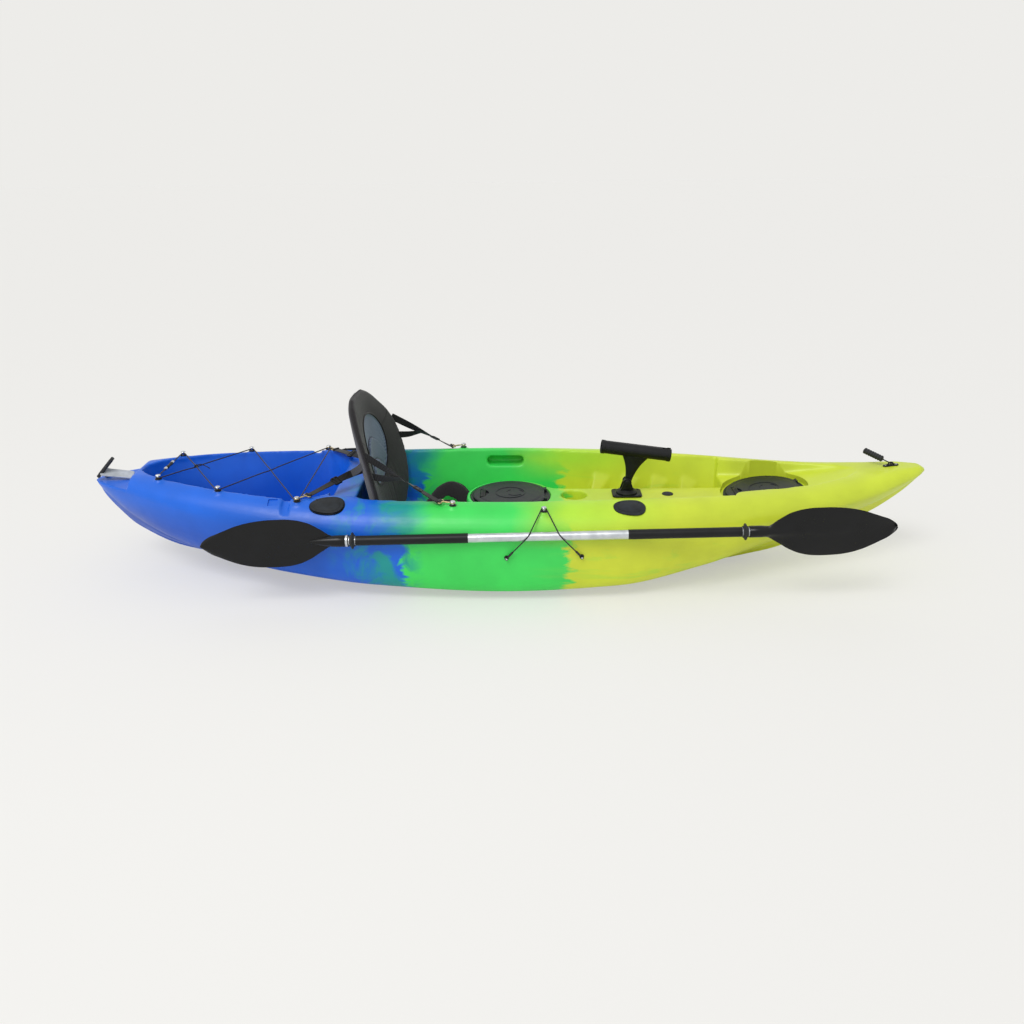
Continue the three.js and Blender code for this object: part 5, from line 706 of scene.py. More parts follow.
def cockpitCut(grow, rings, sides):
    sizes = deckSizes
    well = trayCut("cockpit", grow, rings)
    top = sizes["ridgeTop"] - grow
    start = hatchSizes["centerX"] + sizes["bossTop"] / 2
    middle = hatchSizes["centerX"] + sizes["bossTop"]
    ridgeRings = []
    for x, half in ((start, sizes["ridgeFlareHalf"]), (middle, sizes["ridgeHalf"] + sizes["ridgeDraft"]),
                    (middle + sizes["ridgeFlare"], sizes["ridgeHalf"]),
                    (sizes["ridgeEnd"], sizes["ridgeHalf"])):
        half -= grow
        foot = half + sizes["ridgeDraft"]
        ridgeRings.append([(x, foot, 0), (x, half, top), (x, -half, top), (x, -foot, 0)])
    boss = lathed("boss", [(0, 0), (sizes["bossFoot"] - grow, 0), (sizes["bossTop"] - grow, top), (0, top)],
                  sides, Matrix.Translation((hatchSizes["centerX"], 0, 0)))
    return without(well, lofted("ridge", ridgeRings), boss)


def postCut(name, foot, top, low, high, sides, place=None):
    return lathed(name, [(0, low), (foot, low), (top, high), (0, high)], sides, place)


def centerHatchFrame():
    return axisFrame((hatchSizes["centerX"], 0, deckSizes["ridgeTop"] - hatchSizes["seatDrop"]), (0, 0, 1))


def bowHatchFrame():
    tilt = math.radians(hatchSizes["bowTilt"])
    return axisFrame((hatchSizes["bowX"], 0, hatchSizes["bowHeight"]), (-math.sin(tilt), 0, math.cos(tilt)))


def coverOutline(length, width, margin, steps=12):
    # egg shape with the blunt end forward
    narrow, wide, half = width * 0.33 + margin, width / 2 + margin, length / 2 + margin
    spans = [((-half, 0), (-half, narrow), (-half / 2, wide), (half / 4, wide)),
             ((half / 4, wide), (half * 0.8, wide), (half, wide / 2), (half, 0)),
             ((half, 0), (half, -wide / 2), (half * 0.8, -wide), (half / 4, -wide)),
             ((half / 4, -wide), (-half / 2, -wide), (-half, -narrow), (-half, 0))]
    points = []
    for a, b, c, d in spans:
        for i in range(steps):
            t = i / steps
            weights = ((1 - t) ** 3, 3 * t * (1 - t) ** 2, 3 * t * t * (1 - t), t ** 3)
            points.append(tuple(sum(w * p[axis] for w, p in zip(weights, (a, b, c, d))) for axis in (0, 1)))
    return points


coverSizes = {
    "aft": {"x": -0.59, "inboard": 0.062, "length": 0.117, "width": 0.079},
    "fore": {"x": 0.273 * 1.475, "inboard": 0.068, "length": 0.105, "width": 0.072},
    "setback": 0.005, "thickness": 0.004, "margin": 0.0015, "gap": 0.0003,
}


def coverFrame(key, side):
    sizes = coverSizes[key]
    return gunwaleFrame(sizes["x"], sizes["inboard"], side)


def coverCut(key, side, grow):
    sizes = coverSizes[key]
    outline = coverOutline(sizes["length"], sizes["width"], coverSizes["margin"] + grow)
    return prism("cover", outline, -coverSizes["setback"] - grow, 0.06, coverFrame(key, side))


def sounderOutline(margin):
    sizes = deckSizes
    wide, radius = sizes["sounderHalf"] + margin, sizes["sounderRadius"]
    points = [(sizes["sounderAft"] - margin, 0), (sizes["sounderShoulder"], -wide)]
    for centreY, start in ((-wide + radius, -math.pi / 2), (wide - radius, 0)):
        points += [(sizes["sounderFore"] - radius + (radius + margin / 2)
                    * math.cos(start + k * math.pi / 12),
                    centreY + (radius + margin / 2) * math.sin(start + k * math.pi / 12)) for k in range(7)]
    return points + [(sizes["sounderShoulder"], wide)]


def scupperFrame(x, side):
    rise = (floorHeight(x + 0.001) - floorHeight(x - 0.001)) / 0.002
    return axisFrame((x, side * hullSizes["scupperOffset"], floorHeight(x)), (-rise, 0, 1))


def socketTilt(side):
    upright = coverFrame("aft", side).to_3x3().inverted().to_4x4()
    return upright @ Matrix.Rotation(math.radians(-30), 4, "Y") @ Matrix.Rotation(math.radians(-4 * side),
                                                                                  4, "X")


scupperPlaces = [("aft", -0.502 * halfLength), ("middle", -0.243 * halfLength), ("fore", 0.243 * halfLength)]
buttonPlaces = {"lacing_button_aft": (-0.814, 0.064), "lacing_button_middle": (-0.658, 0.064),
                "lacing_button_fore": (-0.469, 0.064), "seat_button": (-0.1186, 0.075)}


def buttonFrame(place, inboard, side):
    x = place * halfLength
    y = side * (sectionAt(x)["beamY"] - inboard)
    return Matrix.Translation((x, y, deckHeight(x, y) + deckSizes["padHeight"]))


buttonFrames = {f"{name}_{sideNames[side]}": buttonFrame(place, inboard, side)
                for name, (place, inboard) in buttonPlaces.items() for side in (port, starboard)}
buttonFrames["paddle_button"] = buttonFrame(0.122 / halfLength, 0.052, starboard)


def hollows(grow, rings, sides, fine):
    # everything that the mould pushes into the outer form; the fine ones are cut after the rounding
    sizes = deckSizes
    shelfZ = sectionAt(halfLength * (sizes["shelfAft"]
                                     + sizes["shelfFore"]) / 2)["topZ"] - sizes["shelfDrop"] - grow
    wide, high = sizes["shelfHalfWidth"] + grow, hullDepth + 0.06
    flat, slopeX = sizes["sternFlat"] - grow, -halfLength + sizes["sternFlatLength"] + grow
    step = [(-2 * halfLength, flat), (slopeX, flat), (slopeX + sizes["sternSlope"], 0.41),
            (-2 * halfLength, 0.41)]
    cuts = [
        trayCut("tankWell", grow, rings), cockpitCut(grow, rings, sides), trayCut("foredeck", grow, rings),
        boxed("shelf", (sizes["shelfAft"] * halfLength - grow, -wide, shelfZ),
              (sizes["shelfFore"] * halfLength + grow, wide, high)),
        lofted("sternStep", [[(x, y, z) for x, z in step] for y in (-halfBeam, halfBeam)]),
        postCut("cup", sizes["cupFoot"] + grow, sizes["cupTop"] + grow, -grow, 0.128, sides,
                Matrix.Translation((sizes["cupX"], 0, sizes["ridgeTop"] - sizes["cupDepth"]))),
    ]
    for side in (port, starboard):
        inner = wallOffset(sizes["gripX"], sizes["gripMid"]) - sizes["gripHeight"]
        outer = inner + sizes["gripHeight"] + sizes["gripDepth"] + grow
        slot = roundedOutline(sizes["gripLength"] + 2 * grow, sizes["gripHeight"] + 2 * grow,
                              sizes["gripHeight"] / 2 + grow - 1e-4)
        turn = Matrix.Translation((sizes["gripX"], 0,
                                   sizes["gripMid"])) @ Matrix.Rotation(-side * math.pi / 2, 4, "X")
        cuts.append(prism("grip", slot, inner, outer, turn))
        notch = gunwaleFrame(sizes["notchX"], sizes["gunwaleRecess"], side)
        half = sizes["notchWidth"] / 2 + grow
        cuts.append(boxed("notch", (-half, -sizes["gunwaleRecess"], -sizes["notchDepth"] - grow),
                          (half, 0.06, 0.06),
                          notch))
    if fine:
        cuts += fineHollows(grow, sides)
    return cuts


def fineHollows(grow, sides):
    sizes = deckSizes
    cuts = [
        postCut("centerPocket", *(2 * [hatchSizes["pocketRadius"] + grow]), -grow, 0.17, sides,
                centerHatchFrame()),
        postCut("bowPocket", *(2 * [hatchSizes["bowPocketRadius"] + grow]), -grow, 0.17, sides,
                bowHatchFrame()),
        prism("sounderMouth", sounderOutline(grow), -0.06, sizes["sounderPlateTop"] + 0.0003 + grow),
        prism("sounderDeep", sounderOutline(grow - sizes["sounderLedge"]), -0.06,
              sizes["sounderRise"] + grow),
    ]
    for side in (port, starboard):
        frameHere = gunwaleFrame(sizes["squareX"], sizes["gunwaleRecess"], side)
        outline = roundedOutline(sizes["square"][0] + 2 * grow, sizes["square"][1] + 2 * grow, 0.004 + grow)
        cuts.append(prism("square", outline, -sizes["squareDepth"] - grow, 0.06, frameHere))
        cuts += [coverCut("aft", side, grow), coverCut("fore", side, grow)]
    return cuts


def footrest(index, side):
    sizes = deckSizes
    x = sizes["footrestFirst"] + index * sizes["footrestPitch"]
    foreX, bite = x + sizes["footrestPitch"], 0.006
    foot = floorHeight(x) - 0.003
    top = foot + sizes["footrestHeight"]
    upX = x + sizes["footrestRake"]
    corners = [(x, sizes["footrestIn"] * wallOffset(x, foot), foot), (x, wallOffset(x, foot) + bite, foot),
               (foreX, wallOffset(foreX, foot) + bite, foot), (upX, wallOffset(upX, top), top),
               (upX, wallOffset(upX, top) + bite, top), (foreX, wallOffset(foreX, top) + bite, top)]
    shape = bmesh.new()
    for cx, cy, cz in corners:
        shape.verts.new((cx, side * cy, cz))
    bmesh.ops.convex_hull(shape, input=shape.verts)
    mesh = bpy.data.meshes.new("footrest")
    shape.to_mesh(mesh)
    shape.free()
    step = bpy.data.objects.new("footrest", mesh)
    bpy.context.scene.collection.objects.link(step)
    return outward(step)


# Lines sunk into the tank well's floor: a long U through the after scuppers and three short arcs
engraving = {"radius": 0.0034, "sink": 0.0005, "noseX": -1.0, "openX": -0.66, "half": 0.118,
             "arcs": [(-1.055, 0.05), (-1.09, 0.044), (-1.122, 0.036)]}


def engravedLines():
    sizes = engraving
    lines = []
    span = sizes["openX"] - sizes["noseX"]
    route = []
    for i in range(41):
        t = math.pi * i / 40 - math.pi / 2
        x = sizes["noseX"] + span * (1 - math.cos(t) ** 0.7 if math.cos(t) > 0 else 1)
        route.append((x, sizes["half"] * math.sin(t)))
    lines.append(route)
    for x, half in sizes["arcs"]:
        lines.append([(x + 0.018 * (y / half) ** 2, y) for y in np.linspace(-half, half, 13)])
    return [tubed(f"line{i}", [(x, y, floorHeight(x) + sizes["sink"]) for x, y in route], sizes["radius"], 8)
            for i, route in enumerate(lines)]


def makeHull():
    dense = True
    voxel = 0.0045 if dense else 0.008
    body = hullForm("hullSkin", 0, 150, halfLength, 8, 10)
    without(body, *hollows(0, 70, 96, False))
    for piece in [footrest(i, side) for i in range(4) for side in (port, starboard)]:
        modified(body, "BOOLEAN", operation="UNION", solver="MANIFOLD", object=piece)
    for place in buttonFrames.values():
        pad = postCut("pad", deckSizes["padRadius"], deckSizes["padTopRadius"], -0.015, 0, 24, place)
        modified(body, "BOOLEAN", operation="UNION", solver="MANIFOLD", object=pad)
    helpers = [step.object for step in body.modifiers]
    settle(body)
    for piece in helpers:
        bpy.data.objects.remove(piece)
    # the turning mould leaves no sharp edge anywhere
    modified(body, "REMESH", mode="VOXEL", voxel_size=voxel)
    settle(body)
    modified(body, "SMOOTH", factor=0.5, iterations=7 if dense else 3)
    settle(body)
    without(body, *fineHollows(0, 96), *engravedLines())
    cavity = hullForm("cavity", hullSizes["wall"], 24, halfLength - hullSizes["tipSolid"], 3, 4)
    without(cavity, *hollows(hullSizes["wall"], 24, 48, True))
    tubes = []
    for name, x in scupperPlaces:
        for side in (port, starboard):
            tubes.append(postCut("tube", 0.0175, 0.0175, -0.2, 0.1, 24, scupperFrame(x, side)))
    without(cavity, *tubes)
    holes = [cavity]
    for place in (centerHatchFrame(), bowHatchFrame()):
        holes.append(postCut("hole", *(2 * [hatchSizes["holeRadius"]]), -0.04, 0.04, 96, place))
    holes.append(postCut("vent", 0.0093, 0.0093, -0.014, 0.014, 32, Matrix.Translation((0.573, 0, 0.243))))
    holes.append(postCut("ventSeat", 0.0206, 0.0206, -0.001, 0.014, 64,
                         Matrix.Translation((0.573, 0, 0.243))))
    for side in (port, starboard):
        seat = coverFrame("aft", side) @ Matrix.Translation((0, 0, -0.0047)) @ socketTilt(side)
        holes.append(postCut("socket", 0.0245, 0.0245, -0.06, 0.06, 40, seat))
        for name, x in scupperPlaces:
            holes.append(postCut("scupper", 0.0128, 0.0128, -0.34, 0.34, 32, scupperFrame(x, side)))
    without(body, *holes)
    return finished(body, materials["mouldedPolyethylene"], "hull", "hull", 50)


hullSkin = makeHull()
print("hull:", len(hullSkin.data.polygons), "faces")


# Hatches: a seat ring, a lifting lid with a raised ring, its latch over a half-round dish
hatch = {
    "rimThickness": 0.006, "collarDepth": 0.02, "rimWall": 0.005, "bore": 0.113, "lid": 0.134,
    "lidThickness": 0.007, "crown": 0.004, "gap": 0.0003, "dishX": -0.1088, "dishHalf": 0.047,
    "dishReach": 0.0624,
    "dishFloor": 0.004, "latchLow": (-0.1075, -0.035, 0.0043), "latchHigh": (-0.0895, 0.035, 0.0103),
    "hingeX": 0.12658, "hingeZ": 0.005, "flatX": 0.1213, "hingeY": 0.046, "barrel": 0.004,
    "barrelHalf": 0.0077,
    "earAcross": 0.0103, "earHalf": 0.002, "ringRadius": 0.052, "ringWidth": 0.0022, "ringRise": 0.0011,
}


def hatchLid(name, place):
    sizes = hatch
    radius, top = sizes["lid"], sizes["lidThickness"]
    crown = sizes["crown"]
    profile = [(0, 0.001), (0.106, 0.001), (0.1065, -0.008), (0.1108, -0.008), (0.1115, 0.0005),
               (radius - 0.003, 0.0005),
               (radius - 0.0006, 0.0018), (radius, 0.0034), (radius - 0.0006, 0.0055), (radius - 0.003, top),
               (radius - 0.013, top + 0.0012), (radius - 0.0165, top + 0.0006),
               (radius - 0.019, top + 0.0006),
               (radius - 0.0215, top + 0.0019)]
    for i in range(1, 11):
        share = i / 10
        r = (radius - 0.0215) * (1 - share)
        profile.append((r, top + 0.0019 + (crown - 0.0019) * (1 - (1 - share) ** 2)))
    body = lathed(name, profile, 128, place)
    bow = bezier([(sizes["dishX"], -sizes["dishHalf"]), (sizes["dishX"] + sizes["dishReach"], 0),
                  (sizes["dishX"], sizes["dishHalf"])], 28)
    dish = prism("dish", bow, sizes["dishFloor"] - 0.0004, top + 0.02, place)
    straight = boxed("straight", (sizes["flatX"], -0.1, -0.02), (0.2, 0.1, 0.03), place)
    without(body, dish, straight)
    ring = lathed("ring",
        [(sizes["ringRadius"] - sizes["ringWidth"], top), (sizes["ringRadius"] + sizes["ringWidth"], top),
         (sizes["ringRadius"] + sizes["ringWidth"] * 0.6, top + crown + sizes["ringRise"]),
         (sizes["ringRadius"] - sizes["ringWidth"] * 0.6, top + crown + sizes["ringRise"]),
         (sizes["ringRadius"] - sizes["ringWidth"], top)], 96, place)
    arcs = []
    for start, end in ((0.25, 1.05), (2.1, 2.9), (3.9, 5.5)):
        route = [place @ Vector((0.016 + 0.03 * math.cos(t), 0.03 * math.sin(t), top + crown + 0.0002))
                 for t in np.linspace(start, end, 17)]
        arcs.append(tubed("arc", route, 0.0013, 10))
    hinges = []
    for side in (port, starboard):
        y = side * sizes["hingeY"]
        half = sizes["barrelHalf"]
        tongue = boxed("tongue", (sizes["flatX"] - 0.006, y - half, 0.0012),
                       (sizes["hingeX"], y + half, 0.0086), place)
        hinges.append(softened(tongue, 0.0012))
        barrelPlace = place @ Matrix.Translation((sizes["hingeX"], y,
                                                  sizes["hingeZ"])) @ Matrix.Rotation(math.pi / 2, 4, "X")
        r = sizes["barrel"]
        hinges.append(lathed("barrel",
                             [(0, -half), (r - 0.0005, -half), (r, -half + 0.0006), (r, half - 0.0006),
                              (r - 0.0005, half), (0, half)], 24, barrelPlace))
    return joined(name, [softened(body, 0.0008, 40, 2), ring] + arcs + hinges)


def hatchRim(name, place):
    sizes = hatch
    radius, thickness = hatchSizes["rimRadius"], sizes["rimThickness"]
    profile = [(sizes["bore"], -sizes["collarDepth"]),
               (sizes["bore"] + sizes["rimWall"], -sizes["collarDepth"]),
               (sizes["bore"] + sizes["rimWall"], 0.0002), (radius - 0.0004, 0.0002), (radius, 0.001),
               (radius, 0.0045),
               (radius - 0.0015, thickness), (radius - 0.006, thickness),
               (radius - 0.0072, thickness - 0.0012),
               (sizes["bore"] + 0.004, thickness - 0.0012), (sizes["bore"] + 0.003, thickness),
               (sizes["bore"] + 0.0008, thickness), (sizes["bore"], thickness - 0.0008),
               (sizes["bore"], -sizes["collarDepth"])]
    body = lathed(name, profile, 128, place)
    screws = []
    out = sizes["bore"] + 0.012
    for k in range(8):
        turn = 2 * math.pi * (k + 0.5) / 8
        at = place @ Matrix.Translation((out * math.cos(turn), out * math.sin(turn), thickness - 0.0014))
        screws.append(lathed("screw",
            [(0, -0.001), (0.0035, -0.001), (0.0035, 0.0002), (0.0024, 0.001), (0, 0.0012)], 20, at))
    ears = []
    for side in (port, starboard):
        for way in (-1, 1):
            y = side * sizes["hingeY"] + way * sizes["earAcross"]
            ear = boxed("ear", (sizes["hingeX"] - sizes["barrel"], y - sizes["earHalf"], thickness - 0.002),
                        (sizes["hingeX"] + sizes["barrel"], y + sizes["earHalf"], 0.0153), place)
            ears.append(softened(ear, 0.0012))
    return joined(name, [body] + screws + ears)


def hatchLatch(name, place):
    sizes = hatch
    bar = softened(boxed(name, sizes["latchLow"], sizes["latchHigh"], place), 0.0022, 32, 4)
    ribs = []
    for y in np.linspace(-0.024, 0.024, 7):
        rib = boxed("rib", (-0.1005, y - 0.0012, 0.0098), (-0.0925, y + 0.0012, 0.0107), place)
        ribs.append(softened(rib, 0.0004, 32, 2))
    return joined(name, [bar] + ribs)


for name, frameOf in (("center", centerHatchFrame), ("bow", bowHatchFrame)):
    place = frameOf() @ Matrix.Translation((0, 0, hatch["gap"]))
    lidPlace = place @ Matrix.Translation((0, 0, hatch["rimThickness"] + hatch["gap"]))
    finished(hatchRim(f"{name}Rim", place), materials["grainedPolypropylene"], "hull",
             f"{name}_hatch_rim")
    finished(hatchLid(f"{name}Lid", lidPlace), materials["grainedPolypropylene"], f"{name}_lid",
             f"{name}_hatch_lid")
    finished(hatchLatch(f"{name}Latch", lidPlace), materials["mouldedNylon"], f"{name}_latch",
             f"{name}_hatch_latch")
print("hatches done")


# Egg-shaped covers on the gunwales; the aft ones turn on the rod sockets
def screwHead(place, radius=0.0035):
    head = lathed("screw",
        [(0, -0.001), (radius, -0.001), (radius, 0.0004), (radius * 0.7, 0.0012), (0, 0.0014)], 20, place)
    slots = [boxed("slot", (-radius * 0.6, -0.0004, 0.0007), (radius * 0.6, 0.0004, 0.003),
                   place @ Matrix.Rotation(turn, 4, "Z")) for turn in (0.4, 0.4 + math.pi / 2)]
    return without(head, *slots)


def eggCover(name, key, side, low, high, margin, screws):
    sizes = coverSizes[key]
    place = coverFrame(key, side)
    plate = prism(name, coverOutline(sizes["length"], sizes["width"], margin), low, high, place)
    softened(plate, 0.0012, 40, 3)
    parts = [plate]
    inner = prism("panel", coverOutline(sizes["length"] - 0.026, sizes["width"] - 0.024, 0), high - 0.001,
                  high + 0.0009, place)
    parts.append(softened(inner, 0.0008, 40, 2))
    if screws:
        half, wide = sizes["length"] / 2, sizes["width"] / 2
        for x, y in ((-half * 0.62, wide * 0.6), (-half * 0.62, -wide * 0.6), (half * 0.62, wide * 0.7),
                     (half * 0.62, -wide * 0.7)):
            parts.append(screwHead(place @ Matrix.Translation((x, y, high))))
    return joined(name, parts)


for side in (port, starboard):
    sizes, sideName = coverSizes, sideNames[side]
    base = sizes["gap"] - sizes["setback"]
    finished(eggCover(f"foreCover{sideName}", "fore", side, base, base + 0.0045, 0, True),
             materials["coverPolypropylene"],
             "hull", f"deck_cover_{sideName}")
    capLow = base + sizes["thickness"] + sizes["gap"]
    cap = eggCover(f"socketCap{sideName}", "aft", side, capLow, capLow + 0.0042, -0.003, True)
    finished(cap, materials["coverPolypropylene"], f"cap_{sideName}",
             f"rod_socket_cap_{sideName}")
    seat = coverFrame("aft", side)
    flange = prism(f"rodSocket{sideName}", coverOutline(0.117, 0.079, 0), base, base + sizes["thickness"],
                   seat)
    tilted = seat @ Matrix.Translation((0, 0, base)) @ socketTilt(side)
    tube = lathed("tube", [(0, -0.215), (0.0215, -0.215), (0.023, -0.213), (0.023, 0.03), (0, 0.03)], 48,
                  tilted)
    modified(flange, "BOOLEAN", operation="UNION", solver="MANIFOLD", object=tube)
    settle(flange)
    bpy.data.objects.remove(tube)
    above = boxed("above", (-0.3, -0.3, base + sizes["thickness"]), (0.3, 0.3, 0.4), seat)
    without(flange, above, postCut("bore", 0.02, 0.02, -0.212, 0.2, 48, tilted))
    softened(flange, 0.0009, 45, 2)
    finished(flange, materials["mouldedNylon"], "hull", f"rod_socket_{sideName}")
print("covers done")


# Swivelling rod holder on the ridge, and the vent plug before it
rodHolder = {"x": 0.426, "deck": 0.243, "pivot": 0.292, "plate": (0.105, 0.078, 0.007), "bore": 0.0205,
             "outer": 0.0245,
             "length": 0.247, "slope": 7.8, "midX": 0.027, "midRise": 0.115}


def buildRodHolder():
    sizes = rodHolder
    at = Matrix.Translation((sizes["x"], 0, sizes["deck"] + 0.0003))
    length, width, thickness = sizes["plate"]
    plate = softened(prism("rodPlate", roundedOutline(length, width, 0.014), 0, thickness, at), 0.0018)
    screws = [screwHead(at @ Matrix.Translation((sx * 0.042, sy * 0.029, thickness)), 0.0042)
              for sx in (-1, 1) for sy in (-1, 1)]
    finished(joined("rodPlate", [plate] + screws), materials["mouldedNylon"], "hull",
             "rod_holder_plate")
    profile = [(0, thickness + 0.0003), (0.0372, thickness + 0.0003), (0.038, 0.0085), (0.0375, 0.0125),
               (0.034, 0.0155),
               (0.0285, 0.0185), (0.026, 0.021), (0, 0.0212)]
    turret = lathed("rodTurret", profile, 72, at)
    notches = []
    for k in range(12):
        turn = 2 * math.pi * k / 12
        notches.append(lathed("notch", [(0, -0.02), (0.0026, -0.02), (0.0026, 0.03), (0, 0.03)], 12,
                              at @ Matrix.Translation((0.0396 * math.cos(turn), 0.0396 * math.sin(turn),
                                                       0.005))))
    without(turret, *notches)
    rise = sizes["pivot"] - sizes["deck"] - 0.0003
    ears = []
    for side in (port, starboard):
        outline = [(-0.025, 0.015), (0.025, 0.015), (0.0145, rise - 0.002)]
        outline += [(0.015 * math.cos(t), rise + 0.015 * math.sin(t)) for t in np.linspace(0.1,
            math.pi - 0.1, 17)]
        outline += [(-0.0145, rise - 0.002)]
        ear = prism("ear", outline, -0.0035, 0.0035,
                    at @ Matrix.Translation((0, side * 0.014, 0)) @ Matrix.Rotation(math.pi / 2, 4, "X"))
        ears.append(softened(ear, 0.0012))
    finished(joined("rodTurret", [softened(turret, 0.0009, 40, 2)] + ears), materials["mouldedNylon"],
             "rod_turret",
             "rod_holder_turret")
    across = Matrix.Translation((sizes["x"], 0, sizes["pivot"])) @ Matrix.Rotation(math.pi / 2, 4, "X")
    bolt = lathed("rodBolt",
                  [(0, -0.0225), (0.0085, -0.0225), (0.0098, -0.0212), (0.0098, -0.0182), (0.005, -0.0178),
                   (0.005, 0.0178), (0.0098, 0.0182), (0.0098, 0.0212), (0.0085, 0.0225), (0, 0.0225)], 48,
                   across)
    lobes = [lathed("lobe", [(0, 0.019), (0.003, 0.019), (0.003, 0.03), (0, 0.03)], 16,
                    across @ Matrix.Translation((0.0116 * math.cos(t), 0.0116 * math.sin(t), 0)))
             for t in np.linspace(0, 2 * math.pi, 8, endpoint=False)]
    without(bolt, *lobes)
    finished(softened(bolt, 0.0006, 40, 2), materials["mouldedNylon"], "rod_turret",
             "rod_holder_bolt")
    # the tube lies nearly level; its fore end is cut as a fork, a flared post joins it to the pivot
    axis = Matrix.Translation((sizes["x"] + sizes["midX"], 0, sizes["pivot"] + sizes["midRise"])) \
        @ Matrix.Rotation(math.radians(90 + sizes["slope"]), 4, "Y")
    half = sizes["length"] / 2
    outer = sizes["outer"]
    tube = lathed("rodTube",
                  [(0, -half), (outer - 0.001, -half), (outer, -half + 0.001), (outer, -half + 0.012),
                   (outer - 0.0014, -half + 0.0135), (outer - 0.0014, half - 0.0135), (outer, half - 0.012),
                   (outer, half - 0.001), (outer - 0.001, half), (0, half)], 80, axis)
    low, high = (sizes["pivot"] + sizes["midRise"] - 0.018), sizes["pivot"]
    rings = []
    for t in np.linspace(0, 1, 15):
        z = high - 0.013 * (1 - t) + (low - high + 0.004) * t
        flare = t ** 2.2
        halfX = 0.0118 + 0.037 * flare
        halfY = 0.0098 - 0.0012 * math.sin(math.pi * min(1, 2 * t)) + 0.006 * flare
        centreX = sizes["x"] + sizes["midX"] * t
        rings.append([(centreX + halfX * math.cos(a) * abs(math.cos(a)) **
                       -0.25 if abs(math.cos(a)) > 1e-6 else centreX,
                       halfY * math.sin(a) * abs(math.sin(a)) ** -0.25 if abs(math.sin(a)) > 1e-6 else 0,
                       z - 0.135 * (centreX - sizes["x"] + halfX * math.cos(a)) * t)
                      for a in (2 * math.pi * k / 48 for k in range(48))])
    stem = lofted("stem", rings)
    knuckle = lathed("knuckle",
        [(0, -0.0096), (0.0125, -0.0096), (0.013, -0.009), (0.013, 0.009), (0.0125, 0.0096), (0, 0.0096)],
                     48, across)
    for piece in (stem, knuckle):
        modified(tube, "BOOLEAN", operation="UNION", solver="MANIFOLD", object=piece)
    settle(tube)
    for piece in (stem, knuckle):
        bpy.data.objects.remove(piece)
    bore = lathed("bore", [(0, -0.2), (sizes["bore"], -0.2), (sizes["bore"], 0.2), (0, 0.2)], 64, axis)
    fork = prism("fork", roundedOutline(0.07, 0.016, 0.0079), 0, 0.08,
                 axis @ Matrix.Translation((0, 0, half)) @ Matrix.Rotation(-math.pi / 2, 4, "Y"))
    hole = lathed("pin", [(0, -0.04), (0.0053, -0.04), (0.0053, 0.04), (0, 0.04)], 32, across)
    dots = [lathed("dot", [(0, 0), (0.0032, 0), (0.0032, 0.03), (0, 0.03)], 20,
                   axis @ Matrix.Translation((0, 0, z)) @ Matrix.Rotation(-math.pi / 2, 4, "Y")
                   @ Matrix.Translation((0, 0, outer - 0.0024))) for z in (-0.03, 0.0, 0.03)]
    without(tube, bore, fork, hole, *dots)
    finished(softened(tube, 0.0008, 40, 2), materials["mouldedNylon"], "rod_tube",
             "rod_holder_tube")
    ventPlace = Matrix.Translation((0.573, 0, sizes["deck"] - 0.0007))
    vent = lathed("ventPlug",
                  [(0, -0.014), (0.0086, -0.014), (0.009, -0.013), (0.009, 0), (0.0195, 0), (0.02, 0.0008),
                   (0.0192, 0.0028), (0.0155, 0.0036), (0.014, 0.0026), (0.0125, 0.0026), (0.0112, 0.0046),
                   (0.006, 0.005), (0, 0.005)], 64, ventPlace)
    finished(vent, materials["softRubber"], "hull", "vent_plug")


buildRodHolder()
print("rod holder done")


# Rubber scupper plugs: a cup with a finger ring moulded across it
def scupperPlug(name, place):
    profile = [(0, -0.022), (0.0112, -0.0222), (0.0108, -0.046), (0.009, -0.0455), (0.0085, -0.024),
               (0, -0.023)]
    profile = [(0, -0.046), (0.0098, -0.046), (0.0118, -0.044), (0.0122, -0.01), (0.0122, 0.0006),
               (0.0205, 0.0006),
               (0.021, 0.0014), (0.0205, 0.0038), (0.0185, 0.0054), (0.0105, 0.0054), (0.0085, 0.0042),
               (0.008, -0.016),
               (0, -0.017)]
    body = lathed(name, profile, 48, place)
    bar = softened(boxed("bar", (-0.0082, -0.0018, -0.003), (0.0082, 0.0018, 0.0044), place), 0.0007)
    return joined(name, [body, bar])


for placeName, x in scupperPlaces:
    for side in (port, starboard):
        plug = scupperPlug(f"scupperPlug{placeName}{sideNames[side]}", scupperFrame(x, side))
        finished(plug, materials["softRubber"], "hull",
                 f"scupper_plug_{placeName}_{sideNames[side]}")

# Slotted plate under the sounder recess
sounder = {"setback": 0.0075, "thickness": 0.004, "slots": 10, "pitch": 0.021, "slot": (0.034, 0.008),
           "offset": 0.026}


def sounderPlate():
    sizes = sounder
    top = deckSizes["sounderPlateTop"]
    plate = prism("sounderPlate", sounderOutline(-0.0013), top - sizes["thickness"], top)
    slots = []
    middle = (deckSizes["sounderShoulder"] + deckSizes["sounderFore"]) / 2
    for side in (port, starboard):
        for k in range(sizes["slots"]):
            x = middle + (k - (sizes["slots"] - 1) / 2) * sizes["pitch"]
            outline = roundedOutline(sizes["slot"][1], sizes["slot"][0], 0.0038)
            slots.append(prism("slot", outline, -0.05, 0.05,
                               Matrix.Translation((x, side * sizes["offset"], 0))))
    without(plate, *slots)
    softened(plate, 0.0008, 40, 2)
    flip = Matrix.Rotation(math.pi, 4, "X")
    screws = [screwHead(Matrix.Translation((x, y, top - sizes["thickness"])) @ flip, 0.004)
              for x, y in ((0.405, 0.058), (0.405, -0.058), (0.692, 0.058), (0.692, -0.058), (0.333, 0))]
    return joined("sounderPlate", [plate] + screws)


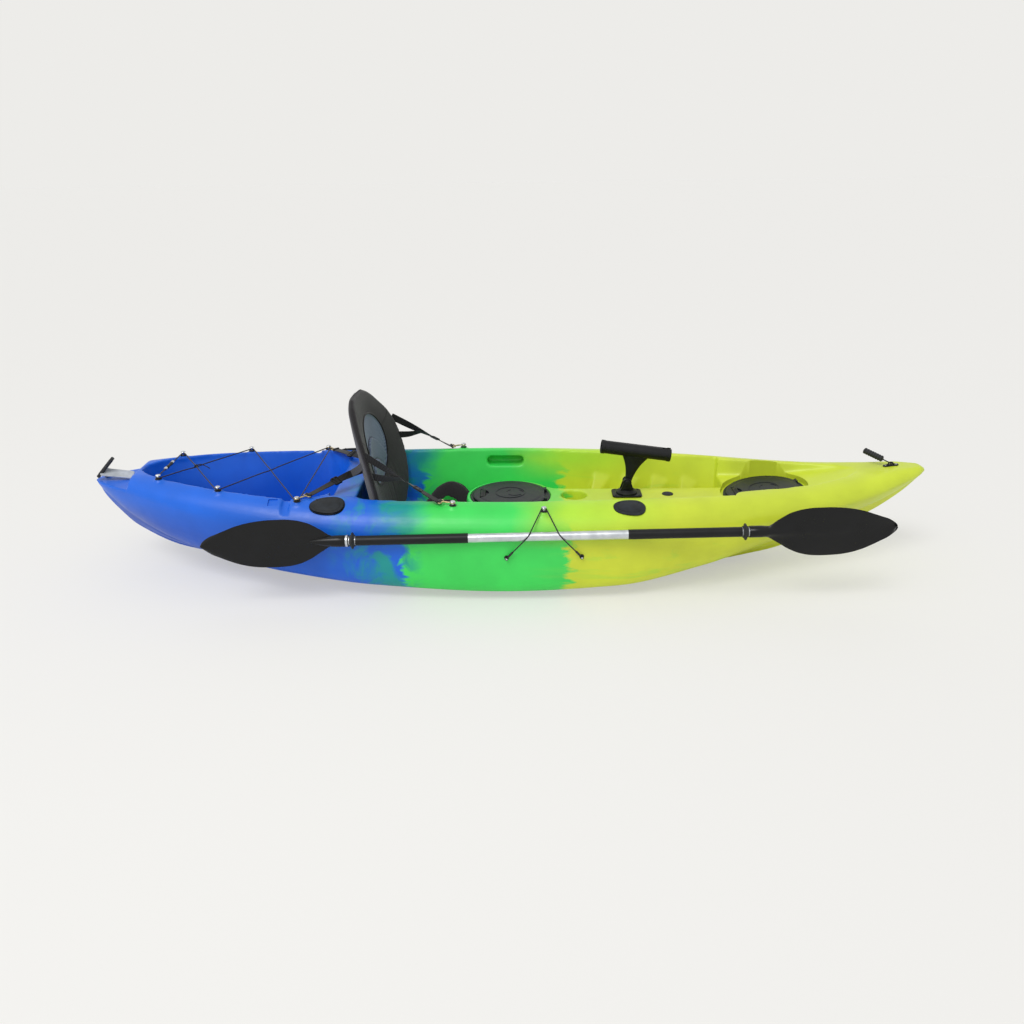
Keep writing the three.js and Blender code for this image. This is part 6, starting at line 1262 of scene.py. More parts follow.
finished(sounderPlate(), materials["mouldedNylon"], "hull", "sounder_plate")
print("plugs and sounder plate done")


# Deck buttons: polished heads on black feet; the small keeper hooks are dark
deckButton = {"washer": 0.012, "washerHeight": 0.0025, "post": 0.0045, "postHeight": 0.0092, "head": 0.009,
              "headHeight": 0.005, "gap": 0.0003}


def dome(radius, foot, height, steps=8):
    return [(radius * math.cos(t), foot + height * math.sin(t)) for t in np.linspace(0, math.pi / 2,
                                                                                     steps)][:-1] \
        + [(0, foot + height)]


for name, place in buttonFrames.items():
    sizes = deckButton
    at = place @ Matrix.Translation((0, 0, sizes["gap"]))
    foot, head = sizes["washerHeight"], sizes["washerHeight"] + sizes["postHeight"]
    profile = [(0, foot - 0.0005), (sizes["post"], foot - 0.0005), (sizes["post"], head - 0.0012),
               (sizes["post"] + 0.0012, head),
               (sizes["head"] - 0.0008, head), (sizes["head"], head + 0.0008)]
    profile += dome(sizes["head"], head + 0.0008, sizes["headHeight"] - 0.0008)[1:]
    finished(lathed(f"{name}Head", profile, 48, at), materials["polishedSteel"], "hull", name)
    washer = lathed(f"{name}Foot", [(0, 0), (sizes["washer"] - 0.0006, 0), (sizes["washer"], 0.0006),
                                    (sizes["washer"] - 0.0008, 0.0016), (0.0075, foot), (0, foot)], 48, at)
    finished(washer, materials["mouldedNylon"], "hull")


def sideFrame(x, height, side):
    def out(px, pz):
        s = sectionAt(px)
        fullness = share("fullness", px)
        bulge = ((s["chineY"] + s["beamY"]) / 2 + (s["beamY"] - s["chineY"]) / 2 * fullness,
                 (s["chineZ"] + s["beamZ"]) / 2 - (s["beamZ"] - s["chineZ"]) / 2 * fullness)
        line = bezier([(s["chineY"], s["chineZ"]), bulge, (s["beamY"], s["beamZ"])], 2)
        ys, zs = zip(*line)
        return float(np.interp(pz, zs, ys))

    step = 0.001
    alongX = (out(x + step, height) - out(x - step, height)) / (2 * step)
    alongZ = (out(x, height + step) - out(x, height - step)) / (2 * step)
    return axisFrame((x, side * out(x, height), height), (-alongX, side, -alongZ))


keeper = {"x": 0.122, "spread": 0.122, "height": 0.172, "washer": 0.008, "washerHeight": 0.002, "post": 0.003,
          "postHeight": 0.008, "head": 0.0055, "headHeight": 0.003, "cord": 0.002, "eyeWire": 0.0015,
          "sleeve": 0.0036, "sleeveLength": 0.025, "level": 0.0117}
keeperFrames = {name: sideFrame(keeper["x"] + end * keeper["spread"], keeper["height"], starboard)
                for name, end in (("aft", -1), ("fore", 1))}
for name, place in keeperFrames.items():
    sizes = keeper
    foot, head = sizes["washerHeight"], sizes["washerHeight"] + sizes["postHeight"]
    profile = [(0, 0), (sizes["washer"], 0), (sizes["washer"], 0.0009), (sizes["post"] + 0.0012, foot),
               (sizes["post"], foot),
               (sizes["post"], head), (sizes["head"], head), (sizes["head"], head + 0.0005)]
    profile += dome(sizes["head"], head + 0.0005, sizes["headHeight"] - 0.0005)[1:]
    hook = lathed(f"keeperHook{name}", profile, 40, place @ Matrix.Translation((0, 0, 0.0003)))
    finished(hook, materials["mouldedNylon"], "hull", f"keeper_hook_{name}")
print("buttons done")


# Cords round the buttons
def headingBetween(a, b):
    dx, dy = b["centre"].x - a["centre"].x, b["centre"].y - a["centre"].y
    across = (b["turn"] * b["radius"] - a["turn"] * a["radius"]) / math.hypot(dx, dy)
    return math.atan2(dy, dx) - math.asin(across)


def wrapPoints(stop, headingIn, headingOut, step=math.radians(12)):
    full, turn = 2 * math.pi, stop["turn"]
    sweep = turn * (((headingOut - headingIn) * turn) % full)
    count = max(1, math.ceil(abs(sweep) / step))
    points = []
    for i in range(count + 1):
        heading = headingIn + sweep * i / count
        points.append(stop["centre"] + Vector((turn * stop["radius"] * math.sin(heading),
                                               -turn * stop["radius"] * math.cos(heading), 0)))
    return points


lacing = {"radius": 0.002, "clip": 0.086, "clipRadius": 0.0062, "lift": 0.0024, "tail": 0.045}


def buildLacing():
    sizes = lacing
    level = 2 * 0.0003 + deckButton["washerHeight"] + sizes["radius"]
    reach = deckButton["post"] + 0.0003 + sizes["radius"]
    order = [("aft", port, -1), ("middle", starboard, 1), ("fore", port, -1), ("fore", starboard, -1),
             ("middle", port, 1), ("aft", starboard, -1)]
    stops = [{"centre": buttonFrames[f"lacing_button_{name}_{sideNames[side]}"] @ Vector((0, 0, level)),
              "turn": turn,
              "radius": reach} for name, side, turn in order]
    headings = [headingBetween(a, b) for a, b in zip(stops, stops[1:])]
    starts, ends = [math.pi / 2] + headings, headings + [math.pi / 2]
    legs = [wrapPoints(stop, a, b) for stop, a, b in zip(stops, starts, ends)]
    inside = sizes["clip"] / 2 - 2 * sizes["clipRadius"]
    start, end = legs[0][0].copy(), legs[0][0].copy()
    start.y, end.y = inside, -inside
    lifts = [1, -1, 0, 1, -1, 0]
    route, crossings = [start], []
    for i, leg in enumerate(legs):
        route += leg
        if lifts[i]:
            a, b = leg[-1], legs[i + 1][0]
            t = a.y / (a.y - b.y)
            middle = a.lerp(b, t)
            for k in range(1, 40):
                s = k / 40
                bump = math.exp(-((s - t) * (b - a).length / 0.03) ** 2)
                route.append(a.lerp(b, s) + Vector((0, 0, lifts[i] * sizes["lift"] * bump)))
            crossings.append(middle)
    route.append(end)
    cord = tubed("lacing", route, sizes["radius"], 12)
    # a short cord tied on at the crossing, with a hanging tail
    middle = crossings[0] + Vector((0, 0, 0.0015))
    turnsOfKnot = [middle + 0.0042 * Vector(((2 + math.cos(3 * t)) * math.cos(2 * t) / 2,
                                             (2 + math.cos(3 * t)) * math.sin(2 * t) / 2,
                                             math.sin(3 * t) * 0.9))
                   for t in np.linspace(0, 2 * math.pi, 73)[:-1]]
    knot = tubed("knot", turnsOfKnot + [turnsOfKnot[0]], 0.0018, 10)
    tail = tubed("tail",
        curveThrough([middle, middle + Vector((0.012, 0.01, 0.003)), middle + Vector((0.028, 0.014, -0.004)),
                      middle + Vector((sizes["tail"], 0.012, -0.014))]), 0.0016, 10)
    finished(joined("lacing", [cord, knot, tail]), materials["braidedCover"], "hull",
             "lacing")
    at = Matrix.Translation((start.x, 0, start.z)) @ Matrix.Rotation(math.pi / 2, 4, "X")
    half, r = sizes["clip"] / 2, sizes["clipRadius"]
    barrel = lathed("lacingClip",
                    [(0, -half * 0.62), (r * 0.8, -half * 0.62), (r, -half * 0.56), (r * 0.86, -half * 0.3),
                     (r * 0.7, 0), (r * 0.86, half * 0.3), (r, half * 0.56), (r * 0.8, half * 0.62),
                     (0, half * 0.62)], 40, at)
    finished(barrel, materials["mouldedNylon"], "hull")
    collars = [lathed("collar",
                      [(0, -0.0085), (r * 0.62, -0.0085), (r * 0.95, -0.006), (r, 0), (r * 0.95, 0.006),
                       (r * 0.62, 0.0085), (0, 0.0085)], 36,
                       at @ Matrix.Translation((0, 0, end * half * 0.8)))
               for end in (-1, 1)]
    finished(joined("lacingCollars", collars), materials["polishedSteel"], "hull")


buildLacing()
print("lacing done")


# Padded pieces: a dense form from the CAD's own rules, blown up as cloth, then sewn
seatSizes = {
    "rearX": -0.42, "hornX": -0.106, "halfWidth": 0.2, "rearHalf": 0.085, "edge": 0.022, "crown": 0.041,
    "panelHeight": 0.022, "panelRear": 0.05, "panelFront": 0.096, "panelFrontX": -0.187, "panelRearX": -0.392,
    "panelEdge": 0.02, "corner": 0.72, "flare": 0.9, "flarePower": 1.5, "bossClear": 0.005,
    "wingFrom": 0.09, "wingLift": 0.09, "wingRun": 0.17,
    "pressure": 3.5, "cap": 0.006, "voxel": 0.005, "piping": 0.0032,
}
backSizes = {
    "hinge": (-0.436, 0, 0.124), "height": 0.502, "half": 0.252, "thickness": 0.04, "lean": 10.5,
    "bend": 0.06,
    "turn": 4, "panelHalf": 0.132, "panelHigh": 0.128, "panelRise": 0.3, "panelDepth": 0.009,
    "arc": 8.0, "seams": (0.3435, 0.264), "lobe": 0.0115,
    "rises": [0, 0.06, 0.2, 0.4, 0.6, 0.75, 0.88, 0.96, 1],
    "widths": [0.62, 0.76, 0.93, 1, 0.96, 0.84, 0.62, 0.44, 0.3], "taper": 0.1, "rim": 0.25,
    "pressure": 4.0, "cap": 0.007, "voxel": 0.0055, "piping": 0.0034,
}


def inflated(piece, pressure, cap, voxel, held):
    # held(point) says how firmly the inside holds a place, from 0 to 1
    modified(piece, "REMESH", mode="VOXEL", voxel_size=voxel)
    settle(piece)
    modified(piece, "SMOOTH", factor=0.5, iterations=4)
    settle(piece)
    rest = np.array([v.co[:] for v in piece.data.vertices])
    pins = piece.vertex_groups.new(name="held")
    for vertex in piece.data.vertices:
        weight = held(vertex.co)
        if weight > 0:
            pins.add([vertex.index], weight, "REPLACE")
    cloth = piece.modifiers.new("cloth", "CLOTH")
    cloth.settings.quality = 4
    cloth.settings.mass = 0.3
    cloth.settings.tension_stiffness = 25
    cloth.settings.compression_stiffness = 25
    cloth.settings.shear_stiffness = 8
    cloth.settings.bending_stiffness = 0.6
    cloth.settings.use_pressure = True
    cloth.settings.uniform_pressure_force = pressure
    cloth.settings.effector_weights.gravity = 0
    cloth.settings.vertex_group_mass = "held"
    cloth.collision_settings.use_collision = False
    for step in range(1, 21):
        bpy.context.scene.frame_set(step)
    settle(piece)
    bpy.context.scene.frame_set(1)
    moved = np.array([v.co[:] for v in piece.data.vertices]) - rest
    reach = np.maximum(np.linalg.norm(moved, axis=1, keepdims=True), 1e-9)
    places = rest + moved * np.minimum(1, cap / reach)
    piece.data.vertices.foreach_set("co", places.ravel())
    piece.data.update()
    piece.vertex_groups.clear()
    modified(piece, "SUBSURF", levels=1, render_levels=1)
    return settle(piece)


def treeOf(piece):
    shape = bmesh.new()
    shape.from_mesh(piece.data)
    tree = BVHTree.FromBMesh(shape)
    shape.free()
    return tree


def padFloor(x):
    return floorHeight(x)


def padPanelHalf(x):
    sizes = seatSizes
    t = min(max((x - sizes["panelRearX"]) / (sizes["panelFrontX"] - sizes["panelRearX"]), 0), 1)
    return sizes["panelRear"] + (sizes["panelFront"] - sizes["panelRear"]) * t * t * (3 - 2 * t)


def panelDepthAt(x, y):
    # above 0 inside the sunken panel, in metres from its edge
    front = seatSizes["panelFrontX"] + 0.006 * (y / 0.09) ** 2
    return min(padPanelHalf(x) - abs(y), front - x)


def padLift(x, y):
    # the sides turn up against the thighs, more so towards the front
    sizes = seatSizes
    out = min(max((abs(y) - sizes["wingFrom"]) / (sizes["halfWidth"] - sizes["wingFrom"]), 0), 1)
    ahead = min(max((x - sizes["rearX"] - 0.04) / sizes["wingRun"], 0), 1)
    return sizes["wingLift"] * out * out * (3 - 2 * out) * ahead * ahead * (3 - 2 * ahead)


def padRing(scale, heightAt, sides=120):
    sizes = seatSizes
    middle, half = (sizes["rearX"] + sizes["hornX"]) / 2, (sizes["hornX"] - sizes["rearX"]) / 2
    points = []
    for i in range(sides):
        turn = 2 * math.pi * (i + 0.5) / sides
        outX = math.copysign(abs(math.cos(turn)) ** sizes["corner"], math.cos(turn))
        outY = math.copysign(abs(math.sin(turn)) ** sizes["corner"], math.sin(turn))
        flare = min(1, (1 + outX) / sizes["flare"]) ** sizes["flarePower"]
        wide = sizes["rearHalf"] + (sizes["halfWidth"] - sizes["rearHalf"]) * flare
        x, y = middle + half * scale * outX, wide * scale * outY
        points.append((x, y, padFloor(x) + padLift(x, y) + heightAt(x, y)))
    return points


def padTop(crown):
    sizes = seatSizes

    def height(x, y):
        ahead = (x - sizes["rearX"]) / (sizes["hornX"] - sizes["rearX"])
        full = sizes["edge"] + (sizes["crown"] - sizes["edge"]) * crown * (0.5 + ahead / 2)
        sunk = min(max(panelDepthAt(x, y) / sizes["panelEdge"] + 0.5, 0), 1)
        return full + (sizes["panelHeight"] - full) * sunk * min(1, crown * 1.4)
    return height


def makeSeatPad():
    sizes = seatSizes
    edge = sizes["edge"]
    rings = [padRing(0.9, lambda x, y: 0.001), padRing(0.955, lambda x, y: 0.0016),
             padRing(0.985, lambda x, y: edge * 0.35),
             padRing(0.99, lambda x, y: edge * 0.7), padRing(0.965, lambda x, y: edge * 1.02)]
    rings += [padRing(scale, padTop(crown)) for scale, crown in
              ((0.92, 0.55), (0.86, 0.8), (0.8, 0.95), (0.72, 1), (0.64, 1), (0.56, 1), (0.48, 1), (0.4, 1),
               (0.3, 1), (0.2, 1),
               (0.1, 1))]
    pad = lofted("seatPad", rings)
    clear = sizes["bossClear"]
    boss = postCut("boss", deckSizes["bossFoot"] + clear, deckSizes["bossTop"] + clear, 0,
                   deckSizes["ridgeTop"], 96,
                   Matrix.Translation((hatchSizes["centerX"], 0, 0)))
    without(pad, boss)

    def held(point):
        low = point.z - padFloor(point.x) - padLift(point.x, point.y) < 0.012
        seam = abs(panelDepthAt(point.x, point.y)) < 0.008
        return 1 if low else (0.9 if seam else 0.0)

    inflated(pad, sizes["pressure"], sizes["cap"], sizes["voxel"], held)
    panel = materials["panelCloth"]
    tape = materials["bindingTape"]
    tree = treeOf(pad)

    def onTop(x, y, lift=0.0):
        hit = tree.ray_cast(Vector((x, y, 0.4)), Vector((0, 0, -1)))[0]
        return hit + Vector((0, 0, lift)) if hit else None

    front = sizes["panelFrontX"]
    xs = np.linspace(sizes["panelRearX"], front - 0.014, 30)
    border = [(x, padPanelHalf(x)) for x in xs]
    corner = [(front - 0.014 + 0.014 * math.sin(t), padPanelHalf(front) - 0.014 * (1 - math.cos(t)))
              for t in np.linspace(0.2, math.pi / 2, 6)]
    across = [(front + 0.006 * (y / 0.09) ** 2, y) for y in np.linspace(0.078, 0, 10)]
    half = border + corner + across
    loop = half + [(x, -y) for x, y in reversed(half[:-1])]
    route = [p for p in (onTop(x, y, sizes["piping"] * 0.35) for x, y in loop) if p]
    piping = tubed("seatPiping", curveThrough(route, 2), sizes["piping"], 10)
    edgeRoute = []
    for x, y, z in padRing(0.985, lambda x, y: edge * 0.9, 160):
        near = tree.find_nearest(Vector((x, y, z)))[0]
        edgeRoute.append(near)
    edgeRoute = [p for p in edgeRoute if math.hypot(p.x - hatchSizes["centerX"],
                                                    p.y) > deckSizes["bossFoot"] + clear + 0.004]
    start = max(range(len(edgeRoute)), key=lambda i: (edgeRoute[i] - edgeRoute[i - 1]).length)
    edgeRoute = edgeRoute[start:] + edgeRoute[:start]
    binding = tubed("seatBinding", edgeRoute, 0.0028, 8)
    finished(joined("seatPiping", [piping, binding]), tape, "hull")
    finished(pad, materials["airMesh"], "hull", "seat_pad", 60)
    pad.data.materials.append(panel)
    for face in pad.data.polygons:
        x, y, z = face.center
        if panelDepthAt(x, y) > 0 and z > padFloor(x) + padLift(x, y) + 0.012 and x > sizes["panelRearX"]:
            face.material_index = 1
    return pad


def onBack(depth, offset, rise):
    sizes = backSizes
    point = Vector((depth + sizes["bend"] * (offset / sizes["half"]) ** 2, offset, rise))
    turn = Matrix.Rotation(math.radians(-sizes["lean"]), 3,
                           "Y") @ Matrix.Rotation(math.radians(-sizes["turn"]), 3, "Z")
    return turn @ point + Vector(sizes["hinge"])


def offBack(point):
    # depth, offset and rise of a place, the other way round
    sizes = backSizes
    turn = Matrix.Rotation(math.radians(-sizes["lean"]), 3,
                           "Y") @ Matrix.Rotation(math.radians(-sizes["turn"]), 3, "Z")
    flat = turn.inverted() @ (point - Vector(sizes["hinge"]))
    return flat.x - sizes["bend"] * (flat.y / sizes["half"]) ** 2, flat.y, flat.z


def backHalf(rise):
    return backSizes["half"] * monotone(backSizes["rises"], backSizes["widths"], rise / backSizes["height"])


def backSection(rise, sides=120):
    sizes = backSizes
    along = rise / sizes["height"]
    half = backHalf(rise)
    taper = min(1, (1 - along) / sizes["taper"] + sizes["rim"], along / sizes["taper"] + sizes["rim"])
    points = []
    for i in range(sides):
        turn = 2 * math.pi * i / sides
        swell = math.copysign(abs(math.sin(turn)) ** 0.6, math.sin(turn))
        points.append(onBack(sizes["thickness"] * taper ** 0.5 / 2 * swell, half * math.cos(turn), rise))
    return points


def panelInside(offset, rise):
    sizes = backSizes
    return 1 - (offset / sizes["panelHalf"]) ** 2 - ((rise - sizes["panelRise"]) / sizes["panelHigh"]) ** 2


def panelRelief(offset, rise):
    # sunk oval, its bands lapping like scales, each highest along its arched top edge
    sizes = backSizes
    inside = panelInside(offset, rise)
    if inside <= 0:
        return 0
    level = rise + sizes["arc"] * offset ** 2
    tops = [sizes["panelRise"] + sizes["panelHigh"] + 0.05, *sizes["seams"]]
    feet = [*sizes["seams"], sizes["seams"][1] - 0.11]
    band = 0 if level > tops[1] else (1 if level > tops[2] else 2)
    t = (tops[band] - level) / (tops[band] - feet[band])
    crest = min(1, t * 9) * (1 - 0.75 * min(1, t)) if band else 0.8 - 0.55 * min(1, max(0, t))
    return -sizes["panelDepth"] * min(1, 5 * inside) + sizes["lobe"] * crest * min(1, 4 * inside)


def makeBackrest():
    sizes = backSizes
    rises = [sizes["height"] * (0.5 - 0.5 * math.cos(math.pi * (0.004 + 0.992 * i / 90))) for i in range(91)]
    back = lofted("backrest", [backSection(rise) for rise in rises])

    def held(point):
        depth, offset, rise = offBack(point)
        edge = backHalf(rise) - abs(offset)
        if edge < 0.012 or rise < 0.012 or rise > sizes["height"] - 0.012:
            return 1
        if abs(panelInside(offset, rise)) < 0.09 and depth > 0:
            return 0.9
        return 0.35 if panelInside(offset, rise) > 0 and depth > 0 else 0

    inflated(back, sizes["pressure"], sizes["cap"], sizes["voxel"], held)
    push = (onBack(1, 0, 0) - onBack(0, 0, 0)).normalized()
    for vertex in back.data.vertices:
        depth, offset, rise = offBack(vertex.co)
        if depth > 0:
            vertex.co += push * panelRelief(offset, rise)
    back.data.update()
    tree = treeOf(back)

    def onFace(offset, rise, lift=0.0):
        start = onBack(0.12, offset, rise)
        hit = tree.ray_cast(start, -push)[0]
        return hit + push * lift if hit else None

    ovals = [(0.985 * sizes["panelHalf"] * math.cos(t),
              sizes["panelRise"] + 0.985 * sizes["panelHigh"] * math.sin(t))
             for t in np.linspace(0, 2 * math.pi, 97)]
    pieces = [tubed("oval", [onFace(o, r, 0.0006) for o, r in ovals], sizes["piping"], 10)]
    for seam in sizes["seams"]:
        arc = [(o, seam - sizes["arc"] * o ** 2) for o in np.linspace(-0.13, 0.13, 41)]
        arc = [(o, r) for o, r in arc if panelInside(o, r) > 0.03]
        pieces.append(tubed("seam", [onFace(o, r - 0.003, 0.0002) for o, r in arc], 0.0012, 8))
    outline = []
    for rise in np.linspace(0.03, sizes["height"] - 0.006, 60):
        outline.append((backHalf(rise), rise))
    top = [(backHalf(sizes["height"]) * math.cos(t), sizes["height"] - 0.004) for t in np.linspace(0.3,
        math.pi - 0.3, 12)]
    loop = outline + top + [(-o, r) for o, r in reversed(outline)]
    pieces.append(tubed("rim", [tree.find_nearest(onBack(0, o, r))[0] for o, r in loop], 0.0022, 8))
    for side in (port, starboard):
        seamLine = [(side * (0.2 - 0.075 * t), 0.385 - 0.035 * t ** 0.7) for t in np.linspace(0.02, 1, 14)]
        pieces.append(tubed("wingSeam", [onFace(o, r, 0.0) for o, r in seamLine], 0.0013, 8))
    finished(joined("backPiping", pieces), materials["bindingTape"], "backrest")
    finished(back, materials["airMesh"], "backrest", "backrest", 60)
    back.data.materials.append(materials["panelCloth"])
    for face in back.data.polygons:
        depth, offset, rise = offBack(face.center)
        if depth > -0.004 and panelInside(offset, rise) > 0.02:
            face.material_index = 1
    return back


seatPad = makeSeatPad()
backrest = makeBackrest()
print("seat done:", len(seatPad.data.polygons), "and", len(backrest.data.polygons), "faces")


# Snap hooks and the webbing that holds the back
strapSizes = {"width": 0.025, "thickness": 0.0022, "loop": 0.0044, "level": 0.0074, "hookBar": 0.0465,
              "exit": 0.0513,
              "hookMiddle": 0.002, "wing": 0.2268}
hookSizes = {"length": 0.062, "thickness": 0.004, "ring": 0.0095, "bore": 0.0052, "neck": 0.004,
             "slotLength": 0.027, "slotWidth": 0.007}


def hookSeat(buttonName, target):
    origin = buttonFrames[buttonName] @ Vector((0, 0, strapSizes["level"]))
    ahead = Vector((target.x - origin.x, target.y - origin.y, 0)).normalized()
    return axisFrame(origin, (0, 0, 1), ahead)


def snapHook(name, seat):
    sizes = hookSizes
    neck, t = sizes["neck"], sizes["thickness"]
    slotStart = sizes["length"] - sizes["ring"] - 2 * neck - sizes["slotWidth"]
    endHalf = sizes["slotLength"] / 2 + neck
    middle = Matrix.Translation((0, 0, t / 2))
    ring = [seat @ middle @ Vector(((sizes["ring"] + sizes["bore"]) / 2 * math.cos(a),
                                    (sizes["ring"] + sizes["bore"]) / 2
                                    * math.sin(a), 0)) for a in np.linspace(0.5, 2 * math.pi - 0.5, 33)]
    parts = [tubed("ring", ring, (sizes["ring"] - sizes["bore"]) / 2, 12)]
    gate = [seat @ middle @ Vector(p) for p in ((0.0062, 0.0036, 0), (0.0072, 0.001, 0),
                                                (0.0072, -0.0015, 0), (0.0062, -0.0036, 0))]
    parts.append(tubed("gate", gate, 0.0012, 10))
    spine = curveThrough([(0.0064, 0, 0), (0.014, 0, 0), (slotStart * 0.62, 0, 0),
                          (slotStart + 0.001, 0, 0)], 5)
    widths = np.interp(np.linspace(0, 1, len(spine)), [0, 0.3, 0.6, 1], [0.0024, 0.0021, 0.003, 0.0022])
    parts.append(tubed("spine", [seat @ middle @ Vector(p) for p in spine], [float(w) for w in widths], 12))
    foreX, aftX = slotStart + sizes["slotWidth"] + neck / 2, slotStart - neck / 2
    corner = 0.004
    frameRoute = []
    for cx, cy, start in ((foreX - corner, endHalf - neck / 2 - corner, 0),
                          (aftX + corner, endHalf - neck / 2 - corner, 90),
                          (aftX + corner, -endHalf + neck / 2 + corner, 180),
                          (foreX - corner, -endHalf + neck / 2 + corner, 270)):
        for k in range(5):
            a = math.radians(start + 22.5 * k)
            frameRoute.append(seat @ middle @ Vector((cx + corner * math.cos(a), cy + corner * math.sin(a),
                                                      0)))
    parts.append(tubed("frame", frameRoute + [frameRoute[0]], 0.0019, 12))
    return joined(name, parts)


def ribbonRings(points, acrosses, width, thickness):
    rings = []
    for i, point in enumerate(points):
        ahead = (points[min(i + 1, len(points) - 1)] - points[max(i - 1, 0)]).normalized()
        across = (acrosses[i] - ahead * acrosses[i].dot(ahead)).normalized()
        up = ahead.cross(across)
        rings.append([point + across * a * width / 2 + up * b * thickness / 2
                      for a,
                      b in ((1, 0.45), (0.97, 1), (0, 1.1), (-0.97, 1), (-1, 0.45), (-1, -0.45),
                            (-0.97, -1), (0, -1.1),
                            (0.97, -1), (1, -0.45))])
    return rings


def webbing(name, route, acrossStart, acrossEnd, steps=48):
    points = curveThrough(route, max(4, steps // (len(route) - 1)))
    shares = np.linspace(0, 1, len(points))
    acrosses = [Vector(acrossStart).lerp(Vector(acrossEnd), t * t * (3 - 2 * t)) for t in shares]
    return lofted(name, ribbonRings(points, acrosses, strapSizes["width"], strapSizes["thickness"]))


def loopRound(seat):
    # the webbing's end goes round the hook's bar
    sizes = strapSizes
    centre = Vector((sizes["hookBar"], 0, sizes["hookMiddle"]))
    route = [seat @ (centre + sizes["loop"] * Vector((math.cos(a), 0,
        math.sin(a)))) for a in np.linspace(-0.5, 2 * math.pi - 0.9, 30)]
    across = seat.to_3x3() @ Vector((0, 1, 0))
    return lofted("loop", ribbonRings(route, [across] * len(route), sizes["width"], sizes["thickness"]))


def slideBuckle(point, ahead, across):
    # moulded three-bar slide on the strap
    place = axisFrame(point, Vector(ahead).cross(Vector(across)), ahead)
    frameBar = prism("buckle", roundedOutline(0.03, 0.034, 0.004), -0.0025, 0.0035, place)
    slots = [boxed("slot", (x - 0.0035, -0.013, -0.02), (x + 0.0035, 0.013, 0.02), place) for x in (-0.0075,
                                                                                                    0.0075)]
    return softened(without(frameBar, *slots), 0.0011)


def strapSet(name, seat, via, end, branchEnd, share, replaced):
    sizes = strapSizes
    start = seat @ Vector((sizes["exit"], 0, sizes["hookMiddle"]))
    across = seat.to_3x3() @ Vector((0, 1, 0))
    upright = Vector((0, 0, 1))
    path = curveThrough([start, via, end], 24)
    fork = path[int(share * (len(path) - 1))]
    halfway = across.lerp(upright, share)
    main = webbing("main", [start, via, end], across, upright)
    branch = webbing("branch", [fork, fork.lerp(branchEnd, 0.5) - Vector((0, 0, 0.004)), branchEnd],
                     halfway, upright, 30)
    strap = joined(name, [loopRound(seat), main, branch])
    settle(strap)
    smoothShaded(strap, 50)
    strap.data.materials.clear()
    strap.data.materials.append(materials["flatWebbing"])
    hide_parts(replaced)
    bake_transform(strap)
    along = (path[int(share * 48 * 0.55) + 1] - path[int(share * 48 * 0.55)]).normalized()
    at = path[int(share * len(path) * 0.55)]
    lean = across.lerp(upright, share * 0.5)
    buckle = slideBuckle(at, along, (lean - along * lean.dot(along)).normalized())
    settle(buckle)
    smoothShaded(buckle)
    buckle.name = f"{name}Buckle"
    buckle.data.materials.clear()
    buckle.data.materials.append(materials["mouldedNylon"])
    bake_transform(buckle)


for side in (port, starboard):
    sideName = sideNames[side]
    wing = side * strapSizes["wing"]
    frontEnd, frontBranch = onBack(0, wing, 0.347), onBack(0, wing, 0.274)
    seat = hookSeat(f"seat_button_{sideName}", frontEnd)
    via = (seat @ Vector((strapSizes["exit"], 0, 0.002))).lerp(frontEnd, 0.5)
    strapSet(f"frontStrap{sideName}", seat, via, frontEnd, frontBranch, 0.5, f"front_strap_{sideName}")
    finished(snapHook(f"frontHook{sideName}", seat), materials["tumbledBrass"], "hull",
             f"front_hook_{sideName}")
    rearEnd, rearBranch = onBack(0, side * 0.07, 0.255), onBack(0, wing, 0.325)
    seat = hookSeat(f"lacing_button_fore_{sideName}", rearEnd)
    via = (seat @ Vector((strapSizes["exit"], 0, 0.002))).lerp(rearEnd, 0.6)
    via.y -= side * 0.03
    strapSet(f"rearStrap{sideName}", seat, via, rearEnd, rearBranch, 0.6, f"rear_strap_{sideName}")
    finished(snapHook(f"rearHook{sideName}", seat), materials["tumbledBrass"], "hull",
             f"rear_hook_{sideName}")
print("straps done")


# Bow pad-eye and toggle, stern eye bolt and carrying handle
endSizes = {
    "bowX": 1.356, "plate": (0.054, 0.02, 0.003), "ring": 0.01, "wire": 0.0025, "bar": 0.074,
    "barRadius": 0.011,
    "ribs": 8, "knot": 0.004, "cord": 0.002, "centre": (-0.05, 0.032, 0.036),
    "pitch": math.radians(16), "yaw": math.radians(130),
    "eye": (-1.441, 0.018), "eyeTurn": 35, "foreX": -1.325, "aftX": -1.452, "handleTurn": 8,
    "handleRise": 0.022,
    "webbing": 0.003, "tab": 0.016, "grip": (0.038, 0.005), "gripLift": 0.006, "gripRoll": 24,
    "block": (0.024, 0.012, 0.088), "blockLean": 42, "blockJoin": 0.15,
}


def ringPoints(radius, start, end, count, place):
    return [place @ Vector((radius * math.cos(t), radius * math.sin(t), 0)) for t in np.linspace(start, end,
                                                                                                 count)]


def toggleBar(name, length, radius, ribs, place):
    profile = [(0, -length / 2), (radius * 0.7, -length / 2), (radius * 0.86, -length / 2 + 0.0012)]
    for i in range(ribs):
        foot, step = -length / 2 + length * (i + 0.12) / ribs, length / ribs
        profile += [(radius * 0.84, foot), (radius * 0.97, foot + 0.12 * step), (radius, foot + 0.3 * step),
                    (radius, foot + 0.48 * step), (radius * 0.97, foot + 0.66 * step),
                    (radius * 0.84, foot + 0.76 * step)]
    return lathed(name, profile + [(radius * 0.7, length / 2), (0, length / 2)], 48, place)


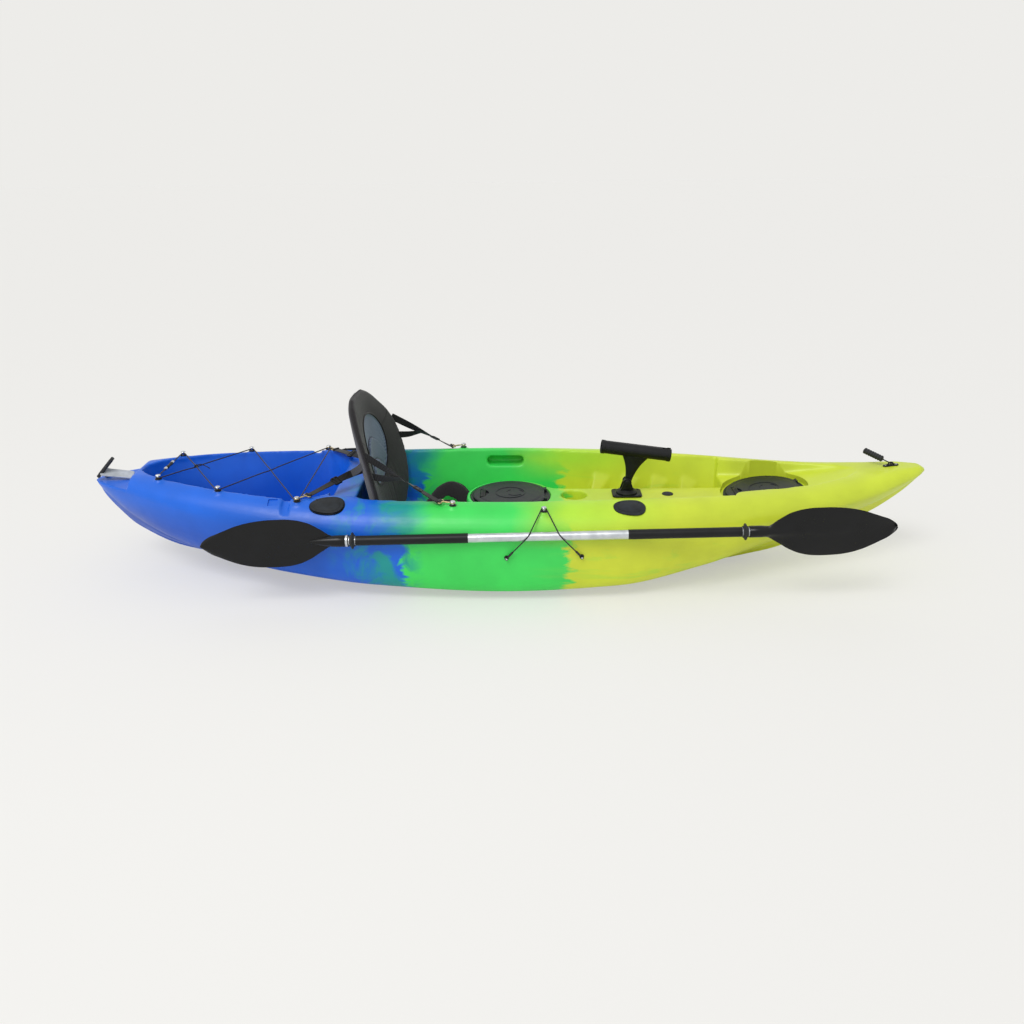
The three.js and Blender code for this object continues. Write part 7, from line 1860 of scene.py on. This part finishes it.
def buildBowEnd():
    sizes = endSizes
    at = deckFrame(sizes["bowX"], 0) @ Matrix.Translation((0, 0, 0.0003))
    length, width, thickness = sizes["plate"]
    plate = softened(prism("plate", roundedOutline(length, width, width / 2.1, 10), 0, thickness, at), 0.001)
    upright = at @ Matrix.Translation((0, 0, thickness - 0.001)) @ Matrix.Rotation(math.pi / 2, 4, "X")
    bail = tubed("bail", ringPoints(sizes["ring"], 0, math.pi, 33, upright), sizes["wire"], 16)
    screws = [screwHead(at @ Matrix.Translation((end * 0.019, 0, thickness))) for end in (-1, 1)]
    finished(joined("bowEye", [plate, bail]), materials["mouldedNylon"], "hull", "bow_eye")
    finished(joined("bowEyeScrews", screws), materials["polishedSteel"], "hull")
    centre = Vector(sizes["centre"])
    frameHere = at @ Matrix.Translation(centre) @ Matrix.Rotation(sizes["yaw"], 4, "Z") \
        @ Matrix.Rotation(math.pi / 2 - sizes["pitch"], 4, "Y")
    bar = toggleBar("bar", sizes["bar"], sizes["barRadius"], sizes["ribs"], frameHere)
    crest = thickness + sizes["ring"] * math.cos(math.pi / 8) - sizes["wire"] - 0.0006 - sizes["cord"]
    start = Vector((0, -sizes["wire"] - sizes["knot"] - 0.0003, crest))
    route = [start, Vector((0, sizes["wire"] + sizes["cord"], crest)),
             Vector((0, sizes["wire"] + 3 * sizes["cord"], crest)),
             centre]
    cord = tubed("cord", [at @ p for p in curveThrough(route, 8)], sizes["cord"], 12)
    loops = [at @ (start + 0.0022 * Vector((math.sin(2 * t), 0.8 * math.cos(3 * t),
                                            math.sin(t) * 1.1 + 0.4 * math.cos(2 * t))))
             for t in np.linspace(0, 2 * math.pi, 61)]
    knot = tubed("knot", loops, 0.0019, 10)
    finished(bar, materials["softRubber"], "bow_handle", "bow_toggle")
    finished(joined("bowToggleCord", [cord, knot]), materials["braidedCover"], "bow_handle")


def buildSternEnd():
    sizes = endSizes
    eyeX, eyeY = sizes["eye"]
    at = Matrix.Translation((eyeX, eyeY, deckSizes["sternFlat"] + 0.0003))
    washer, height = deckButton["washer"], deckButton["washerHeight"]
    foot = lathed("sternEyeFoot",
        [(0, 0), (washer - 0.0005, 0), (washer, 0.0006), (washer - 0.001, 0.0019), (0.006, height),
         (0, height)], 48, at)
    finished(foot, materials["mouldedNylon"], "hull")
    top = height + deckButton["postHeight"]
    shank = lathed("shank",
        [(0, height - 0.0004), (0.0075, height - 0.0004), (0.0075, height + 0.002), (0.0045, height + 0.003),
         (0.0042, top), (0, top)], 36, at)
    turned = at @ Matrix.Translation((0, 0, top + sizes["ring"] - sizes["wire"] / 2)) \
        @ Matrix.Rotation(math.radians(sizes["eyeTurn"]), 4, "Z") @ Matrix.Rotation(math.pi / 2, 4, "X")
    eye = tubed("eye", ringPoints(sizes["ring"], -math.pi / 2 - 0.02, 1.5 * math.pi - 0.02, 49, turned),
                sizes["wire"], 16)
    finished(joined("sternEye", [shank, eye]), materials["polishedSteel"], "hull",
             "stern_eye")
    hinge = Matrix.Translation((sizes["foreX"], 0, deckSizes["sternFlat"] + 0.0003)) \
        @ Matrix.Rotation(math.radians(sizes["handleTurn"]), 4, "Z")
    length = sizes["foreX"] - sizes["aftX"]
    rise = hinge @ Matrix.Rotation(math.asin(sizes["handleRise"] / length), 4, "Y")
    wide, thick = strapSizes["width"], sizes["webbing"]
    route = [hinge @ Vector((0, 0, thick / 2)), hinge @ Vector((-sizes["tab"] * 0.7, 0, thick / 2)),
             rise @ Vector((-2 * sizes["tab"], 0, thick / 2)), rise @ Vector((-0.8 * length, 0, thick / 2)),
             rise @ Vector((-length, 0, thick / 2))]
    across = hinge.to_3x3() @ Vector((0, 1, 0))
    points = curveThrough(route, 10)
    band = lofted("band", ribbonRings(points, [across] * len(points), wide, thick))
    finished(band, materials["flatWebbing"], "stern_handle")
    gripWidth, gripThick = sizes["grip"]
    middle = rise @ Matrix.Translation((-length / 2 - sizes["tab"] / 2, 0, sizes["gripLift"])) \
        @ Matrix.Rotation(math.radians(sizes["gripRoll"]), 4, "X")
    plate = prism("sternGrip", roundedOutline(length - sizes["tab"], gripWidth, 0.008, 8), 0, gripThick,
                  middle)
    hollow = prism("hollow", roundedOutline(length - sizes["tab"] - 0.018, gripWidth - 0.014, 0.006, 8),
                   gripThick - 0.0012, 0.02,
                   middle)
    finished(softened(without(plate, hollow), 0.0013, 40, 3), materials["paleNylon"], "stern_handle")
    blockWidth, blockThick, blockLength = sizes["block"]
    up, lean = blockLength * (0.5 - sizes["blockJoin"]), math.radians(sizes["blockLean"])
    place = hinge @ Matrix.Translation((up * math.sin(lean) - length, 0,
                                        up * math.cos(lean) + sizes["handleRise"])) \
        @ Matrix.Rotation(lean, 4, "Y")
    block = softened(prism("sternBar", roundedOutline(blockThick, blockWidth, blockThick / 2.1, 8),
                           -blockLength / 2,
                           blockLength / 2, place), 0.0018)
    groove = [softened(boxed("rib", (-blockThick / 2 - 0.0006, -blockWidth * 0.3, z - 0.002),
                             (blockThick / 2 + 0.0006,
blockWidth * 0.3, z + 0.002), place), 0.0006, 40, 2) for z in np.linspace(-0.03, 0.03, 7)]
    finished(joined("sternBar", [block] + groove), materials["softRubber"], "stern_handle",
             "stern_toggle")


buildBowEnd()
buildSternEnd()
print("carrying handles done")


# Paddle: aluminium tube in two halves, shrunk sleeves to hold, cupped drip rings and spoon blades
paddle = {
    "middle": (0.134, -0.39935, 0.252), "tilt": 1, "shaft": 0.015, "wall": 0.0014, "half": 0.68,
    "gap": 0.0003,
    "grip": (0.256, 0.362, 0.0009), "drip": (0.62, 0.017, 0.027, 0.003), "blade": (0.64, 0.078, 0.019, 0.398),
    "upper": 0.078, "lower": 0.088, "thickness": 0.0035, "rib": 0.009, "scoop": 0.03,
    "upperShares": [0.22, 0.52, 0.81, 0.95, 1, 1, 0.97, 0.9, 0.78, 0.6, 0.42, 0.3],
    "lowerShares": [0.2, 0.42, 0.7, 0.89, 0.98, 1, 0.99, 0.94, 0.83, 0.65, 0.44, 0.3], "tipFrom": 0.9,
}


def alongX(place, start):
    return place @ Matrix.Translation((start, 0, 0)) @ Matrix.Rotation(math.pi / 2, 4, "Y")


def paddleBlade(name, place):
    sizes = paddle
    start, neck, neckRadius, length = sizes["blade"]
    root, stations = start + neck, len(sizes["upperShares"]) - 1
    rings = []
    for along in [(1 - math.cos(math.pi * i / 70)) / 2 for i in range(71)]:
        tip = math.sqrt(max(1 - max((along - sizes["tipFrom"]) / (1 - sizes["tipFrom"]), 0) ** 2, 0.0004))
        upper, lower = (sizes[side] * tip * monotone(range(stations + 1), sizes[f"{side}Shares"],
                                                     along * stations)
                        for side in ("upper", "lower"))
        spine = sizes["thickness"] / 2 + sizes["rib"] * (1 - along) ** 2
        bow = sizes["scoop"] * along ** 2 - sizes["scoop"] / 4
        x = root - neck / 3 + (length + neck / 3) * along
        ring = []
        for face in (1, -1):
            for k in range(24):
                t = math.cos(math.pi * k / 24) * face
                z = upper * t if t > 0 else lower * t
                skin = sizes["thickness"] / 2 * (1 - t ** 6)
                middle = (spine - sizes["thickness"] / 2) * math.exp(-(z / 0.013) ** 2)
                curl = 1 - (z / max(upper, lower)) ** 2 / 2
                ring.append((x, face * (skin + middle) + bow * curl, z))
        rings.append(ring)
    blade = lofted(name, rings, place)
    neckForm = lathed("neck",
                      [(0, 0), (neckRadius - 0.0008, 0), (neckRadius, 0.001), (neckRadius, neck * 0.5),
                       (neckRadius * 0.86, neck * 0.9), (0.0125, neck * 1.25), (0.006, neck * 1.6),
                       (0, neck * 1.62)], 48,
                      alongX(place, start))
    modified(blade, "BOOLEAN", operation="UNION", solver="MANIFOLD", object=neckForm)
    settle(blade)
    bpy.data.objects.remove(neckForm)
    bore = lathed("bore",
        [(0, -0.01), (sizes["shaft"] + sizes["gap"], -0.01), (sizes["shaft"] + sizes["gap"], sizes["half"]
         + sizes["gap"] - start), (0, sizes["half"] + sizes["gap"] - start)], 48, alongX(place, start))
    without(blade, bore)
    return blade


for name, end in (("aft", -1), ("fore", 1)):
    sizes, body = paddle, f"paddle_{name}"
    place = Matrix.Translation(sizes["middle"]) @ Matrix.Rotation(-math.radians(sizes["tilt"]), 4, "Y")
    if end < 0:
        place = place @ Matrix.Rotation(math.pi, 4, "Z")
    inner, outer = sizes["shaft"] - sizes["wall"], sizes["shaft"]
    half = sizes["half"]
    tube = lathed(f"shaft{name}",
                  [(inner, 0.00015), (outer, 0.00015), (outer, half), (inner, half), (inner, 0.00015)], 64,
                  alongX(place, 0))
    parts = [tube]
    if end < 0:
        parts.append(lathed("ferrule",
                            [(inner - 0.002, -0.045), (inner - 0.0003, -0.045), (inner - 0.0003, 0.045),
                             (inner - 0.002, 0.045), (inner - 0.002, -0.045)], 48, alongX(place, 0)))
        pin = place @ Matrix.Translation((0.02, 0, outer - 0.0002))
        parts.append(lathed("pin",
            [(0, -0.002), (0.0035, -0.002), (0.0035, 0)] + dome(0.0035, 0, 0.0012)[1:], 20, pin))
    finished(joined(f"shaft{name}", parts), materials["drawnAluminium"], body,
             f"paddle_shaft_{name}")
    start, length, wall = sizes["grip"]
    inside, outside = outer + sizes["gap"], outer + sizes["gap"] + wall
    profile = [(inside, 0), (outside - 0.0009, 0), (outside - 0.0002, 0.0015)]
    profile += [(outside - 0.00025 * (1 + math.cos(2 * math.pi * k / 2)) / 2,
                 0.0015 + (length - 0.003) * k / 120)
                for k in range(1, 120)]
    profile += [(outside - 0.0002, length - 0.0015), (outside - 0.0009, length), (inside, length),
                (inside, 0)]
    sleeve = lathed(f"grip{name}", profile, 48, alongX(place, start))
    finished(sleeve, materials["shrinkSleeve"], body, f"paddle_grip_{name}")
    start, length, rim, lip = sizes["drip"]
    cup = [(inside, 0), (inside + lip, 0), (inside + lip + 0.0008, length * 0.2),
           (rim - 0.002, length * 0.36),
           (rim, length * 0.42), (rim, length * 0.56), (rim - 0.0015, length * 0.64),
           (rim - 0.0045, length * 0.62),
           (inside + lip + 0.001, length * 0.5), (inside + lip, length * 0.72), (inside + lip, length * 0.96),
           (inside + lip - 0.0006, length), (inside, length), (inside, 0)]
    finished(lathed(f"dripRing{name}", cup, 64, alongX(place, start)), materials["softRubber"], body,
             f"drip_ring_{name}")
    finished(paddleBlade(f"blade{name}", place), materials["bladeNylon"], body,
             f"paddle_blade_{name}")
    if end < 0:
        collar = lathed("shaftCollar",
                        [(0.0191, 0), (0.0197, 0.0003), (0.02, 0.001), (0.02, 0.007), (0.0197, 0.0077),
                         (0.0191, 0.008), (0.0191, 0)], 48, alongX(place, sizes["blade"][0] + 0.002))
        finished(collar, materials["polishedSteel"], body)
print("paddle done")


# Elastic cord that holds the paddle: button, round the shaft, down to two small hooks
def keeperLeg(name, top):
    sizes = keeper
    frameHere = keeperFrames[name]
    hook = frameHere @ Vector((0, 0, 0.0003 + sizes["washerHeight"] + sizes["postHeight"] / 2))
    radius = paddle["shaft"] + 0.0006 + sizes["cord"]
    midX, shaftY, midZ = paddle["middle"]
    shaftZ = midZ + ((hook.x + top.x) / 2 - midX) * math.tan(math.radians(paddle["tilt"]))

    def touch(point, turn):
        away = math.atan2(point.z - shaftZ, point.y - shaftY)
        return away + turn * math.acos(radius / math.hypot(point.y - shaftY, point.z - shaftZ))

    low, high = touch(hook, -1), touch(top, 1)
    sweep = (high - low) % (2 * math.pi) - 2 * math.pi
    points = []
    for i in range(25):
        turn = low + sweep * i / 24
        y, z = shaftY + radius * math.cos(turn), shaftZ + radius * math.sin(turn)
        points.append(Vector((hook.x + (top.x - hook.x) * (z - hook.z) / (top.z - hook.z), y, z)))
    toward = (points[0] - hook).normalized()
    return hook, toward, [hook + toward * (sizes["post"] + 0.0003 + sizes["eyeWire"])] + points


def buildKeeper():
    sizes = keeper
    level = deckButton["gap"] + deckButton["washerHeight"] + deckButton["postHeight"] - sizes["cord"]
    stop = {"centre": buttonFrames["paddle_button"] @ Vector((0, 0, level)), "turn": -1,
            "radius": deckButton["post"] + 0.0003 + sizes["cord"]}
    legs = [keeperLeg(name, stop["centre"]) for name in ("aft", "fore")]
    tops = [{"centre": leg[2][-1], "turn": 0, "radius": 0} for leg in legs]
    wrap = wrapPoints(stop, headingBetween(tops[0], stop), headingBetween(stop, tops[1]))
    parts = [tubed("cord", legs[0][2] + wrap + legs[1][2][::-1], sizes["cord"], 12)]
    for (hook, toward, points), frameHere in zip(legs, keeperFrames.values()):
        place = Matrix.Translation(hook) @ frameHere.to_3x3().to_4x4()
        reach = sizes["post"] + 0.0003 + sizes["eyeWire"]
        parts.append(tubed("eye", ringPoints(reach, 0, 2 * math.pi, 33, place), sizes["eyeWire"], 12))
    finished(joined("keeperCord", parts), materials["braidedCover"], "hull", "keeper_cord")
    sleeves, dots = [], []
    for (hook, toward, points), frameHere in zip(legs, keeperFrames.values()):
        at = axisFrame(hook + toward * (sizes["head"] + sizes["sleeve"]), toward, frameHere.col[2].to_3d())
        r, length = sizes["sleeve"], sizes["sleeveLength"]
        sleeves.append(lathed("sleeve",
            [(0, -0.0012), (r * 0.7, -0.001), (r * 0.95, 0), (r, 0.002), (r, length - 0.004),
             (r * 0.75, length), (0, length)], 32, at))
        top = 0.0003 + sizes["washerHeight"] + sizes["postHeight"] + sizes["headHeight"] - 0.0008
        dots.append(lathed("dot",
                           [(0, -0.001), (0.0032, -0.001), (0.0032, 0)] + dome(0.0032, 0, 0.0012)[1:], 24,
                           frameHere @ Matrix.Translation((0, 0, top))))
    finished(joined("keeperSleeves", sleeves), materials["softRubber"], "hull")
    finished(joined("keeperDots", dots), materials["polishedSteel"], "hull")


buildKeeper()
print("keeper done")


# Pale floor, soft studio light and the photograph's own camera
stage = {"floor": "#F3F2EF", "floorReach": 30, "skyLevel": 0.6, "backLevel": 0.945, "floorGlow": 0.5,
         "key": 20, "sun": 1.1, "sunSpread": 24}
camera = {"target": (0.0136, 0, 0.1772), "azimuth": 0.8596, "elevation": 21.7599, "roll": -0.7336,
          "distance": 3.4223,
          "focal": 943.99, "pictureWidth": 1024, "sensor": 36}


def layFloor():
    half = stage["floorReach"]
    floor = meshPiece("floor", [(-half, -half, cadLow.z - 0.0006), (half, -half, cadLow.z - 0.0006),
                                (half, half, cadLow.z - 0.0006), (-half, half, cadLow.z - 0.0006)],
                                [(0, 1, 2, 3)])
    paint, tree, shader = newMaterial("floorPaint", {
        "Base Color": linear(stage["floor"]), "Roughness": 0.85, "Specular IOR Level": 0.1})
    # seen by the camera, half of the floor's tone doesn't depend on the lamps, so it is evenly pale
    path = addNode(tree, "ShaderNodeLightPath")
    share = addNode(tree, "ShaderNodeMath", {"operation": "MULTIPLY", 1: stage["floorGlow"]},
                    {0: path.outputs["Is Camera Ray"]})
    glow = addNode(tree, "ShaderNodeEmission", {"Color": linear(stage["floor"]), "Strength": 1.0})
    mixed = addNode(tree, "ShaderNodeMixShader", {},
                    {0: share.outputs[0], 1: shader.outputs[0], 2: glow.outputs[0]})
    tree.links.new(mixed.outputs[0], tree.nodes["Material Output"].inputs["Surface"])
    floor.data.materials.append(paint)


def lightUp():
    world = bpy.data.worlds.new("studio")
    bpy.context.scene.world = world
    world.use_nodes = True
    tree = world.node_tree
    tree.nodes.clear()
    path = addNode(tree, "ShaderNodeLightPath")
    plain = addNode(tree, "ShaderNodeBackground", {"Color": linear("#FFFFFF"), "Strength": stage["skyLevel"]})
    pale = addNode(tree, "ShaderNodeBackground",
                   {"Color": linear(stage["floor"]), "Strength": stage["backLevel"]})
    seen = addNode(tree, "ShaderNodeMath", {"operation": "MAXIMUM"},
                   {0: path.outputs["Is Camera Ray"], 1: path.outputs["Is Glossy Ray"]})
    seen = addNode(tree, "ShaderNodeMath", {"operation": "MAXIMUM"},
                   {0: seen.outputs[0], 1: path.outputs["Is Transmission Ray"]})
    both = addNode(tree, "ShaderNodeMixShader", {},
                   {0: seen.outputs[0], 1: plain.outputs[0], 2: pale.outputs[0]})
    addNode(tree, "ShaderNodeOutputWorld", {}, {"Surface": both.outputs[0]})
    for name, kind, place, power in (("key", "AREA", (-1.4, -2.4, 3.2), stage["key"]),
                                     ("sun", "SUN", (-1.0, -1.6, 2.6), stage["sun"])):
        lamp = bpy.data.lights.new(name, kind)
        lamp.energy = power
        if kind == "AREA":
            lamp.size = 2.6
        else:
            lamp.angle = math.radians(stage["sunSpread"])
        holder = bpy.data.objects.new(name, lamp)
        holder.location = place
        holder.rotation_euler = (-Vector(place)).to_track_quat("-Z", "Y").to_euler()
        bpy.context.scene.collection.objects.link(holder)


def setCamera():
    a, e, r = (math.radians(camera[key]) for key in ("azimuth", "elevation", "roll"))
    back = Vector((math.sin(a) * math.cos(e), -math.cos(a) * math.cos(e), math.sin(e)))
    level = Vector((math.cos(a), math.sin(a), 0))
    up = back.cross(level)
    right = level * math.cos(r) + up * math.sin(r)
    above = up * math.cos(r) - level * math.sin(r)
    lens = bpy.data.cameras.new("camera")
    lens.sensor_width = camera["sensor"]
    lens.lens = camera["focal"] / camera["pictureWidth"] * camera["sensor"]
    holder = bpy.data.objects.new("camera", lens)
    holder.matrix_world = Matrix.Translation(Vector(camera["target"]) + back * camera["distance"]) \
        @ Matrix((right, above, back)).transposed().to_4x4()
    bpy.context.scene.collection.objects.link(holder)
    bpy.context.scene.camera = holder


layFloor()
lightUp()
setCamera()
bpy.context.scene.view_settings.view_transform = "Standard"
print("stage set")
